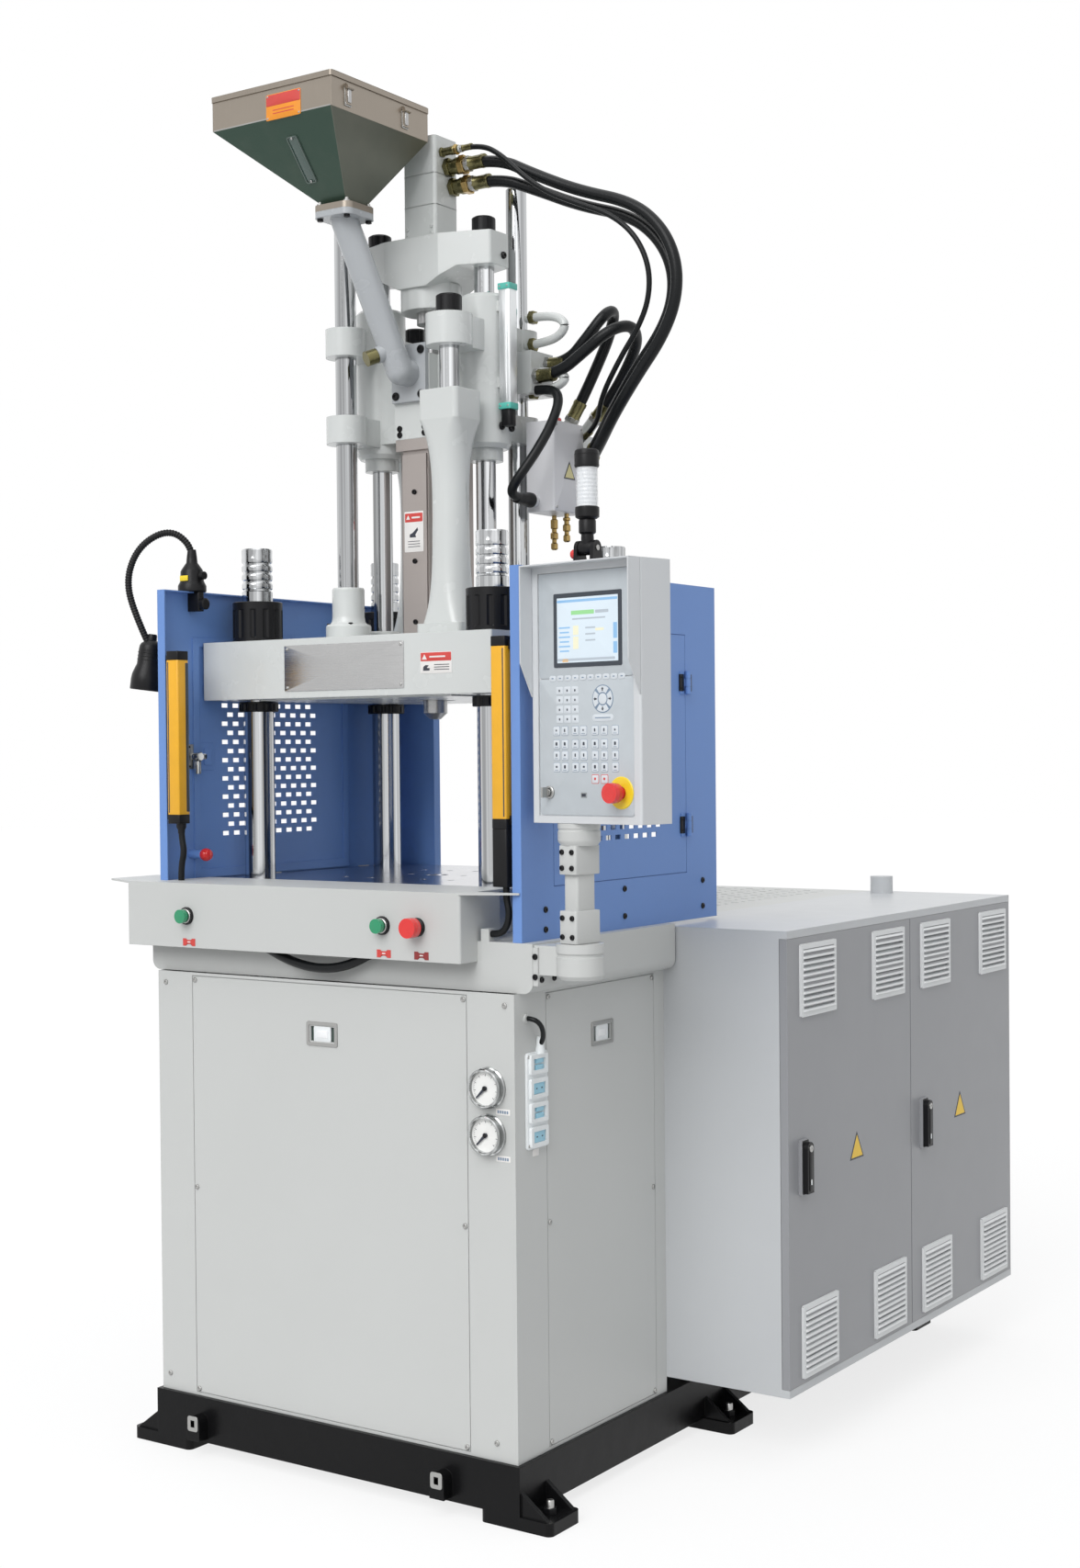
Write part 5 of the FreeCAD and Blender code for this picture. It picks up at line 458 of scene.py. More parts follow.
class Surface:
    """Gathers grids of points as closed skins, each with its finish, and makes one mesh of them."""

    def __init__(self, name):
        self.name = name
        self.points, self.loops, self.sizes, self.slots, self.finishes = [], [], [], [], []
        self.count = 0

    def skin(self, grid, finish, loop=False):
        """grid[i, j]: i goes once round a closed section and j along it. The ends close in fans, or meet."""
        grid = np.asarray(grid, float)
        n, m = grid.shape[:2]
        i, j = np.meshgrid(np.arange(n), np.arange(m if loop else m - 1), indexing="ij")
        k, l = (i + 1) % n, (j + 1) % m
        quads = np.stack([i * m + j, k * m + j, k * m + l, i * m + l], -1).reshape(-1, 4)
        points = grid.reshape(-1, 3)
        fans = np.zeros((0, 3), int)
        if not loop:
            points = np.concatenate([points, grid[:, :1].mean(0), grid[:, -1:].mean(0)])
            one, two = np.arange(n), (np.arange(n) + 1) % n
            fans = np.concatenate([np.stack([np.full(n, n * m), two * m, one * m], -1),
                                   np.stack([np.full(n, n * m + 1), one * m + m - 1, two * m + m - 1], -1)])
        tris = np.concatenate([quads[:, :3], quads[:, [0, 2, 3]], fans])
        a, b, c = (points[tris[:, q]] for q in range(3))
        if np.einsum("ij,ij->i", a, np.cross(b, c)).sum() < 0:
            quads, fans = quads[:, ::-1], fans[:, ::-1]
        if finish not in self.finishes:
            self.finishes.append(finish)
        self.points.append(points)
        self.loops.append(np.concatenate([quads.ravel(), fans.ravel()]) + self.count)
        self.sizes.append(np.concatenate([np.full(len(quads), 4), np.full(len(fans), 3)]))
        self.slots.append(np.full(len(quads) + len(fans), self.finishes.index(finish)))
        self.count += len(points)

    def add(self, grid, finish, at, axis=UP, loop=False):
        """A shape drawn about Z, stood at a place along an axis."""
        placed = aim(grid, at, axis)
        self.skin(placed, finish, loop)

    def many(self, grid, places, finish, axis=UP):
        """The same shape at each of these places."""
        for at in places:
            self.add(grid, finish, at, axis)

    def make(self, body, slot, nodes=(), crease=32.0):
        """One mesh of all the skins, on its body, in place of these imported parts. Creases stay sharp."""
        mesh = bpy.data.meshes.new(self.name)
        points, loops = np.concatenate(self.points) * MM, np.concatenate(self.loops)
        sizes, slots = np.concatenate(self.sizes), np.concatenate(self.slots)
        mesh.vertices.add(len(points))
        mesh.vertices.foreach_set("co", points.ravel())
        mesh.loops.add(len(loops))
        mesh.loops.foreach_set("vertex_index", loops)
        mesh.polygons.add(len(sizes))
        mesh.polygons.foreach_set("loop_start", np.concatenate([[0], np.cumsum(sizes)[:-1]]))
        mesh.polygons.foreach_set("material_index", slots)
        mesh.polygons.foreach_set("use_smooth", np.ones(len(sizes), bool))
        mesh.update(calc_edges=True)
        mesh.validate()
        mesh.set_sharp_from_angle(angle=math.radians(crease))
        for finish in self.finishes:
            mesh.materials.append(stock(finish))
        piece = bpy.data.objects.new(self.name, mesh)
        bpy.context.scene.collection.objects.link(piece)
        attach(piece, body)
        if nodes:
            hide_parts(*nodes)
        return piece


def screw_head(radius, height=None, socket=True, n=14):
    """A screw head: a half profile up its side, over its edge and down into its socket, turned round Z."""
    height = height or radius * 0.7
    profile = [(radius, 0), (radius, height * 0.6), (radius * 0.82, height)]
    if socket:
        profile += [(radius * 0.45, height), (radius * 0.40, height * 0.45), (radius * 0.05, height * 0.45)]
    else:
        profile += [(radius * 0.4, height * 1.12), (radius * 0.05, height * 1.15)]
    return lathe(profile, n)


def hexagon(radius, height, edge=0.8):
    """A nut: a half profile with chamfered ends, turned round Z in six steps."""
    profile = [(radius - edge, 0), (radius, edge), (radius, height - edge), (radius - edge, height)]
    return lathe(profile, 6)


def ferrule(radius, length):
    """A crimped hose end: a half profile of collar, pressed waist and neck, in shares of the radius."""
    return lathe([(radius * 1.02, 0), (radius * 1.22, 2), (radius * 1.25, length * 0.25),
                  (radius * 1.16, length * 0.3), (radius * 1.18, length * 0.8),
                  (radius * 1.26, length * 0.86), (radius * 1.2, length)], 24)


# ---- what a user may change ------------------------------------------------
def tone(label, text, colour):
    """A colour that the user may change."""
    return FloatVectorProperty(name=label, description=text, subtype="COLOR", size=3, min=0.0, max=1.0,
        default=colour)


class MachineFinishes(PropertyGroup):
    sheet_paint: tone("Sheet paint", "Light grey of the cabinet, bed and apron", (0.555, 0.565, 0.555))
    cast_paint: tone("Cast paint", "Gloss grey of the castings and platens", (0.62, 0.64, 0.63))
    guard_paint: tone("Guard paint", "Blue powder coat of the guards", (0.150, 0.285, 0.63))
    base_enamel: tone("Base enamel", "Black enamel of the base frame", (0.006, 0.006, 0.0065))
    panel_paint: tone("Panel paint", "Grey of the electrical cabinet", (0.52, 0.535, 0.55))
    door_paint: tone("Door paint", "Darker grey of the electrical doors", (0.295, 0.30, 0.315))
    film_blue: tone("Panel film", "Pale blue film of the operator panel", (0.51, 0.55, 0.58))
    hose_rubber: tone("Hose rubber", "Black outer skin of the hoses", (0.006, 0.007, 0.008))


class MachineSizes(PropertyGroup):
    panel_screw: FloatProperty(name="Panel screw", description="Radius of a cover panel's screw head",
                               default=0.0058, min=0.002, max=0.012, unit="LENGTH")
    crimp_length: FloatProperty(name="Crimp length", description="Length of the crimped sleeve on a hose end",
                                default=0.052, min=0.02, max=0.08, unit="LENGTH")
    rib_pitch: FloatProperty(name="Gooseneck pitch",
        description="Distance from rib to rib on the work lamp's neck", default=0.006, min=0.003, max=0.02,
        unit="LENGTH")
    key_rise: FloatProperty(name="Key rise", description="How far the panel's keys stand up from its film",
                            default=0.0012, min=0.0002, max=0.003, unit="LENGTH")
    louvres: IntProperty(name="Louvres", description="Blades in each vent of the electrical doors",
                         default=11, min=4, max=20)
    ambient: FloatProperty(name="Ambient light", description="Strength of the even light all round",
                           default=0.50, min=0.0, max=2.0)
    key_light: FloatProperty(name="Key light", description="Strength of the soft lamp at the front",
                             default=1.75, min=0.0, max=10.0)


# ---- stage -----------------------------------------------------------------
# The camera fitted to the photograph: metres, then yaw, pitch and roll in degrees, and lens in millimetres.
CAMERA_AT, CAMERA_TURN = (2.836, -4.289, 1.534), (34.08, -0.905, -0.528)
LENS, SENSOR, FAR = 48.23, 36.0, 100.0
# Each lamp: its share of the key light, its turn in radians and its spread in degrees.
LAMPS = [("key", 1.0, (0.98, 0.0, 0.10), 40.0), ("top", 0.50, (0.06, 0.0, 0.0), 70.0),
         ("fill", 0.12, (1.05, 0.0, 0.95), 60.0)]
# The floor's rings in metres, its spokes, and how far it lies below the feet.
FLOOR_RADII, FLOOR_SPOKES, FLOOR_DROP = (0.5, 1.0, 2.0, 4.0, 8.0, 16.0, 40.0), 96, 0.0005


def seen_share(tree, share):
    """1 where a camera, mirror or glass looks straight at the background, times a share."""
    looks = [tree.node("ShaderNodeLightPath", {}, {}, name)
             for name in ("Is Camera Ray", "Is Glossy Ray", "Is Transmission Ray")]
    return (looks[0] + looks[1] + looks[2]).clipped() * share


class Surround(Finish):
    """The world's or the floor's tree, with the same one way to add a node."""

    def __init__(self, tree):
        self.tree = tree
        tree.nodes.clear()


class MACHINE_OT_stage(Operator):
    """Pale floor, white surroundings, soft lamps and the photograph's camera"""
    bl_idname = "machine.stage"
    bl_label = "Stage"

    def execute(self, context):
        scene, sizes = context.scene, context.scene.machine_sizes
        scene.view_settings.view_transform = "Standard"
        yaw, pitch, roll = (math.radians(v) for v in CAMERA_TURN)
        ahead = Vector((-math.sin(yaw) * math.cos(pitch), math.cos(yaw) * math.cos(pitch), math.sin(pitch)))
        right = Vector((math.cos(yaw), math.sin(yaw), 0.0))
        up = right.cross(ahead)
        side = right * math.cos(roll) + up * math.sin(roll)
        top = up * math.cos(roll) - right * math.sin(roll)
        lens = bpy.data.cameras.new("camera")
        lens.sensor_fit, lens.sensor_height, lens.lens, lens.clip_end = "VERTICAL", SENSOR, LENS, FAR
        camera = bpy.data.objects.new("camera", lens)
        camera.matrix_world = (Matrix.Translation(CAMERA_AT)
                               @ Matrix((side, top, -ahead)).transposed().to_4x4())
        scene.collection.objects.link(camera)
        scene.camera = camera
        for name, share, turn, spread in LAMPS:
            lamp = bpy.data.lights.new(name, "SUN")
            lamp.energy, lamp.angle = share * sizes.key_light, math.radians(spread)
            holder = bpy.data.objects.new(name, lamp)
            holder.rotation_euler = turn
            scene.collection.objects.link(holder)
        scene.world = bpy.data.worlds.new("surroundings")
        scene.world.use_nodes = True
        sky = Surround(scene.world.node_tree)
        even = sky.node("ShaderNodeBackground", {}, {"Color": (0.97, 0.985, 1.0, 1.0),
            "Strength": sizes.ambient})
        white = sky.node("ShaderNodeBackground", {}, {"Color": (1, 1, 1, 1), "Strength": 1.0})
        both = sky.node("ShaderNodeMixShader", {}, {0: seen_share(sky, 1.0), 1: even, 2: white})
        sky.tree.links.new(both.socket, sky.tree.nodes.new("ShaderNodeOutputWorld").inputs["Surface"])
        self.floor(scene)
        return {"FINISHED"}

    def floor(self, scene):
        """A disc: (r cos t, r sin t, 0) on rings that widen outwards."""
        t, r, n = around(FLOOR_SPOKES), np.array(FLOOR_RADII), FLOOR_SPOKES
        rings = np.stack([np.outer(r, np.cos(t)), np.outer(r, np.sin(t)),
                          np.full((len(r), n), -FLOOR_DROP)], -1)
        points = np.concatenate([rings.reshape(-1, 3), [[0, 0, -FLOOR_DROP]]])
        i, j = np.meshgrid(np.arange(len(r) - 1), np.arange(n), indexing="ij")
        k = (j + 1) % n
        quads = np.stack([i * n + j, i * n + n + j, i * n + n + k, i * n + k], -1)
        fans = np.stack([np.full(n, n * len(r)), np.arange(n), (np.arange(n) + 1) % n], -1)
        mesh = bpy.data.meshes.new("floor")
        mesh.from_pydata(points.tolist(), [], quads.reshape(-1, 4).tolist() + fans.tolist())
        material = bpy.data.materials.new("pale_floor")
        material.use_nodes = True
        made = Surround(material.node_tree)
        shade = made.mix(seen_share(made, 1.0), (0.56, 0.56, 0.56, 1), (0.95, 0.95, 0.95, 1))
        pale = made.node("ShaderNodeBsdfDiffuse", {}, {"Color": shade})
        white = made.node("ShaderNodeEmission", {}, {"Color": (1, 1, 1, 1), "Strength": 1.0})
        both = made.node("ShaderNodeMixShader", {}, {0: seen_share(made, 0.78), 1: pale, 2: white})
        made.tree.links.new(both.socket, made.tree.nodes.new("ShaderNodeOutputMaterial").inputs["Surface"])
        mesh.materials.append(material)
        piece = bpy.data.objects.new("floor", mesh)
        scene.collection.objects.link(piece)


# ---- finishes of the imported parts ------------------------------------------
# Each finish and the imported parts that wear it.
DRESS = {
    "base_enamel": ["base_frame"],
    "sheet_paint": ["cabinet_frame", "cover_panels", "bed_beam", "apron", "hmi_bracket"],
    "panel_paint": ["electrical_cabinet"],
    "door_paint": ["electrical_door_front", "electrical_door_rear"],
    "housing_paint": ["hmi_housing"],
    "box_paint": ["junction_box"],
    "ground_steel": ["fixed_table"],
    "guard_paint": ["left_guard", "right_guard", "left_guard_door", "right_guard_door"],
    "cast_paint": [
        "upper_platen", "lower_crosshead", "clamp_cylinder", "carriage_cylinders", "injection_carriage",
        "thrust_beam", "hydraulic_motor"],
    "pipe_paint": ["feed_pipe"],
    "machined_steel": ["ejector_rod", "nozzle", "screw", "barrel"],
    "plate_steel": ["barrel_cover"],
    "hopper_steel": ["hopper_lid"],
    "hopper_two_tone": ["hopper"],
    "yellow_zinc": ["feed_gate"],
    "zinc": ["hmi_key_switch"],
    "black_plastic": ["door_handle_front", "door_handle_rear", "signal_lamp_base", "work_lamp_dial"],
    "red_plastic": ["hmi_stop_button", "apron_stop_button"],
    "green_plastic": ["start_button_left", "start_button_right"],
    "dark_print": ["gauge_needle_upper", "gauge_needle_lower"],
}


class MACHINE_OT_finishes(Operator):
    """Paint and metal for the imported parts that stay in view"""
    bl_idname = "machine.finishes"
    bl_label = "Finishes"

    def execute(self, context):
        for finish, nodes in DRESS.items():
            for node in nodes:
                places = bpy.data.objects[node].material_slots
                if not places:
                    raise RuntimeError("no material slot on " + node)
                for place in places:
                    place.material = stock(finish)
        return {"FINISHED"}


# ---- hoses and cables ------------------------------------------------------
# Each cord: its body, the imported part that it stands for, diameter, length and route.
CORDS = {
    "motor_hose_upper": ("carriage", "motor_hoses", 26, 1226, [
        (25, -408, 2867), (110, -408, 2867), (202, -398, 2818), (312, -384, 2767), (444, -378, 2724),
        (517, -374, 2661), (553, -372, 2582), (550, -370, 2500), (511, -366, 2424), (436, -350, 2351),
        (350, -310, 2278), (275, -250, 2226), (205, -195, 2186)]),
    "motor_hose_lower": ("carriage", "motor_hoses", 26, 1151, [
        (25, -390, 2826), (105, -390, 2826), (190, -376, 2791), (300, -362, 2741), (428, -354, 2701),
        (494, -348, 2644), (527, -344, 2576), (524, -340, 2506), (489, -336, 2440), (417, -322, 2371),
        (333, -280, 2299), (258, -222, 2248), (190, -168, 2210)]),
    "motor_hose_thin": ("carriage", "motor_hoses", 12, 1106, [
        (25, -430, 2897), (80, -430, 2897), (135, -430, 2866), (190, -428, 2812), (255, -424, 2764),
        (330, -416, 2730), (410, -408, 2696), (468, -402, 2644), (498, -396, 2576), (494, -390, 2508),
        (462, -382, 2450), (398, -362, 2388), (322, -318, 2318), (258, -232, 2274), (205, -208, 2254)]),
    "loop_hose_front": ("carriage", "carriage_hoses", 26, 564, [
        (150, -322, 2385), (212, -322, 2385), (282, -326, 2424), (342, -316, 2468), (374, -268, 2486),
        (358, -212, 2460), (308, -180, 2408), (254, -162, 2350), (198, -150, 2302)]),
    "loop_hose_back": ("carriage", "carriage_hoses", 26, 516, [
        (150, -275, 2418), (206, -275, 2418), (262, -280, 2466), (302, -264, 2520), (300, -216, 2534),
        (264, -188, 2480), (222, -182, 2410), (184, -186, 2340), (160, -192, 2296)]),
    "conduit": ("carriage", "carriage_hoses", 22, 440, [
        (150, -318, 2354), (196, -318, 2354), (232, -346, 2322), (236, -386, 2262), (222, -422, 2202),
        (196, -448, 2150), (168, -452, 2114), (160, -420, 2100), (160, -360, 2100)]),
    "apron_cable": ("machine", "cabinet_cables", 20, 445, [
        (-225, -918, 1130), (-170, -918, 1130), (-95, -920, 1098), (-10, -921, 1082), (75, -920, 1092),
        (150, -918, 1130), (205, -918, 1130)]),
    "curtain_cable_left": ("machine", "cabinet_cables", 14, 127, [
        (-432, -879, 1380), (-432, -879, 1350), (-424, -879, 1318), (-434, -879, 1286), (-434, -879, 1254)]),
    "curtain_cable_right": ("machine", "cabinet_cables", 14, 122, [
        (446, -879, 1265), (446, -879, 1240), (453, -879, 1215), (448, -879, 1188), (432, -879, 1170),
        (410, -879, 1170)]),
    "strip_cable": ("machine", "cabinet_cables", 10, 103, [
        (486, -866, 1004), (504, -866, 1004), (510, -850, 987), (500, -832, 962), (487.5, -826, 948),
        (487.5, -826, 935)]),
}


class MACHINE_OT_cords(Operator):
    """Hydraulic hoses, the conduit and the cables on the cabinet"""
    bl_idname = "machine.cords"
    bl_label = "Hoses and cables"

    def execute(self, context):
        for name, (body, node, diameter, length, route) in CORDS.items():
            line = bpy.data.curves.new(name, "CURVE")
            line.dimensions, line.bevel_depth, line.bevel_resolution = "3D", diameter / 2 * MM, 6
            line.use_fill_caps, line.resolution_u = True, 14
            spline = line.splines.new("NURBS")
            spline.points.add(len(route) - 1)
            points = np.concatenate([np.array(route) * MM, np.ones((len(route), 1))], 1)
            spline.points.foreach_set("co", points.ravel())
            spline.order_u, spline.use_endpoint_u = 3, True
            line.materials.append(stock("rubber"))
            piece = bpy.data.objects.new(name, line)
            context.scene.collection.objects.link(piece)
            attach(piece, body)
            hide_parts(node)
        crimp = context.scene.machine_sizes.crimp_length / MM
        sleeves = Surface("hose_sleeves")
        for name, (_, _, diameter, _, route) in CORDS.items():
            if "hose" not in name:
                continue
            route, radius = np.array(route, float), diameter / 2
            length = crimp if radius > 8 else crimp * 0.6
            for start, towards in ((route[0], route[1]), (route[-1], route[-2])):
                sleeves.add(ferrule(radius, length), "yellow_zinc", start, towards - start)
                sleeves.add(hexagon(radius * 1.42, radius * 0.9), "zinc", start, towards - start)
        sleeves.make("carriage", "zinc")
        boots = Surface("cable_boots")
        boots.add(lathe([(17, 0), (17, 12), (14.5, 18), (14, 30), (12.5, 46), (11.6, 58)], 24),
                  "black_plastic", (160, -360, 2100), FRONT)
        boots.make("carriage", "black_plastic")
        return {"FINISHED"}


# ---- rods and columns ------------------------------------------------------
# Where each column stands: x and y, and for a guide rod its top as well.
TIE_PLACES = [(-408, -646), (254, -646), (-408, -174), (254, -174)]
GUIDE_PLACES = [(-226, -540, 2788), (72, -280, 2830)]
CAST_PLACES = [(-226, -410), (72, -410)]
PEDESTAL_PLACES = [(72, -545), (-226, -275)]


class MACHINE_OT_rods(Operator):
    """Tie bars, guide rods and injection rods with their chamfers, grooves, centre holes and nuts"""
    bl_idname = "machine.rods"
    bl_label = "Rods and columns"

    def execute(self, context):
        bars = Surface("tie_bar_columns")
        grooves = range(1904, 1984, 20)
        profile = [(35, BAR_FOOT), (35, grooves[0])]
        for z in grooves:
            profile += [(32, z + 2), (32, z + 5), (34.6, z + 7), (35, z + 9), (35, z + 16), (34.6, z + 18)]
        profile += [(35, BAR_TOP - 3), (33.5, BAR_TOP), (29, BAR_TOP), (28, BAR_TOP - 2), (9, BAR_TOP - 2),
                    (8, BAR_TOP - 8), (1, BAR_TOP - 14)]
        for x, y in TIE_PLACES:
            bars.add(lathe(profile, 64), "chrome_rod", (x, y, 0))
        bars.make("clamp", "bright_rod", ("tie_bars",), 24)
        nuts = Surface("bar_nuts")
        for x, y in TIE_PLACES:
            for low, high, radius in ((PLATEN_TOP, 1880, 57), (1629, PLATEN_FOOT, 45), (BAR_FOOT, 395, 54)):
                nuts.add(self.fluted(radius, high - low, 36.5), "black_oxide", (x, y, low), loop=True)
        nuts.make("clamp", "black_steel", ("tie_bar_nuts",), 24)
        guides = Surface("guide_columns")
        for x, y, top in GUIDE_PLACES:
            guides.add(lathe([(52, PLATEN_TOP), (52, 1822), (49, 1826), (42, 1828), (38.5, 1834),
                              (37, 1845), (37, 1906), (35, 1910), (25, 1910)], 56), "cast_paint", (x, y, 0))
            guides.add(lathe([(24, 1900), (24, top - 3), (21.5, top), (6, top), (5, top - 5)], 56),
                       "chrome_rod", (x, y, 0))
            for turn in range(4):
                a = math.pi / 4 + turn * math.pi / 2
                guides.add(screw_head(5.5, 5), "black_oxide",
                           (x + 44.5 * math.cos(a), y + 44.5 * math.sin(a), 1824.5))
        for x, y in CAST_PLACES:
            guides.add(lathe([(39.5, PLATEN_TOP), (39.5, 1812), (37, 1816), (23.5, 1816)], 48),
                       "cast_paint", (x, y, 0))
            guides.add(rod(22.5, 1810, 2320), "chrome_rod", (x, y, 0))
        guides.make("clamp", "bright_rod", ("guide_rods",), 24)
        for name, body, node, places, low, top, wide, tall in (
                ("carriage_columns", "carriage", "carriage_rods", PEDESTAL_PLACES, 1986, 2500, 29, 45),
                ("injection_columns", "thrust", "injection_rods", CAST_PLACES, 2375, 2702, 27, 40)):
            columns = Surface(name)
            for x, y in places:
                columns.add(rod(22.5, low, top), "chrome_rod", (x, y, 0))
                columns.add(self.nut(wide, tall), "black_oxide", (x, y, top - 2))
            columns.make(body, "bright_rod", (node,), 24)
        return {"FINISHED"}

    @staticmethod
    def fluted(radius, height, bore):
        """A split clamp nut: its wall dips by a twentieth in each of twelve flutes, between plain rims."""
        dip = 1.0 - 0.055 * np.clip(1.4 * np.cos(12 * around(144)) - 0.2, 0.0, 1.0)
        wall = [(radius, share * height) for share in (0.12, 0.14, 0.80, 0.82)]
        profile = [(radius - 1.5, 0), (radius, 1.5), *wall, (radius, height - 1.5), (radius - 1.5, height),
                   (bore, height), (bore, 0)]
        return slotted(profile, [0, 0, 0, 1, 1, 0, 0, 0, 0, 0], dip)

    @staticmethod
    def nut(radius, height):
        """A round slotted nut: its radius dips by a tenth at each of six spanner slots."""
        dip = np.where(np.abs(((around(96) / (2 * np.pi) * 6) % 1.0) - 0.5) < 0.10, 0.90, 1.0)
        profile = [(radius - 2, 0), (radius, 2), (radius, height - 5), (radius - 2, height - 3),
                   (radius * 0.80, height - 3), (radius * 0.79, height - 1), (radius * 0.05, height - 1)]
        return slotted(profile, [1, 1, 1, 1, 0, 0, 0], dip)


# ---- small hardware --------------------------------------------------------
# Rows of the cover panels' screws, and the guards' lug bolts as y and z.
PANEL_HEIGHTS = (139, 584, 1039)
LUG_PLACES = [(-805, 1216), (-805, 1176), (-504, 1240), (-504, 1182), (-171, 1240), (-171, 1182)]


class MACHINE_OT_fasteners(Operator):
    """Screws of the cover panels, guards, clamps and castings, and the operator panel's slim post"""
    bl_idname = "machine.fasteners"
    bl_label = "Fasteners"

    def execute(self, context):
        radius = context.scene.machine_sizes.panel_screw / MM
        head = screw_head(radius, 3.2, True, 16)
        cover = Surface("panel_screws")
        cover.many(head, [(x, CASE_FRONT, z) for z in PANEL_HEIGHTS for x in (-371, 357)], "zinc", FRONT)
        cover.many(head, [(CASE_RIGHT, y, z) for z in PANEL_HEIGHTS for y in (-787, -383)], "zinc", RIGHT)
        cover.many(head, [(CASE_LEFT, y, z) for z in PANEL_HEIGHTS
                          for y in (-787, -383, -235, 264, 310, 809)], "zinc", LEFT)
        cover.many(head, [(x, CASE_BACK, z) for z in PANEL_HEIGHTS for x in (-384, 299)], "zinc", BACK)
        cover.many(head, [(x, CASE_FRONT, z) for x, z in ((-458, 1030), (-458, 160), (430, 160),
            (458, 1032))], "zinc", FRONT)
        cover.make("machine", "zinc")
        bolts = Surface("guard_bolts")
        big, button = screw_head(9.5, 5, True, 18), screw_head(6.5, 3.4, True, 18)
        bolts.many(button, [(GUARD_OUT, y, z) for y, z in LUG_PLACES], "black_oxide", RIGHT)
        bolts.many(button, [(-GUARD_OUT, y, z) for y, z in LUG_PLACES], "black_oxide", LEFT)
        bolts.make("machine", "black_steel")
        castings = Surface("carriage_bolts")
        castings.many(big, [(x, -500, z) for x in (-113, -41) for z in (2342, 2442)], "black_oxide", FRONT)
        castings.many(screw_head(7, 4), [(x, -488, z) for x in (-112, -42) for z in (2256, 2270)],
                      "black_oxide", FRONT)
        castings.many(screw_head(6, 4), [(-77, COVER_FACE, z) for z in (2125, 1968, 1830)], "black_oxide",
                      FRONT)
        castings.many(big, [(130, y, 2262) for y in (-430, -392)], "black_oxide", RIGHT)
        castings.make("carriage", "black_steel")
        beam = Surface("beam_bolts")
        beam.many(screw_head(8, 6), [(116, -398, 2650)], "black_oxide", RIGHT)
        beam.many(screw_head(6, 5), [(x, y, 2700) for x in (-132, -22) for y in (-448, -372)],
                  "black_oxide", UP)
        beam.many(screw_head(4.5, 3), [(x, -453, z) for x in (-111, -43) for z in (2712, 2728)],
                  "cast_paint", FRONT)
        beam.make("thrust", "black_steel")
        feed = Surface("feed_bolts")
        hexed = hexagon(7.5, 6)
        corners = [(-144 + dx, -640 + dy) for dx in (-38, 38) for dy in (-38, 38)]
        feed.many(hexed, [(x, y, 2718) for x, y in corners], "black_oxide", DOWN)
        feed.many(lathe([(7.5, 0), (7.5, 4), (4, 4), (4, 9), (3, 10)], 12),
                  [(x, y, 2746) for x, y in corners], "zinc", UP)
        feed.make("carriage", "black_steel")
        post = Surface("arm_post")
        for width, depth, low, high in ((46, 71, 1158.5, 1223), (36, 52, 1221, 1295), (46, 71, 1293, 1350)):
            clamp = aim(slab(width, depth, high - low, 5, 2), (*POST_AXIS, low))
            post.skin(swung(clamp, *POST_AXIS, PANEL_TURN), "sheet_paint")
        post.add(lathe([(36, 1349), (41.5, 1357), (42, 1360), (42, 1377), (40.5, 1379), (40.5, 1381),
                        (42, 1383), (42, 1392.6), (20, 1392.6)], 56), "sheet_paint", (*POST_AXIS, 0))
        post.make("arm", "paint_grey", ("hmi_arm",))
        clamps = Surface("arm_bolts")
        small = screw_head(5.5, 3.5)
        places = np.array([(POST_AXIS[0] + dx, POST_AXIS[1] - 35.6, z) for z in (1172, 1209, 1306, 1337)
                           for dx in (-13, 13)], float)
        clamps.many(small, swung(places, *POST_AXIS, PANEL_TURN), "black_oxide",
                    swung(np.array(FRONT, float), 0, 0, PANEL_TURN))
        clamps.make("arm", "black_steel")
        plate = Surface("bracket_bolts")
        plate.many(screw_head(6, 4), [(520, -888, z) for z in (1090, 1130)], "black_oxide", FRONT)
        plate.many(screw_head(6, 4), [(526, y, z) for y in (-876, -832) for z in (1084, 1136)],
                   "black_oxide", RIGHT)
        plate.make("machine", "black_steel")
        return {"FINISHED"}


def tray(width, height, depth, wall, corner=4.0):
    """A rectangular frame: a rounded outline carried out, over its rim and back inside."""
    outer = slab(width, height, depth, corner, 0.6)[:, [0, 1, -1]]
    inner = slab(width - 2 * wall, height - 2 * wall, depth, max(corner - wall, 0.8), 0.3)[:, [-1, 0]]
    return np.concatenate([outer, inner], 1)


class MACHINE_OT_cover_pulls(Operator):
    """Bright flush pulls of the cover panels"""
    bl_idname = "machine.cover_pulls"
    bl_label = "Cover pulls"

    def execute(self, context):
        pulls, z = Surface("cover_pulls"), 944
        for at, axis in (((-10, CASE_FRONT, z), FRONT), ((CASE_RIGHT, -585, z), RIGHT),
                         ((CASE_LEFT, -585, z), LEFT), ((CASE_LEFT, 14, z), LEFT),
                         ((CASE_LEFT, 560, z), LEFT), ((-42, CASE_BACK, z), BACK)):
            pulls.add(tray(84, 51, 2.6, 7), "zinc", at, axis, loop=True)
            inner = np.array(at, float) - np.array(axis) * 7.0
            pulls.add(slab(70, 36, 3, 2), "dark_green", inner, axis)
            catch = np.array(at, float) - np.array(axis) * 4.0
            pulls.add(slab(46, 32, 4.5, 3), "white_plastic", catch, axis)
            pulls.add(slab(30, 16, 5.5, 2), "pearl", catch, axis)
        pulls.make("machine", "stainless")
        return {"FINISHED"}


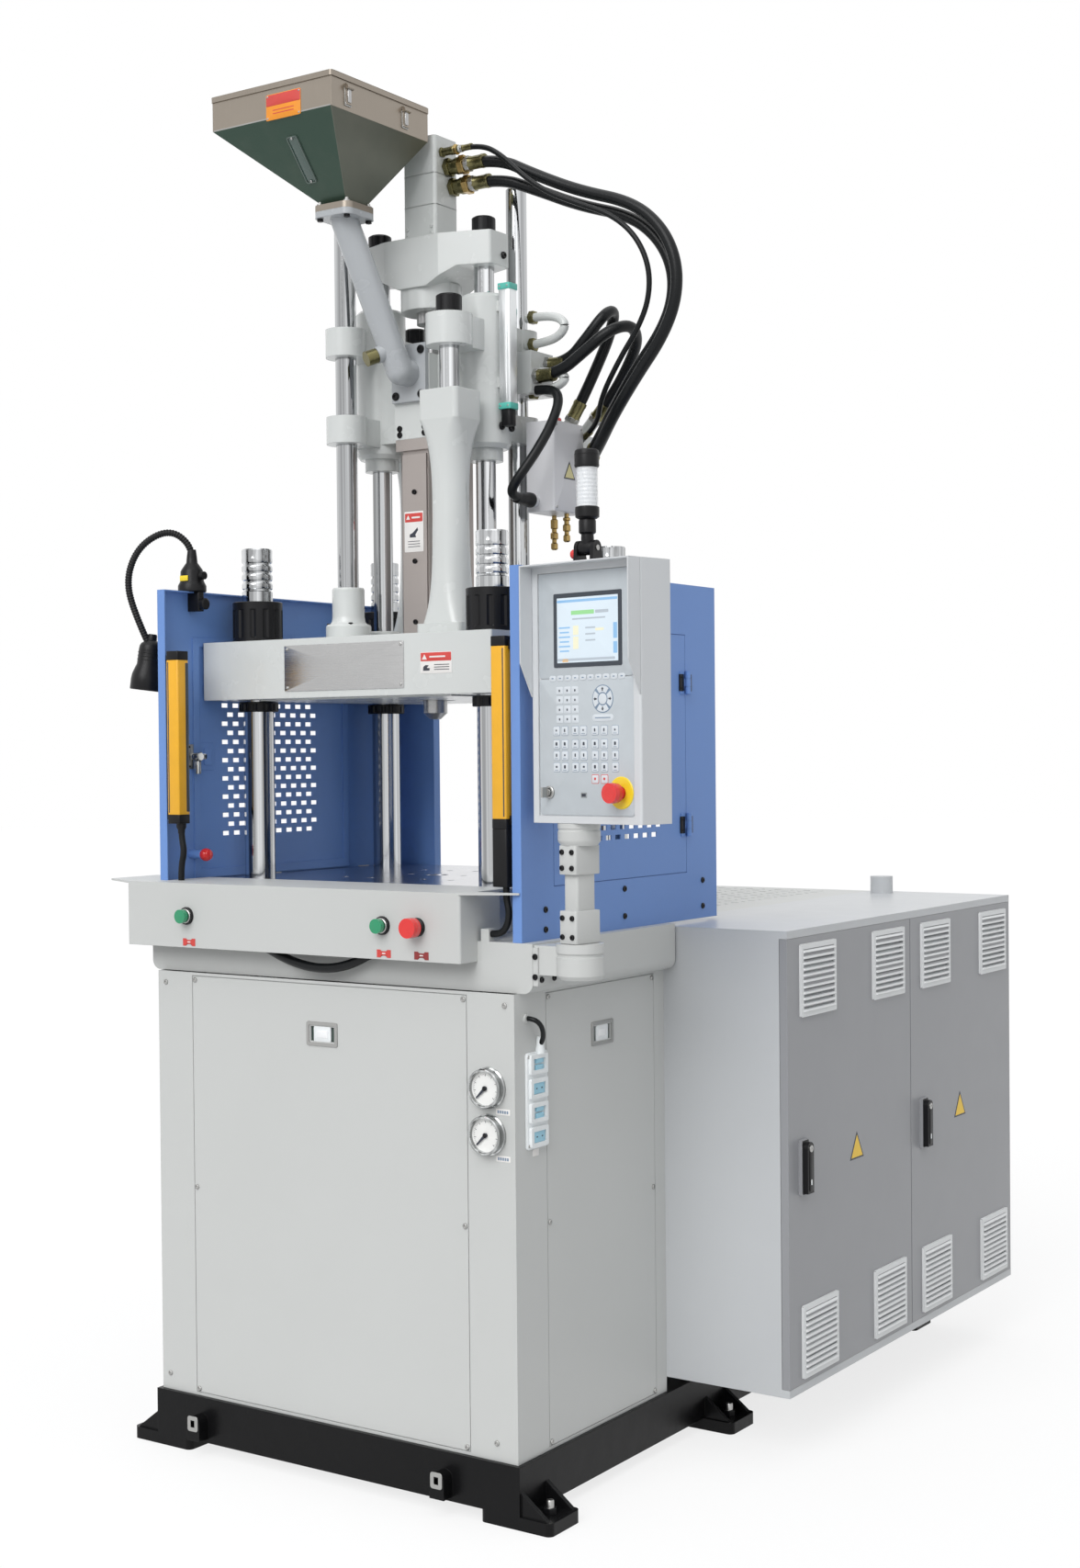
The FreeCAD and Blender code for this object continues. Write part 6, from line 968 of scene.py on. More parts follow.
class MACHINE_OT_guard_hardware(Operator):
    """Black hinges of the guard doors, and the left guard's latch and knob"""
    bl_idname = "machine.guard_hardware"
    bl_label = "Guard hardware"

    def execute(self, context):
        for side, fixed, door in ((1, "guard_hinges_right", "door_leaves_right"),
                                  (-1, "guard_hinges_left", "door_leaves_left")):
            axis = (side, 0, 0)
            leaves = Surface(fixed)
            swing = Surface(door)
            for z in (1367, 1682):
                leaves.add(slab(18, 38, 3.2, 2), "black_plastic", (side * (GUARD_OUT + 0.2), -226, z), axis)
                leaves.many(screw_head(2.6, 1.6), [(side * (GUARD_OUT + 3.4), -224, z + d)
                    for d in (-12, 12)], "black_oxide", axis)
                swing.add(slab(18, 38, 3.2, 2), "black_plastic", (side * (GUARD_OUT + 0.2), -260, z), axis)
                swing.many(screw_head(2.6, 1.6), [(side * (GUARD_OUT + 3.4), -262, z + d)
                    for d in (-12, 12)], "black_oxide", axis)
            leaves.make("machine", "black_plastic")
            swing.make("guard_door_right" if side > 0 else "guard_door_left", "black_plastic")
        latch = Surface("door_latch")
        wall, y, z = -GUARD_IN, -780.0, 1528.0
        latch.add(slab(40, 56, 1.2, 2), "zinc", (wall + 0.1, y, z), RIGHT)
        latch.add(lathe([(9, 0), (9, 9), (7, 10), (7, 16), (10, 17), (10, 21), (8.5, 22), (0.3, 22)], 28),
                  "chrome_ring", (wall + 0.8, y, z), RIGHT)
        latch.add(slab(46, 13, 5, 5, 1.2), "chrome_ring", (wall + 15.0, y, z), RIGHT)
        latch.add(lathe([(3, -2), (7, 0), (8, 2), (8, 26), (7, 29), (0.3, 30)], 28), "chrome_ring",
                  (wall + 12.0, y, z - 10), DOWN)
        latch.many(screw_head(2.6, 1.2), [(wall + 1.3, y + d, z + e) for d in (-15, 15) for e in (-22, 22)],
                   "black_oxide", RIGHT)
        latch.make("machine", "zinc")
        knob = Surface("guard_knob")
        knob.add(lathe([(4, -24), (4, 6), (12, 8), (14.5, 14), (14.5, 20), (11, 27), (4, 30)], 28),
                 "red_plastic", (-456, -793, 1307), RIGHT)
        knob.make("machine", "red_plastic")
        return {"FINISHED"}


class MACHINE_OT_light_curtains(Operator):
    """Yellow light-curtain bars with dark lens strips, end caps and brackets"""
    bl_idname = "machine.light_curtains"
    bl_label = "Light curtains"

    def execute(self, context):
        bars = Surface("curtain_bars")
        for x, side in ((-439, -1), (442, 1)):
            bars.add(slab(35, 35, 342, 3.5, 1.0), "curtain_yellow", (x, CURTAIN_Y, 1400))
            bars.many(slab(35.4, 35.4, 20, 3.5, 1.5), [(x, CURTAIN_Y, 1380), (x, CURTAIN_Y, 1742)],
                      "black_plastic")
            bars.add(slab(9, 330, 1.2, 2.0, 0.5), "screen_rim", (x - side * 17.0, CURTAIN_Y + 11, 1571),
                     (-side, 0, 0))
            bars.add(slab(3, 334, 0.8, 1.0, 0.3), "screen_rim", (x + side * 12.0, CURTAIN_Y - 17, 1571),
                     FRONT)
            wall = side * GUARD_IN
            near = x + side * 17.5
            for z in (1397.5, 1744.5):
                bars.add(slab(abs(wall - near), 26, 17.5, 1.5), "black_plastic",
                         ((wall + near) / 2, CURTAIN_Y + 6, z - 8.75))
        bars.add(slab(35, 35, 115, 3.5, 1.0), "black_plastic", (442, CURTAIN_Y, 1265))
        bars.many(lathe([(11, 0), (11, 8), (8, 14), (7.6, 22)], 20), [(-432, CURTAIN_Y, 1380)],
                  "black_plastic", DOWN)
        bars.make("machine", "yellow_paint", ("light_curtains",))
        return {"FINISHED"}


# ---- operator panel --------------------------------------------------------
FILM_CORNER = (517.0, -894.0, 1393.0)


class PanelSurface(Surface):
    """Shapes that lie on the operator panel's film."""

    def add(self, grid, finish, x, z, rise=0.0, loop=False):
        """A shape drawn about Z, put at x and z from the housing's lower left corner."""
        left, film, low = FILM_CORNER
        flat = aim(grid, (left + x, film - rise, low + z), FRONT)
        self.skin(swung(flat, *POST_AXIS, PANEL_TURN), finish, loop)


ARROW = np.array([(0, 1), (-0.8, 0.1), (-0.35, 0.1), (-0.35, -0.8), (0.35, -0.8), (0.35, 0.1), (0.8, 0.1)])
TRIANGLE = np.array([(math.cos(a), math.sin(a)) for a in np.radians((90, 210, 330))])


def turned_outline(outline, degrees):
    """Points of (x, y), turned about their origin: x cos a - y sin a, x sin a + y cos a."""
    a = math.radians(degrees)
    return np.array(outline) @ np.array([[math.cos(a), math.sin(a)], [-math.sin(a), math.cos(a)]])


def stop_head(radius, height):
    """A stop button's head: a half profile of waist, rolled rim and dished top, turned round Z."""
    return lathe([(radius * 0.62, 0), (radius * 0.70, 3.2), (radius * 0.93, 4.2), (radius, 6.5),
                  (radius, height * 0.62), (radius * 0.97, height * 0.80), (radius * 0.88, height * 0.92),
                  (radius * 0.72, height * 0.975), (radius * 0.50, height * 0.955),
                  (radius * 0.02, height * 0.93)], 48)


class MACHINE_OT_operator_panel(Operator):
    """The operator panel's film, lit screen, keys, arrow pad and switch collars"""
    bl_idname = "machine.operator_panel"
    bl_label = "Operator panel"

    def execute(self, context):
        rise = context.scene.machine_sizes.key_rise / MM
        sunk, top = -0.4, rise - 0.5
        middle, screen, pad = 142.5, (149, 373), (187, 239)
        stop, key, port = (233, 60), (46, 60), (136, 55)
        display = PanelSurface("panel_display")
        display.add(slab(246, 204, 2.0, 7), "film_blue", middle, 383.5, -2.0)
        display.add(tray(178, 144, 2.6, 9, 3.5), "screen_rim", *screen, -1.2, loop=True)
        display.add(slab(164, 130, 0.9, 1), "screen_lit", *screen, 0.0)
        left, low = screen[0] - 80, screen[1] - 63
        marks = [(12, 119, 24, 3, "screen_blue"), (80, 119, 156, 5, "screen_blue"),
                 (68, 96, 60, 8, "screen_green"), (118, 96, 34, 6, "screen_grey"),
                 (84, 84, 86, 3, "screen_grey"), (50, 62, 14, 18, "screen_cream"),
                 (50, 38, 14, 24, "screen_cream"), (112, 62, 22, 5, "screen_cream"),
                 (152, 58, 10, 30, "screen_blue"), (152, 26, 10, 22, "screen_blue"),
                 (76, 6, 150, 5, "screen_grey"), (22, 5, 16, 6, "screen_orange")]
        marks += [(20, 68 - 9 * row, 30 - 5 * (row % 2), 3, "screen_blue") for row in range(6)]
        marks += [(88, 66 - 12 * row, 26, 3, "screen_grey") for row in range(3)]
        for x, z, width, height, finish in marks:
            display.add(mark(width, height, 0.35, 0.8), finish, left + x, low + z, 0.85)
        display.make("panel", "screen_dark", ("hmi_screen",))
        keys = PanelSurface("panel_keys")
        keys.add(slab(246, 264, 2.0, 7), "film_blue", middle, 148.0, -2.0)
        for index in range(10):
            x = 56 + index * 20.0
            keys.add(slab(18.6, 11, rise, 5.2), "key_white", x, 281, sunk)
            keys.add(mark(6, 2.2, 0.3, 1), "print_blue", x, 281, top)
        for row in range(4):
            for column in range(3):
                x, z = 74 + column * 20.5, 257 - row * 18.5
                keys.add(slab(18, 15, rise, 2.4), "key_white", x, z, sunk)
                keys.add(mark(3.5, 4.5, 0.3, 0.8), "dark_print", x, z, top)
        columns = (65, 87, 114.5, 137, 166, 190, 218)
        for row, z in enumerate((179, 153, 131, 108.5)):
            for column, x in enumerate(columns):
                if row == 0 and column == 3:
                    x = 136
                keys.add(slab(18.5, 19, 0.5, 3.0), "print_blue", x, z, sunk)
                keys.add(slab(17.0, 17.4, rise, 2.6), "key_white", x, z, sunk)
                tall = 6.5 if (row + column) % 3 else 4.0
                keys.add(mark(5.0 if row % 2 else 3.4, tall, 0.3, 0.9), "dark_print", x, z + 1, top)
                keys.add(mark(9, 1.1, 0.3, 0.4), "print_blue", x, z - 5.6, top)
        for x in (166, 190):
            keys.add(slab(19, 18, 0.6, 3.0), "red_film", x, 86, sunk)
            keys.add(slab(16.6, 15.6, rise, 2.4), "key_white", x, 86, sunk)
            keys.add(mark(5, 5, 0.3, 1), "red_film", x, 86.5, top)
        keys.add(slab(54, 13, rise, 5.5), "key_white", 187, 203, sunk)
        keys.add(mark(40, 2, 0.3, 0.8), "print_blue", 187, 203, top)
        keys.add(lathe([(27, 0), (27, 0.5), (26.4, 0.7), (1, 0.7)], 48), "print_blue", *pad, sunk)
        for turn in range(4):
            t = np.radians(np.linspace(-38, 38, 12)) + turn * np.pi / 2
            band = np.concatenate([np.stack([25 * np.sin(t), 25 * np.cos(t)], 1),
                                   np.stack([13 * np.sin(t[::-1]), 13 * np.cos(t[::-1])], 1)])
            keys.add(prism(band[::-1], rise, 0.2), "key_white", *pad, -0.3)
            x, z = pad + np.array([math.sin(turn * math.pi / 2), math.cos(turn * math.pi / 2)]) * 18.5
            pointer = turned_outline(4.2 * ARROW, -90 * turn)
            keys.add(prism(pointer[::-1], 0.3, 0.05), "dark_print", x, z, rise - 0.4)
        keys.add(lathe([(10.5, 0), (10.5, rise), (9, rise + 0.4), (1, rise + 0.5)], 32), "key_white", *pad,
                 -0.3)
        keys.add(tray(16, 11, 1.2, 2.2, 2.0), "grey_plastic", *port, -0.2, loop=True)
        keys.add(slab(11.5, 6.5, 0.4, 1.0), "dark_print", *port, 0.0)
        keys.add(lathe([(31, 0), (31, 1.2), (29.5, 2.2), (16, 2.6), (12.5, 2.6), (12.5, 0)], 56),
                 "yellow_plastic", *stop, 0.0, loop=True)
        keys.add(lathe([(12.5, 0), (12.5, 3.2), (11, 4.6), (8, 5.0), (8, 0)], 36), "zinc", *key, 0.0,
                 loop=True)
        keys.make("panel", "keypad_blue", ("hmi_keypad",))
        crown = PanelSurface("panel_stop_cap")
        crown.add(stop_head(19.6, 21.6), "red_plastic", *stop, 15.5)
        crown.make("panel_stop", "red_plastic")
        return {"FINISHED"}


# ---- apron -----------------------------------------------------------------
class MACHINE_OT_apron_controls(Operator):
    """Bezels, lenses, stop cap, tags and cable glands of the apron"""
    bl_idname = "machine.apron_controls"
    bl_label = "Apron controls"

    def execute(self, context):
        bezels = Surface("button_bezels")
        ring = lathe([(12.5, 0), (12.5, 6.4), (16, 7.2), (18.6, 5.6), (19.2, 3.5), (19.2, 0)], 48)
        for x in (BUTTON_LEFT, BUTTON_RIGHT):
            bezels.add(ring, "black_plastic", (x, APRON_FACE, BUTTON_Z), FRONT, loop=True)
            bezels.add(lathe([(11.6, 5.8), (11.6, 8), (14, 8.4), (15.6, 7.2), (15.6, 5.8)], 40), "zinc",
                       (x, APRON_FACE, BUTTON_Z), FRONT, loop=True)
        bezels.add(ring, "black_plastic", (STOP_X, APRON_FACE, BUTTON_Z), FRONT, loop=True)
        bow = [(-18, 8), (-18, -8), (-9, -8), (-6, -4), (6, -4), (9, -8), (18, -8), (18, 8), (9, 8), (6, 5),
               (-6, 5), (-9, 8)]
        for x, finish in ((-347, "red_film"), (190, "red_film"), (285.6, "dark_red_film")):
            bezels.add(prism(bow, 0.7, 0.15), finish, (x, APRON_FACE, 1126), FRONT)
            bezels.add(mark(9, 2.4, 0.4, 0.8), "white_film", (x, APRON_FACE - 0.6, 1126.5), FRONT)
        bezels.make("machine", "black_plastic")
        for name, x, body in (("start_lens_left", BUTTON_LEFT, "button_left"),
                              ("start_lens_right", BUTTON_RIGHT, "button_right")):
            lens = Surface(name)
            lens.add(lathe([(14.6, 0), (14.9, 1.0), (14.9, 7.6), (13.6, 9.9), (9, 10.6), (0.3, 10.9)], 44),
                     "green_plastic", (x, APRON_FACE - 13.6, BUTTON_Z), FRONT)
            lens.make(body, "green_plastic")
        cap = Surface("apron_stop_cap")
        cap.add(stop_head(20.4, 23.0), "red_plastic", (STOP_X, APRON_FACE - 13.3, BUTTON_Z), FRONT)
        cap.make("stop_button", "red_plastic")
        glands = Surface("apron_glands")
        for x, way in ((-225, 1), (205, -1)):
            glands.add(lathe([(15, -26), (15, 0), (12.5, 4), (12, 12), (10.8, 20)], 24), "black_plastic",
                       (x, APRON_BACK, 1130), (way, 0, 0))
        glands.make("machine", "black_plastic")
        return {"FINISHED"}


# ---- gauges and socket strip -----------------------------------------------
GAUGE_X, GAUGE_HEIGHTS = 418.4, (774, 867)
TAG_X, TAG_HEIGHTS = 452, (728, 821)


class MACHINE_OT_gauges(Operator):
    """Two pressure gauges with bright rims, white dials, ticks and tags"""
    bl_idname = "machine.gauges"
    bl_label = "Pressure gauges"

    def execute(self, context):
        gauges = Surface("gauge_cases")
        for z in GAUGE_HEIGHTS:
            at = (GAUGE_X, CASE_FRONT, z)
            gauges.add(lathe([(40.2, 0), (41, 1.2), (41, 4), (38.5, 6), (38, 14), (39, 16), (39.2, 20),
                              (37.5, 22), (34.6, 22), (33.6, 20.5), (33.4, 12), (33.4, 12)], 72),
                       "chrome_ring", at, FRONT, loop=True)
            gauges.add(lathe([(33.6, 10.4), (33.6, 12.6), (1, 12.6)], 56), "dial_white", at, FRONT)
            for index in range(41):
                a = math.radians(225 - index * 270 / 40)
                major = index % 5 == 0
                length, width = (5.0, 1.1) if major else (2.6, 0.5)
                middle = 29.5 - length / 2
                bar = turned_outline([(-width / 2, -length / 2), (width / 2, -length / 2),
                                      (width / 2, length / 2), (-width / 2, length / 2)],
                                     math.degrees(a) - 90)
                gauges.add(prism(bar, 0.35, 0.05), "dark_print",
                           (GAUGE_X + middle * math.cos(a), CASE_FRONT - 12.5, z + middle * math.sin(a)),
                           FRONT)
            gauges.add(lathe([(4.4, 12), (4.4, 17.5), (3.2, 18.6), (0.3, 18.8)], 24), "black_oxide", at,
                       FRONT)
            gauges.many(screw_head(2.4, 1.6), [(GAUGE_X + 36 * math.cos(a), CASE_FRONT - 18,
                z + 36 * math.sin(a)) for a in (0.4, 2.5, 4.6)], "zinc", FRONT)
        gauges.make("machine", "stainless", ("pressure_gauges",), 28)
        tags = Surface("gauge_tags")
        for z in TAG_HEIGHTS:
            tags.add(slab(34, 12, 0.8, 1.5), "white_film", (TAG_X, CASE_FRONT, z), FRONT)
            tags.many(mark(4, 6, 0.4, 0.6), [(TAG_X + d, CASE_FRONT - 0.7, z)
                for d in (-11, -5.5, 0, 5.5, 11)], "print_blue", FRONT)
        tags.add(slab(22, 14, 0.8, 1.5), "white_film", (CASE_RIGHT, -836, 733), RIGHT)
        tags.make("machine", "white_plastic")
        return {"FINISHED"}


class MACHINE_OT_socket_strip(Operator):
    """White socket strip with blue rocker switches and recessed sockets"""
    bl_idname = "machine.socket_strip"
    bl_label = "Socket strip"

    def execute(self, context):
        strip = Surface("socket_block")
        middle, pitch = -835.5, 48.25
        strip.add(slab(73, 193, 6.0, 6, 1.5), "white_plastic", (CASE_RIGHT, middle, 838.5), RIGHT)
        for index in range(4):
            z = 742 + (index + 0.5) * pitch
            strip.add(tray(61, 41, 6.4, 9, 4), "white_plastic", (CASE_RIGHT + 5.6, middle, z), RIGHT,
                      loop=True)
            if index % 2:
                for row in range(2):
                    strip.add(slab(26, 15, 4.6, 1.8, 1.0), "sky_plastic",
                              (CASE_RIGHT + 6, middle + 3, z - 9 + 18 * row), RIGHT)
            else:
                strip.add(slab(38, 22, 4.4, 2, 0.8), "sky_plastic", (CASE_RIGHT + 6, middle, z), RIGHT)
                for side in (-9, 9):
                    strip.add(mark(5, 2.4, 0.4, 0.8), "dark_print", (CASE_RIGHT + 10.3, middle + side, z),
                              RIGHT)
        strip.many(screw_head(3.2, 1.6), [(CASE_RIGHT + 6, middle + dy, z) for dy in (-31, 31)
            for z in (750, 927)], "zinc", RIGHT)
        strip.add(lathe([(9.5, 0), (9.5, 9), (8.2, 13), (7.4, 24), (6.2, 34)], 24), "white_plastic",
                  (CASE_RIGHT + 6.5, -826, 930), UP)
        strip.make("machine", "white_plastic", ("socket_strip",))
        return {"FINISHED"}


# ---- lamps -----------------------------------------------------------------
class MACHINE_OT_signal_lamp(Operator):
    """Folding signal lamp with a clear lens, ribbed inside"""
    bl_idname = "machine.signal_lamp"
    bl_label = "Signal lamp"

    def execute(self, context):
        lamp = Surface("signal_column")
        at = (*SIGNAL_AXIS, 0)
        lamp.add(lathe([(10, 1940), (13, 1952), (13.5, 1972), (13, 1980), (16, 1982), (18, 1984),
                        (18, 2008), (16.5, 2011), (21, 2013), (25, 2016), (25.4, 2030), (25, 2036),
                        (22, 2038)], 48), "black_plastic", at)
        ribs = np.linspace(0, 20 * np.pi, 161)
        wall = np.stack([21.0 + 0.45 * np.cos(ribs), 2038 + 82 * ribs / ribs[-1]], 1)
        lamp.add(lathe(wall, 40), "frosted", at)
        lamp.add(lathe([(22.9, 2036), (22.9, 2122)], 48), "lens", at)
        lamp.add(lathe([(23.4, 2118), (25.5, 2120), (25.5, 2149), (24.4, 2153), (21, 2155.4), (0.5, 2156)],
                       48), "black_plastic", at)
        lamp.many(lathe([(25.9, 2122), (26.0, 2123), (25.9, 2124), (25.4, 2124), (25.4, 2122)], 48),
                  [at, (*SIGNAL_AXIS, 22)], "black_plastic")
        lamp.add(lathe([(14.5, -15.6), (15, -14), (15, 14), (14.5, 15.6)], 32), "black_plastic",
                 (*SIGNAL_AXIS, 1952), RIGHT)
        lamp.add(lathe([(6, -26), (6, 26)], 20), "zinc", (*SIGNAL_AXIS, 1952), RIGHT)
        lamp.make("lamp", "lens_clear", ("signal_lamp",))
        knob = Surface("signal_knob")
        knob.add(lathe([(5, 0), (9.5, 1), (10, 4), (10, 10), (8, 13), (0.5, 13.6)], 24), "red_plastic",
                 (458.5, SIGNAL_AXIS[1], 1941), LEFT)
        knob.add(lathe([(33, 0), (33, 3), (29, 9), (22, 12), (15, 13)], 40), "black_plastic",
                 (484, -620, 1900))
        knob.make("machine", "black_plastic")
        return {"FINISHED"}


class MACHINE_OT_work_lamp(Operator):
    """Work lamp: a switch housing, a ribbed gooseneck and a shade with its lens"""
    bl_idname = "machine.work_lamp"
    bl_label = "Work lamp"

    def execute(self, context):
        lamp = Surface("work_lamp_arm")
        lamp.add(lathe([(30, 1900), (32, 1902), (32, 1914), (29, 1920), (26.5, 1925), (26, 1946),
                        (23, 1952), (16, 1962), (13, 1966), (11.5, 1980), (9.4, 1996)], 40),
                 "black_plastic", (*LAMP_FOOT, 0))
        lamp.add(slab(24, 3, 12, 1.2, 0.6), "yellow_plastic", (-480, -811.6, 1924))
        path = bowed([(*LAMP_FOOT, 1975), (*LAMP_FOOT, 2006), (-522, -813, 2044), (-578, -851, 2008),
                      (-604, -868, 1936), (-592, -860, 1860), (-559, -838, 1772)], 420)
        pitch = context.scene.machine_sizes.rib_pitch / MM
        along = np.concatenate([[0], np.cumsum(np.linalg.norm(np.diff(path, axis=0), axis=1))])
        lamp.skin(tube(path, 7.6 + 0.55 * np.cos(2 * np.pi * along / pitch), 18, (0.7, 0.7, 0.1)),
                  "black_plastic")
        top, tip = np.array([-559.0, -838, 1772]), np.array([-568.0, -844, 1688])
        axis = unit(tip - top)
        lamp.add(lathe([(9, -34), (10.5, -31), (11, -20), (23, -12), (26, -6), (27, 4), (27.5, 36),
                        (30, 42), (35.5, 58), (37, 70), (37, 92), (36, 94), (34.5, 94), (33.5, 82),
                        (19, 70)], 56), "black_plastic", top, axis)
        lamp.many(lathe([(27.9, 0), (28.3, 1), (27.9, 2), (26, 2), (26, 0)], 40),
                  [top + axis * d for d in (8, 16, 24)], "black_plastic", axis)
        lamp.add(lathe([(33.6, 80), (33.6, 84), (20, 87), (0.5, 88)], 36), "frosted", top, axis)
        lamp.add(slab(44, 18, 46, 3, 1.5), "black_plastic", (-474, -785, 1856))
        lamp.add(lathe([(6, 0), (6, 16), (13, 17), (13, 27), (10, 29), (0.4, 29)], 24), "black_plastic",
                 (-466, -785, 1872), RIGHT)
        lamp.make("machine", "black_plastic", ("work_lamp",))
        return {"FINISHED"}


# ---- electrical cabinet ----------------------------------------------------
def triangle_field(surface, face, y, z, size, inner, fill, rises):
    """A dark triangle with a coloured one on it, on a face that looks right, each drawn in a circle."""
    surface.add(prism(TRIANGLE * size, rises[1], 0.2), "dark_print", (face + rises[0], y, z), RIGHT)
    surface.add(prism(TRIANGLE * inner, 0.5, 0.1), fill, (face + rises[2], y, z), RIGHT)


class MACHINE_OT_electrical_trim(Operator):
    """Louvred vents, handle plates and triangular fields of the electrical doors, and the deck's tread"""
    bl_idname = "machine.electrical_trim"
    bl_label = "Electrical trim"

    def execute(self, context):
        count = context.scene.machine_sizes.louvres
        for part, spans, handle, sign in (("front", ((-276, -108), (84.5, 252.5)), -267, (0, 643)),
                                          ("rear", ((352.5, 520.5), (712, 880)), 361.5, (586, 652))):
            trim = Surface("door_trim_" + part)
            for low, high in spans:
                for bottom in (185, 960):
                    middle, width = (low + high) / 2, high - low
                    centre = (DOOR_FRAME, middle, bottom + 77.5)
                    trim.add(tray(width + 2, 157, 6.0, 11, 4), "vent_white", centre, RIGHT, loop=True)
                    trim.add(slab(width - 12, 140, 0.6, 2, 0.2), "grey_plastic",
                             (DOOR_FRAME + 0.1, middle, bottom + 77.5), RIGHT)
                    pitch = 139.0 / count
                    blade = np.array([(0, -0.24), (6.0, -0.34), (8.6, -0.30), (9.0, -0.20), (7.6, -0.02),
                                      (2.0, 0.26), (0, 0.28)])
                    y = np.array([low + 9.0, low + 9.8, high - 9.8, high - 9.0])
                    thin = np.array([0.8, 1, 1, 0.8])
                    for index in range(count):
                        z = bottom + 8 + (index + 0.5) * pitch
                        grid = np.stack([DOOR_FRAME + 0.6 + blade[:, :1] * thin, np.tile(y, (7, 1)),
                                         z + blade[:, 1:] * pitch * thin], -1)
                        trim.skin(grid, "vent_white")
            trim.add(slab(30, 116, 1.6, 4, 0.8), "black_plastic", (DOOR_FRAME + 7, handle, 639), RIGHT)
            y, z = sign
            triangle_field(trim, DOOR_FRAME, y, z - 10, 40.5, 33.0, "yellow_film", (-0.3, 0.9, 0.3))
            trim.make("cabinet_door_" + part, "white_plastic")
        for part, handle in (("front", -267), ("rear", 361.5)):
            lever = Surface("lever_trim_" + part)
            lever.add(slab(16, 88, 2.4, 5, 1.2), "black_plastic", (803.6, handle, 632), RIGHT)
            lever.add(lathe([(7.5, 0), (7.5, 2.6), (6, 3.2), (2.4, 3.2), (2.2, 1.6), (0.3, 1.6)], 28),
                      "zinc", (803.9, handle, 680), RIGHT)
            lever.add(slab(5, 12, 0.7, 1.2, 0.2, 2, 2), "white_plastic", (805.8, handle, 608), RIGHT)
            lever.make("handle_" + part, "black_plastic")
        deck = Surface("deck_tread")
        x, y = np.meshgrid(np.arange(-330, 330, 44.0), np.arange(40, 860, 44.0), indexing="ij")
        lozenge = lathe([(11, 0), (9, 0.9), (4, 1.2), (0.3, 1.3)], 6) * np.array([1.0, 0.42, 1.0])
        for index, (px, py) in enumerate(zip(x.ravel(), y.ravel())):
            turn = 45 if index % 2 else -45
            deck.add(swung(lozenge, 0, 0, turn), "sheet_paint", (px, py, 1148))
        deck.make("machine", "paint_grey")
        return {"FINISHED"}


# ---- plates and labels -----------------------------------------------------
def stick(surface, face, fields):
    """Thin shapes on a front face, each with its finish, x, rise off the face and z."""
    for shape, finish, x, rise, z in fields:
        surface.add(shape, finish, (x, face - rise, z), FRONT)


class MACHINE_OT_plates(Operator):
    """Bare plate and plain fields of colour"""
    bl_idname = "machine.plates"
    bl_label = "Plates and labels"

    def execute(self, context):
        plate = Surface("name_plate")
        plate.add(slab(333, 101, 1.6, 3, 0.5), "name_steel", (-68.5, PLATEN_FRONT, 1720.5), FRONT)
        plate.many(screw_head(3.2, 1.8, False), [(x, PLATEN_FRONT - 1.6, z) for x in (-227, 90)
                                                 for z in (1678, 1763)], "zinc", FRONT)
        blot = [(-9, -6), (8, -6), (9, -1), (1, 0), (6, 5), (-2, 6), (-8, 2)]
        stick(plate, PLATEN_FRONT, [
            (slab(82, 45, 0.6, 2, 0.2), "white_film", 183, 0, 1721.5),
            (slab(80, 18, 0.4, 1.6, 0.1), "red_film", 183, 0.5, 1734),
            (prism([(0, 6), (-6.5, -5), (6.5, -5)], 0.3, 0.05), "white_film", 153, 0.9, 1733.5),
            (mark(42, 3.4, 0.3, 1), "white_film", 187, 0.9, 1734),
            (prism(blot, 0.3, 0.05), "dark_print", 158, 0.6, 1711),
            *((mark(40, 1.6, 0.3, 0.5), "dark_print", 198, 0.6, z) for z in (1717, 1712, 1707))])
        plate.make("clamp", "stainless")
        label = Surface("cover_labels")
        blot = [(-12, -12), (6, -12), (4, -6), (12, 4), (10, 10), (2, 3), (-4, -2), (-12, -5)]
        stick(label, COVER_FACE, [
            (slab(54, 92, 0.6, 2, 0.2), "white_film", -79, 0, 2035),
            (slab(50, 20, 0.4, 1.6, 0.1), "red_film", -79, 0.5, 2067),
            (mark(24, 4, 0.3, 1), "white_film", -73, 0.9, 2067),
            (prism([(0, 6), (-5.5, -4), (5.5, -4)], 0.3, 0.05), "white_film", -95, 0.9, 2067),
            (prism(blot, 0.3, 0.05), "dark_print", -79, 0.6, 2034),
            *((mark(34, 1.4, 0.3, 0.4), "dark_print", -79, 0.6, z) for z in (2013, 2007, 2001))])
        stick(label, HOPPER_FRONT, [
            (slab(98, 56, 0.9, 3, 0.3), "orange_film", -171.5, 0, 2936.5),
            (slab(96, 24, 0.5, 2, 0.2), "red_film", -171.5, 0.8, 2951),
            *((mark(60, 2.0, 0.3, 0.6), "red_film", -171.5, 0.8, z) for z in (2929, 2922)),
            *((screw_head(2.2, 1.4, False), "zinc", x, 0.9, z) for x in (-216, -127) for z in (2913, 2960))])
        triangle_field(label, 214.2, -283, 2164, 27, 21.5, "pale_yellow", (0, 0.8, 0.6))
        label.make("carriage", "white_plastic")
        return {"FINISHED"}


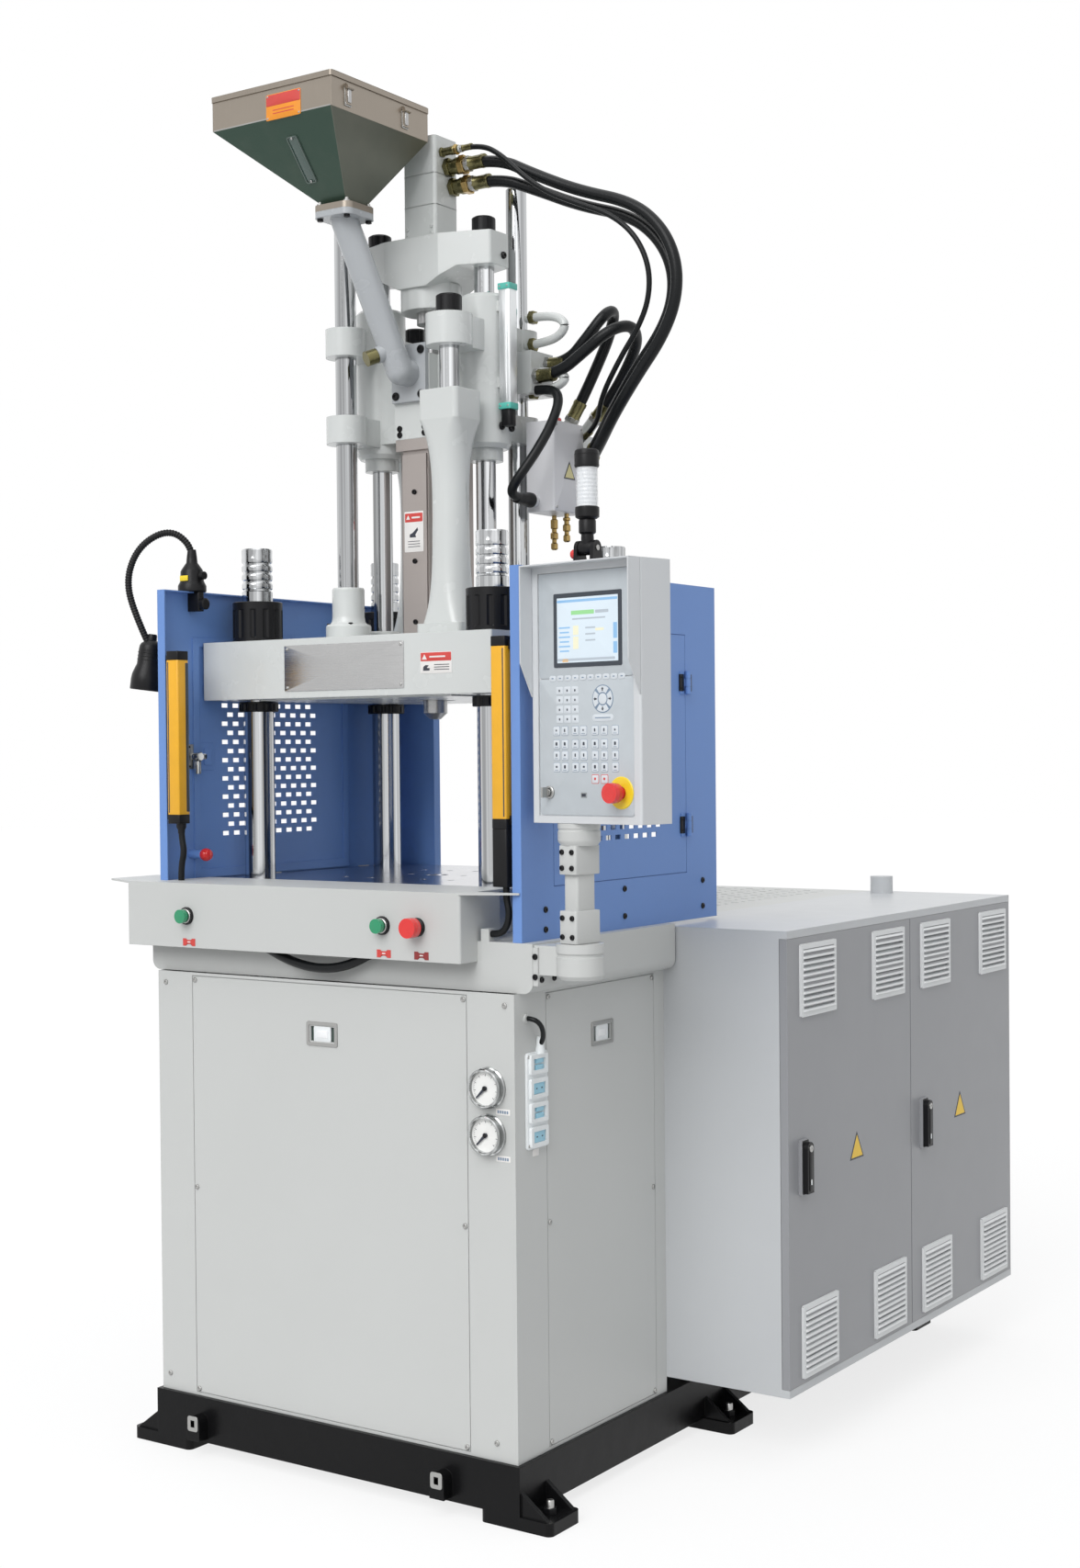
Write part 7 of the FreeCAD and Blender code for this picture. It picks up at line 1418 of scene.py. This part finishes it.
# ---- top of the machine ----------------------------------------------------
class MACHINE_OT_hopper_trim(Operator):
    """Draw latches, rim wire and sight strip of the hopper, and its lid's raised sheets"""
    bl_idname = "machine.hopper_trim"
    bl_label = "Hopper trim"

    def execute(self, context):
        trim = Surface("hopper_latches")
        for y in (-755, -555):
            trim.add(slab(22, 44, 2.2, 2, 0.6), "zinc", (-38, y, 2944), RIGHT)
            trim.add(slab(11, 30, 5.0, 3, 1.4), "machined_steel", (-35.8, y, 2944), RIGHT)
            trim.many(screw_head(2.6, 1.6), [(-35.8, y + d, z) for d in (-7, 7) for z in (2927, 2961)],
                      "zinc", RIGHT)
        edge = np.array([(-376, -808.5, 2914), (-40, -808.5, 2914), (-40, -471.5, 2914),
                         (-376, -471.5, 2914)], float)
        for start, stop in zip(edge, np.roll(edge, -1, 0)):
            trim.skin(tube(np.linspace(start, stop, 3), 1.9, 10), "zinc")
        trim.make("carriage", "stainless")
        sight = Surface("hopper_sight")
        foot, tall, spread, z = 2746.0, 167.0, 138.0, 2834.0
        down = unit((0.0, spread, -tall))
        outward = -unit(np.cross(RIGHT, down))
        centre = np.array([-176.0, -640 - (32 + spread * (z - foot) / tall), z])
        sight.add(tray(30, 112, 3.2, 3, 6), "sight_rim", centre, outward, loop=True)
        sight.add(slab(24, 104, 1.6, 5, 0.4), "smoked", centre, outward)
        sight.many(screw_head(3.0, 2.0), [centre + down * d + outward * 2.6 for d in (-51, 51)], "zinc",
                   outward)
        sight.make("carriage", "stainless")
        lid = Surface("lid_rim")
        lid.add(slab(351, 340, 0.9, 7, 0.4), "hopper_steel", (-210, -640, 2987.4))
        lid.add(slab(300, 290, 1.4, 14, 0.7), "hopper_steel", (-210, -640, 2987.8))
        lid.make("lid", "stainless")
        return {"FINISHED"}


class MACHINE_OT_motor_fittings(Operator):
    """Nuts and ports on the hydraulic motor, and the grey pipes of the carriage"""
    bl_idname = "machine.motor_fittings"
    bl_label = "Motor fittings"

    def execute(self, context):
        ports = Surface("motor_ports")
        for (x, y, z), radius in (((-31, -408, 2867), 15), ((-31, -390, 2826), 15), ((-31, -430, 2897), 8)):
            ports.add(hexagon(radius * 1.45, radius * 0.8), "yellow_zinc", (x + 1, y, z), RIGHT)
            ports.add(lathe([(radius * 1.12, 0), (radius * 1.16, 20), (radius * 1.3, 22),
                             (radius * 1.3, 30), (radius * 1.14, 32), (radius * 1.12, 44)], 28),
                      "yellow_zinc", (x + 8, y, z), RIGHT)
            ports.add(hexagon(radius * 1.5, radius), "brass", (x + 40, y, z), RIGHT)
        ports.make("thrust", "zinc")
        pipes = Surface("bypass_pipes")
        for top, low in ((2524, 2462), (2398, 2352)):
            path = bowed([(112, -300, top), (150, -306, top), (206, -312, top - 8),
                          (232, -316, (top + low) / 2), (206, -312, low + 6), (150, -306, low),
                          (112, -300, low)], 64)
            pipes.skin(tube(path, 10.0, 20), "cast_paint")
            pipes.many(hexagon(16, 14), [(124, -302.0, z) for z in (top, low)], "yellow_zinc", RIGHT)
        pipes.make("carriage", "paint_cast")
        return {"FINISHED"}


class MACHINE_OT_injection_trim(Operator):
    """Position transducer, the junction box's knob and lid, and the brass fittings under it"""
    bl_idname = "machine.injection_trim"
    bl_label = "Injection trim"

    def execute(self, context):
        gauge = Surface("transducer_bar")
        centre, box_middle = (147, -426), -283
        gauge.add(slab(30, 30, 252, 3, 0.5), "anodised", (*centre, 2311))
        gauge.add(slab(14, 248, 1.0, 1, 0.3), "anodised", (centre[0], -441, 2437), FRONT)
        gauge.many(slab(33, 34, 14, 3, 1.2), [(*centre, 2297), (*centre, 2563)], "teal_plastic")
        gauge.add(slab(26, 26, 38, 5, 2), "black_plastic", (*centre, 2260))
        gauge.many(screw_head(2.2, 1.2), [(centre[0] + dx, -443, z) for dx in (-10, 10)
            for z in (2304, 2570)], "zinc", FRONT)
        gauge.make("carriage", "teal_aluminium", ("position_transducer",))
        box = Surface("box_trim")
        box.add(lathe([(10, 0), (10, 3), (15, 4), (16, 7), (15.6, 12), (12, 15), (0.4, 15.6)], 32),
                "red_plastic", (175, box_middle, 2279))
        box.add(slab(118, 200, 1.2, 3, 0.4), "box_paint", (213, box_middle, 2177), RIGHT)
        box.many(screw_head(3.4, 2), [(214, box_middle + dy, z) for dy in (-52, 52) for z in (2084, 2270)],
                 "zinc", RIGHT)
        box.make("carriage", "red_plastic")
        columns = Surface("grease_fittings")
        for x, y, low, high in ((150, -250, 1996, 2075), (196, -268, 2010, 2075)):
            columns.add(lathe([(5, low), (9, low + 3), (9, low + 14), (6, low + 17), (6, low + 24),
                               (10, low + 26), (10, low + 38), (6.5, low + 41), (6.5, low + 48),
                               (9.5, low + 50), (9.5, high - 10), (6, high - 8), (6, high)], 6), "brass",
                        (x, y, 0))
        columns.make("carriage", "zinc")
        return {"FINISHED"}


class MACHINE_OT_base_hardware(Operator):
    """Nuts and studs of the base's feet and the bright plates on its front"""
    bl_idname = "machine.base_hardware"
    bl_label = "Base hardware"

    def execute(self, context):
        base = Surface("foot_bolts")
        for y in (862, -132, -862):
            for x in (-526, 526):
                base.add(hexagon(14, 12), "black_oxide", (x, y, 26))
                base.add(lathe([(8, 0), (8, 24), (6.5, 27), (0.4, 27)], 20), "zinc", (x, y, 26))
        for x in (-355, 308):
            base.add(tray(30, 34, 1.6, 9, 6), "zinc", (x, -946, 74), FRONT, loop=True)
        base.make("machine", "black_steel")
        return {"FINISHED"}


STEPS = [
    MACHINE_OT_stage, MACHINE_OT_finishes, MACHINE_OT_cords, MACHINE_OT_rods, MACHINE_OT_fasteners,
    MACHINE_OT_cover_pulls, MACHINE_OT_guard_hardware, MACHINE_OT_light_curtains,
    MACHINE_OT_operator_panel, MACHINE_OT_apron_controls, MACHINE_OT_gauges, MACHINE_OT_socket_strip,
    MACHINE_OT_signal_lamp, MACHINE_OT_work_lamp, MACHINE_OT_electrical_trim, MACHINE_OT_plates,
    MACHINE_OT_hopper_trim, MACHINE_OT_motor_fittings, MACHINE_OT_injection_trim, MACHINE_OT_base_hardware]


class MACHINE_PT_workshop(Panel):
    """Lists the machine's pieces and what may be changed about them"""
    bl_idname = "MACHINE_PT_workshop"
    bl_label = "Machine"
    bl_space_type = "VIEW_3D"
    bl_region_type = "UI"
    bl_category = "Machine"

    def draw(self, context):
        for group in (context.scene.machine_finishes, context.scene.machine_sizes):
            box = self.layout.box()
            for name in group.bl_rna.properties.keys():
                if name not in ("rna_type", "name"):
                    box.prop(group, name)
        for step in STEPS:
            self.layout.operator(step.bl_idname)


def register():
    """Adds the properties, the operators and the panel."""
    for kind in [MachineFinishes, MachineSizes] + STEPS + [MACHINE_PT_workshop]:
        bpy.utils.register_class(kind)
    bpy.types.Scene.machine_finishes = PointerProperty(type=MachineFinishes)
    bpy.types.Scene.machine_sizes = PointerProperty(type=MachineSizes)


def unregister():
    """Takes away what register added."""
    del bpy.types.Scene.machine_sizes, bpy.types.Scene.machine_finishes
    for kind in reversed([MachineFinishes, MachineSizes] + STEPS + [MACHINE_PT_workshop]):
        bpy.utils.unregister_class(kind)


def main():
    """Makes the stage and every piece in order."""
    register()
    for step in STEPS:
        getattr(bpy.ops.machine, step.bl_idname.split(".")[1])()


if __name__ == "__main__":
    main()
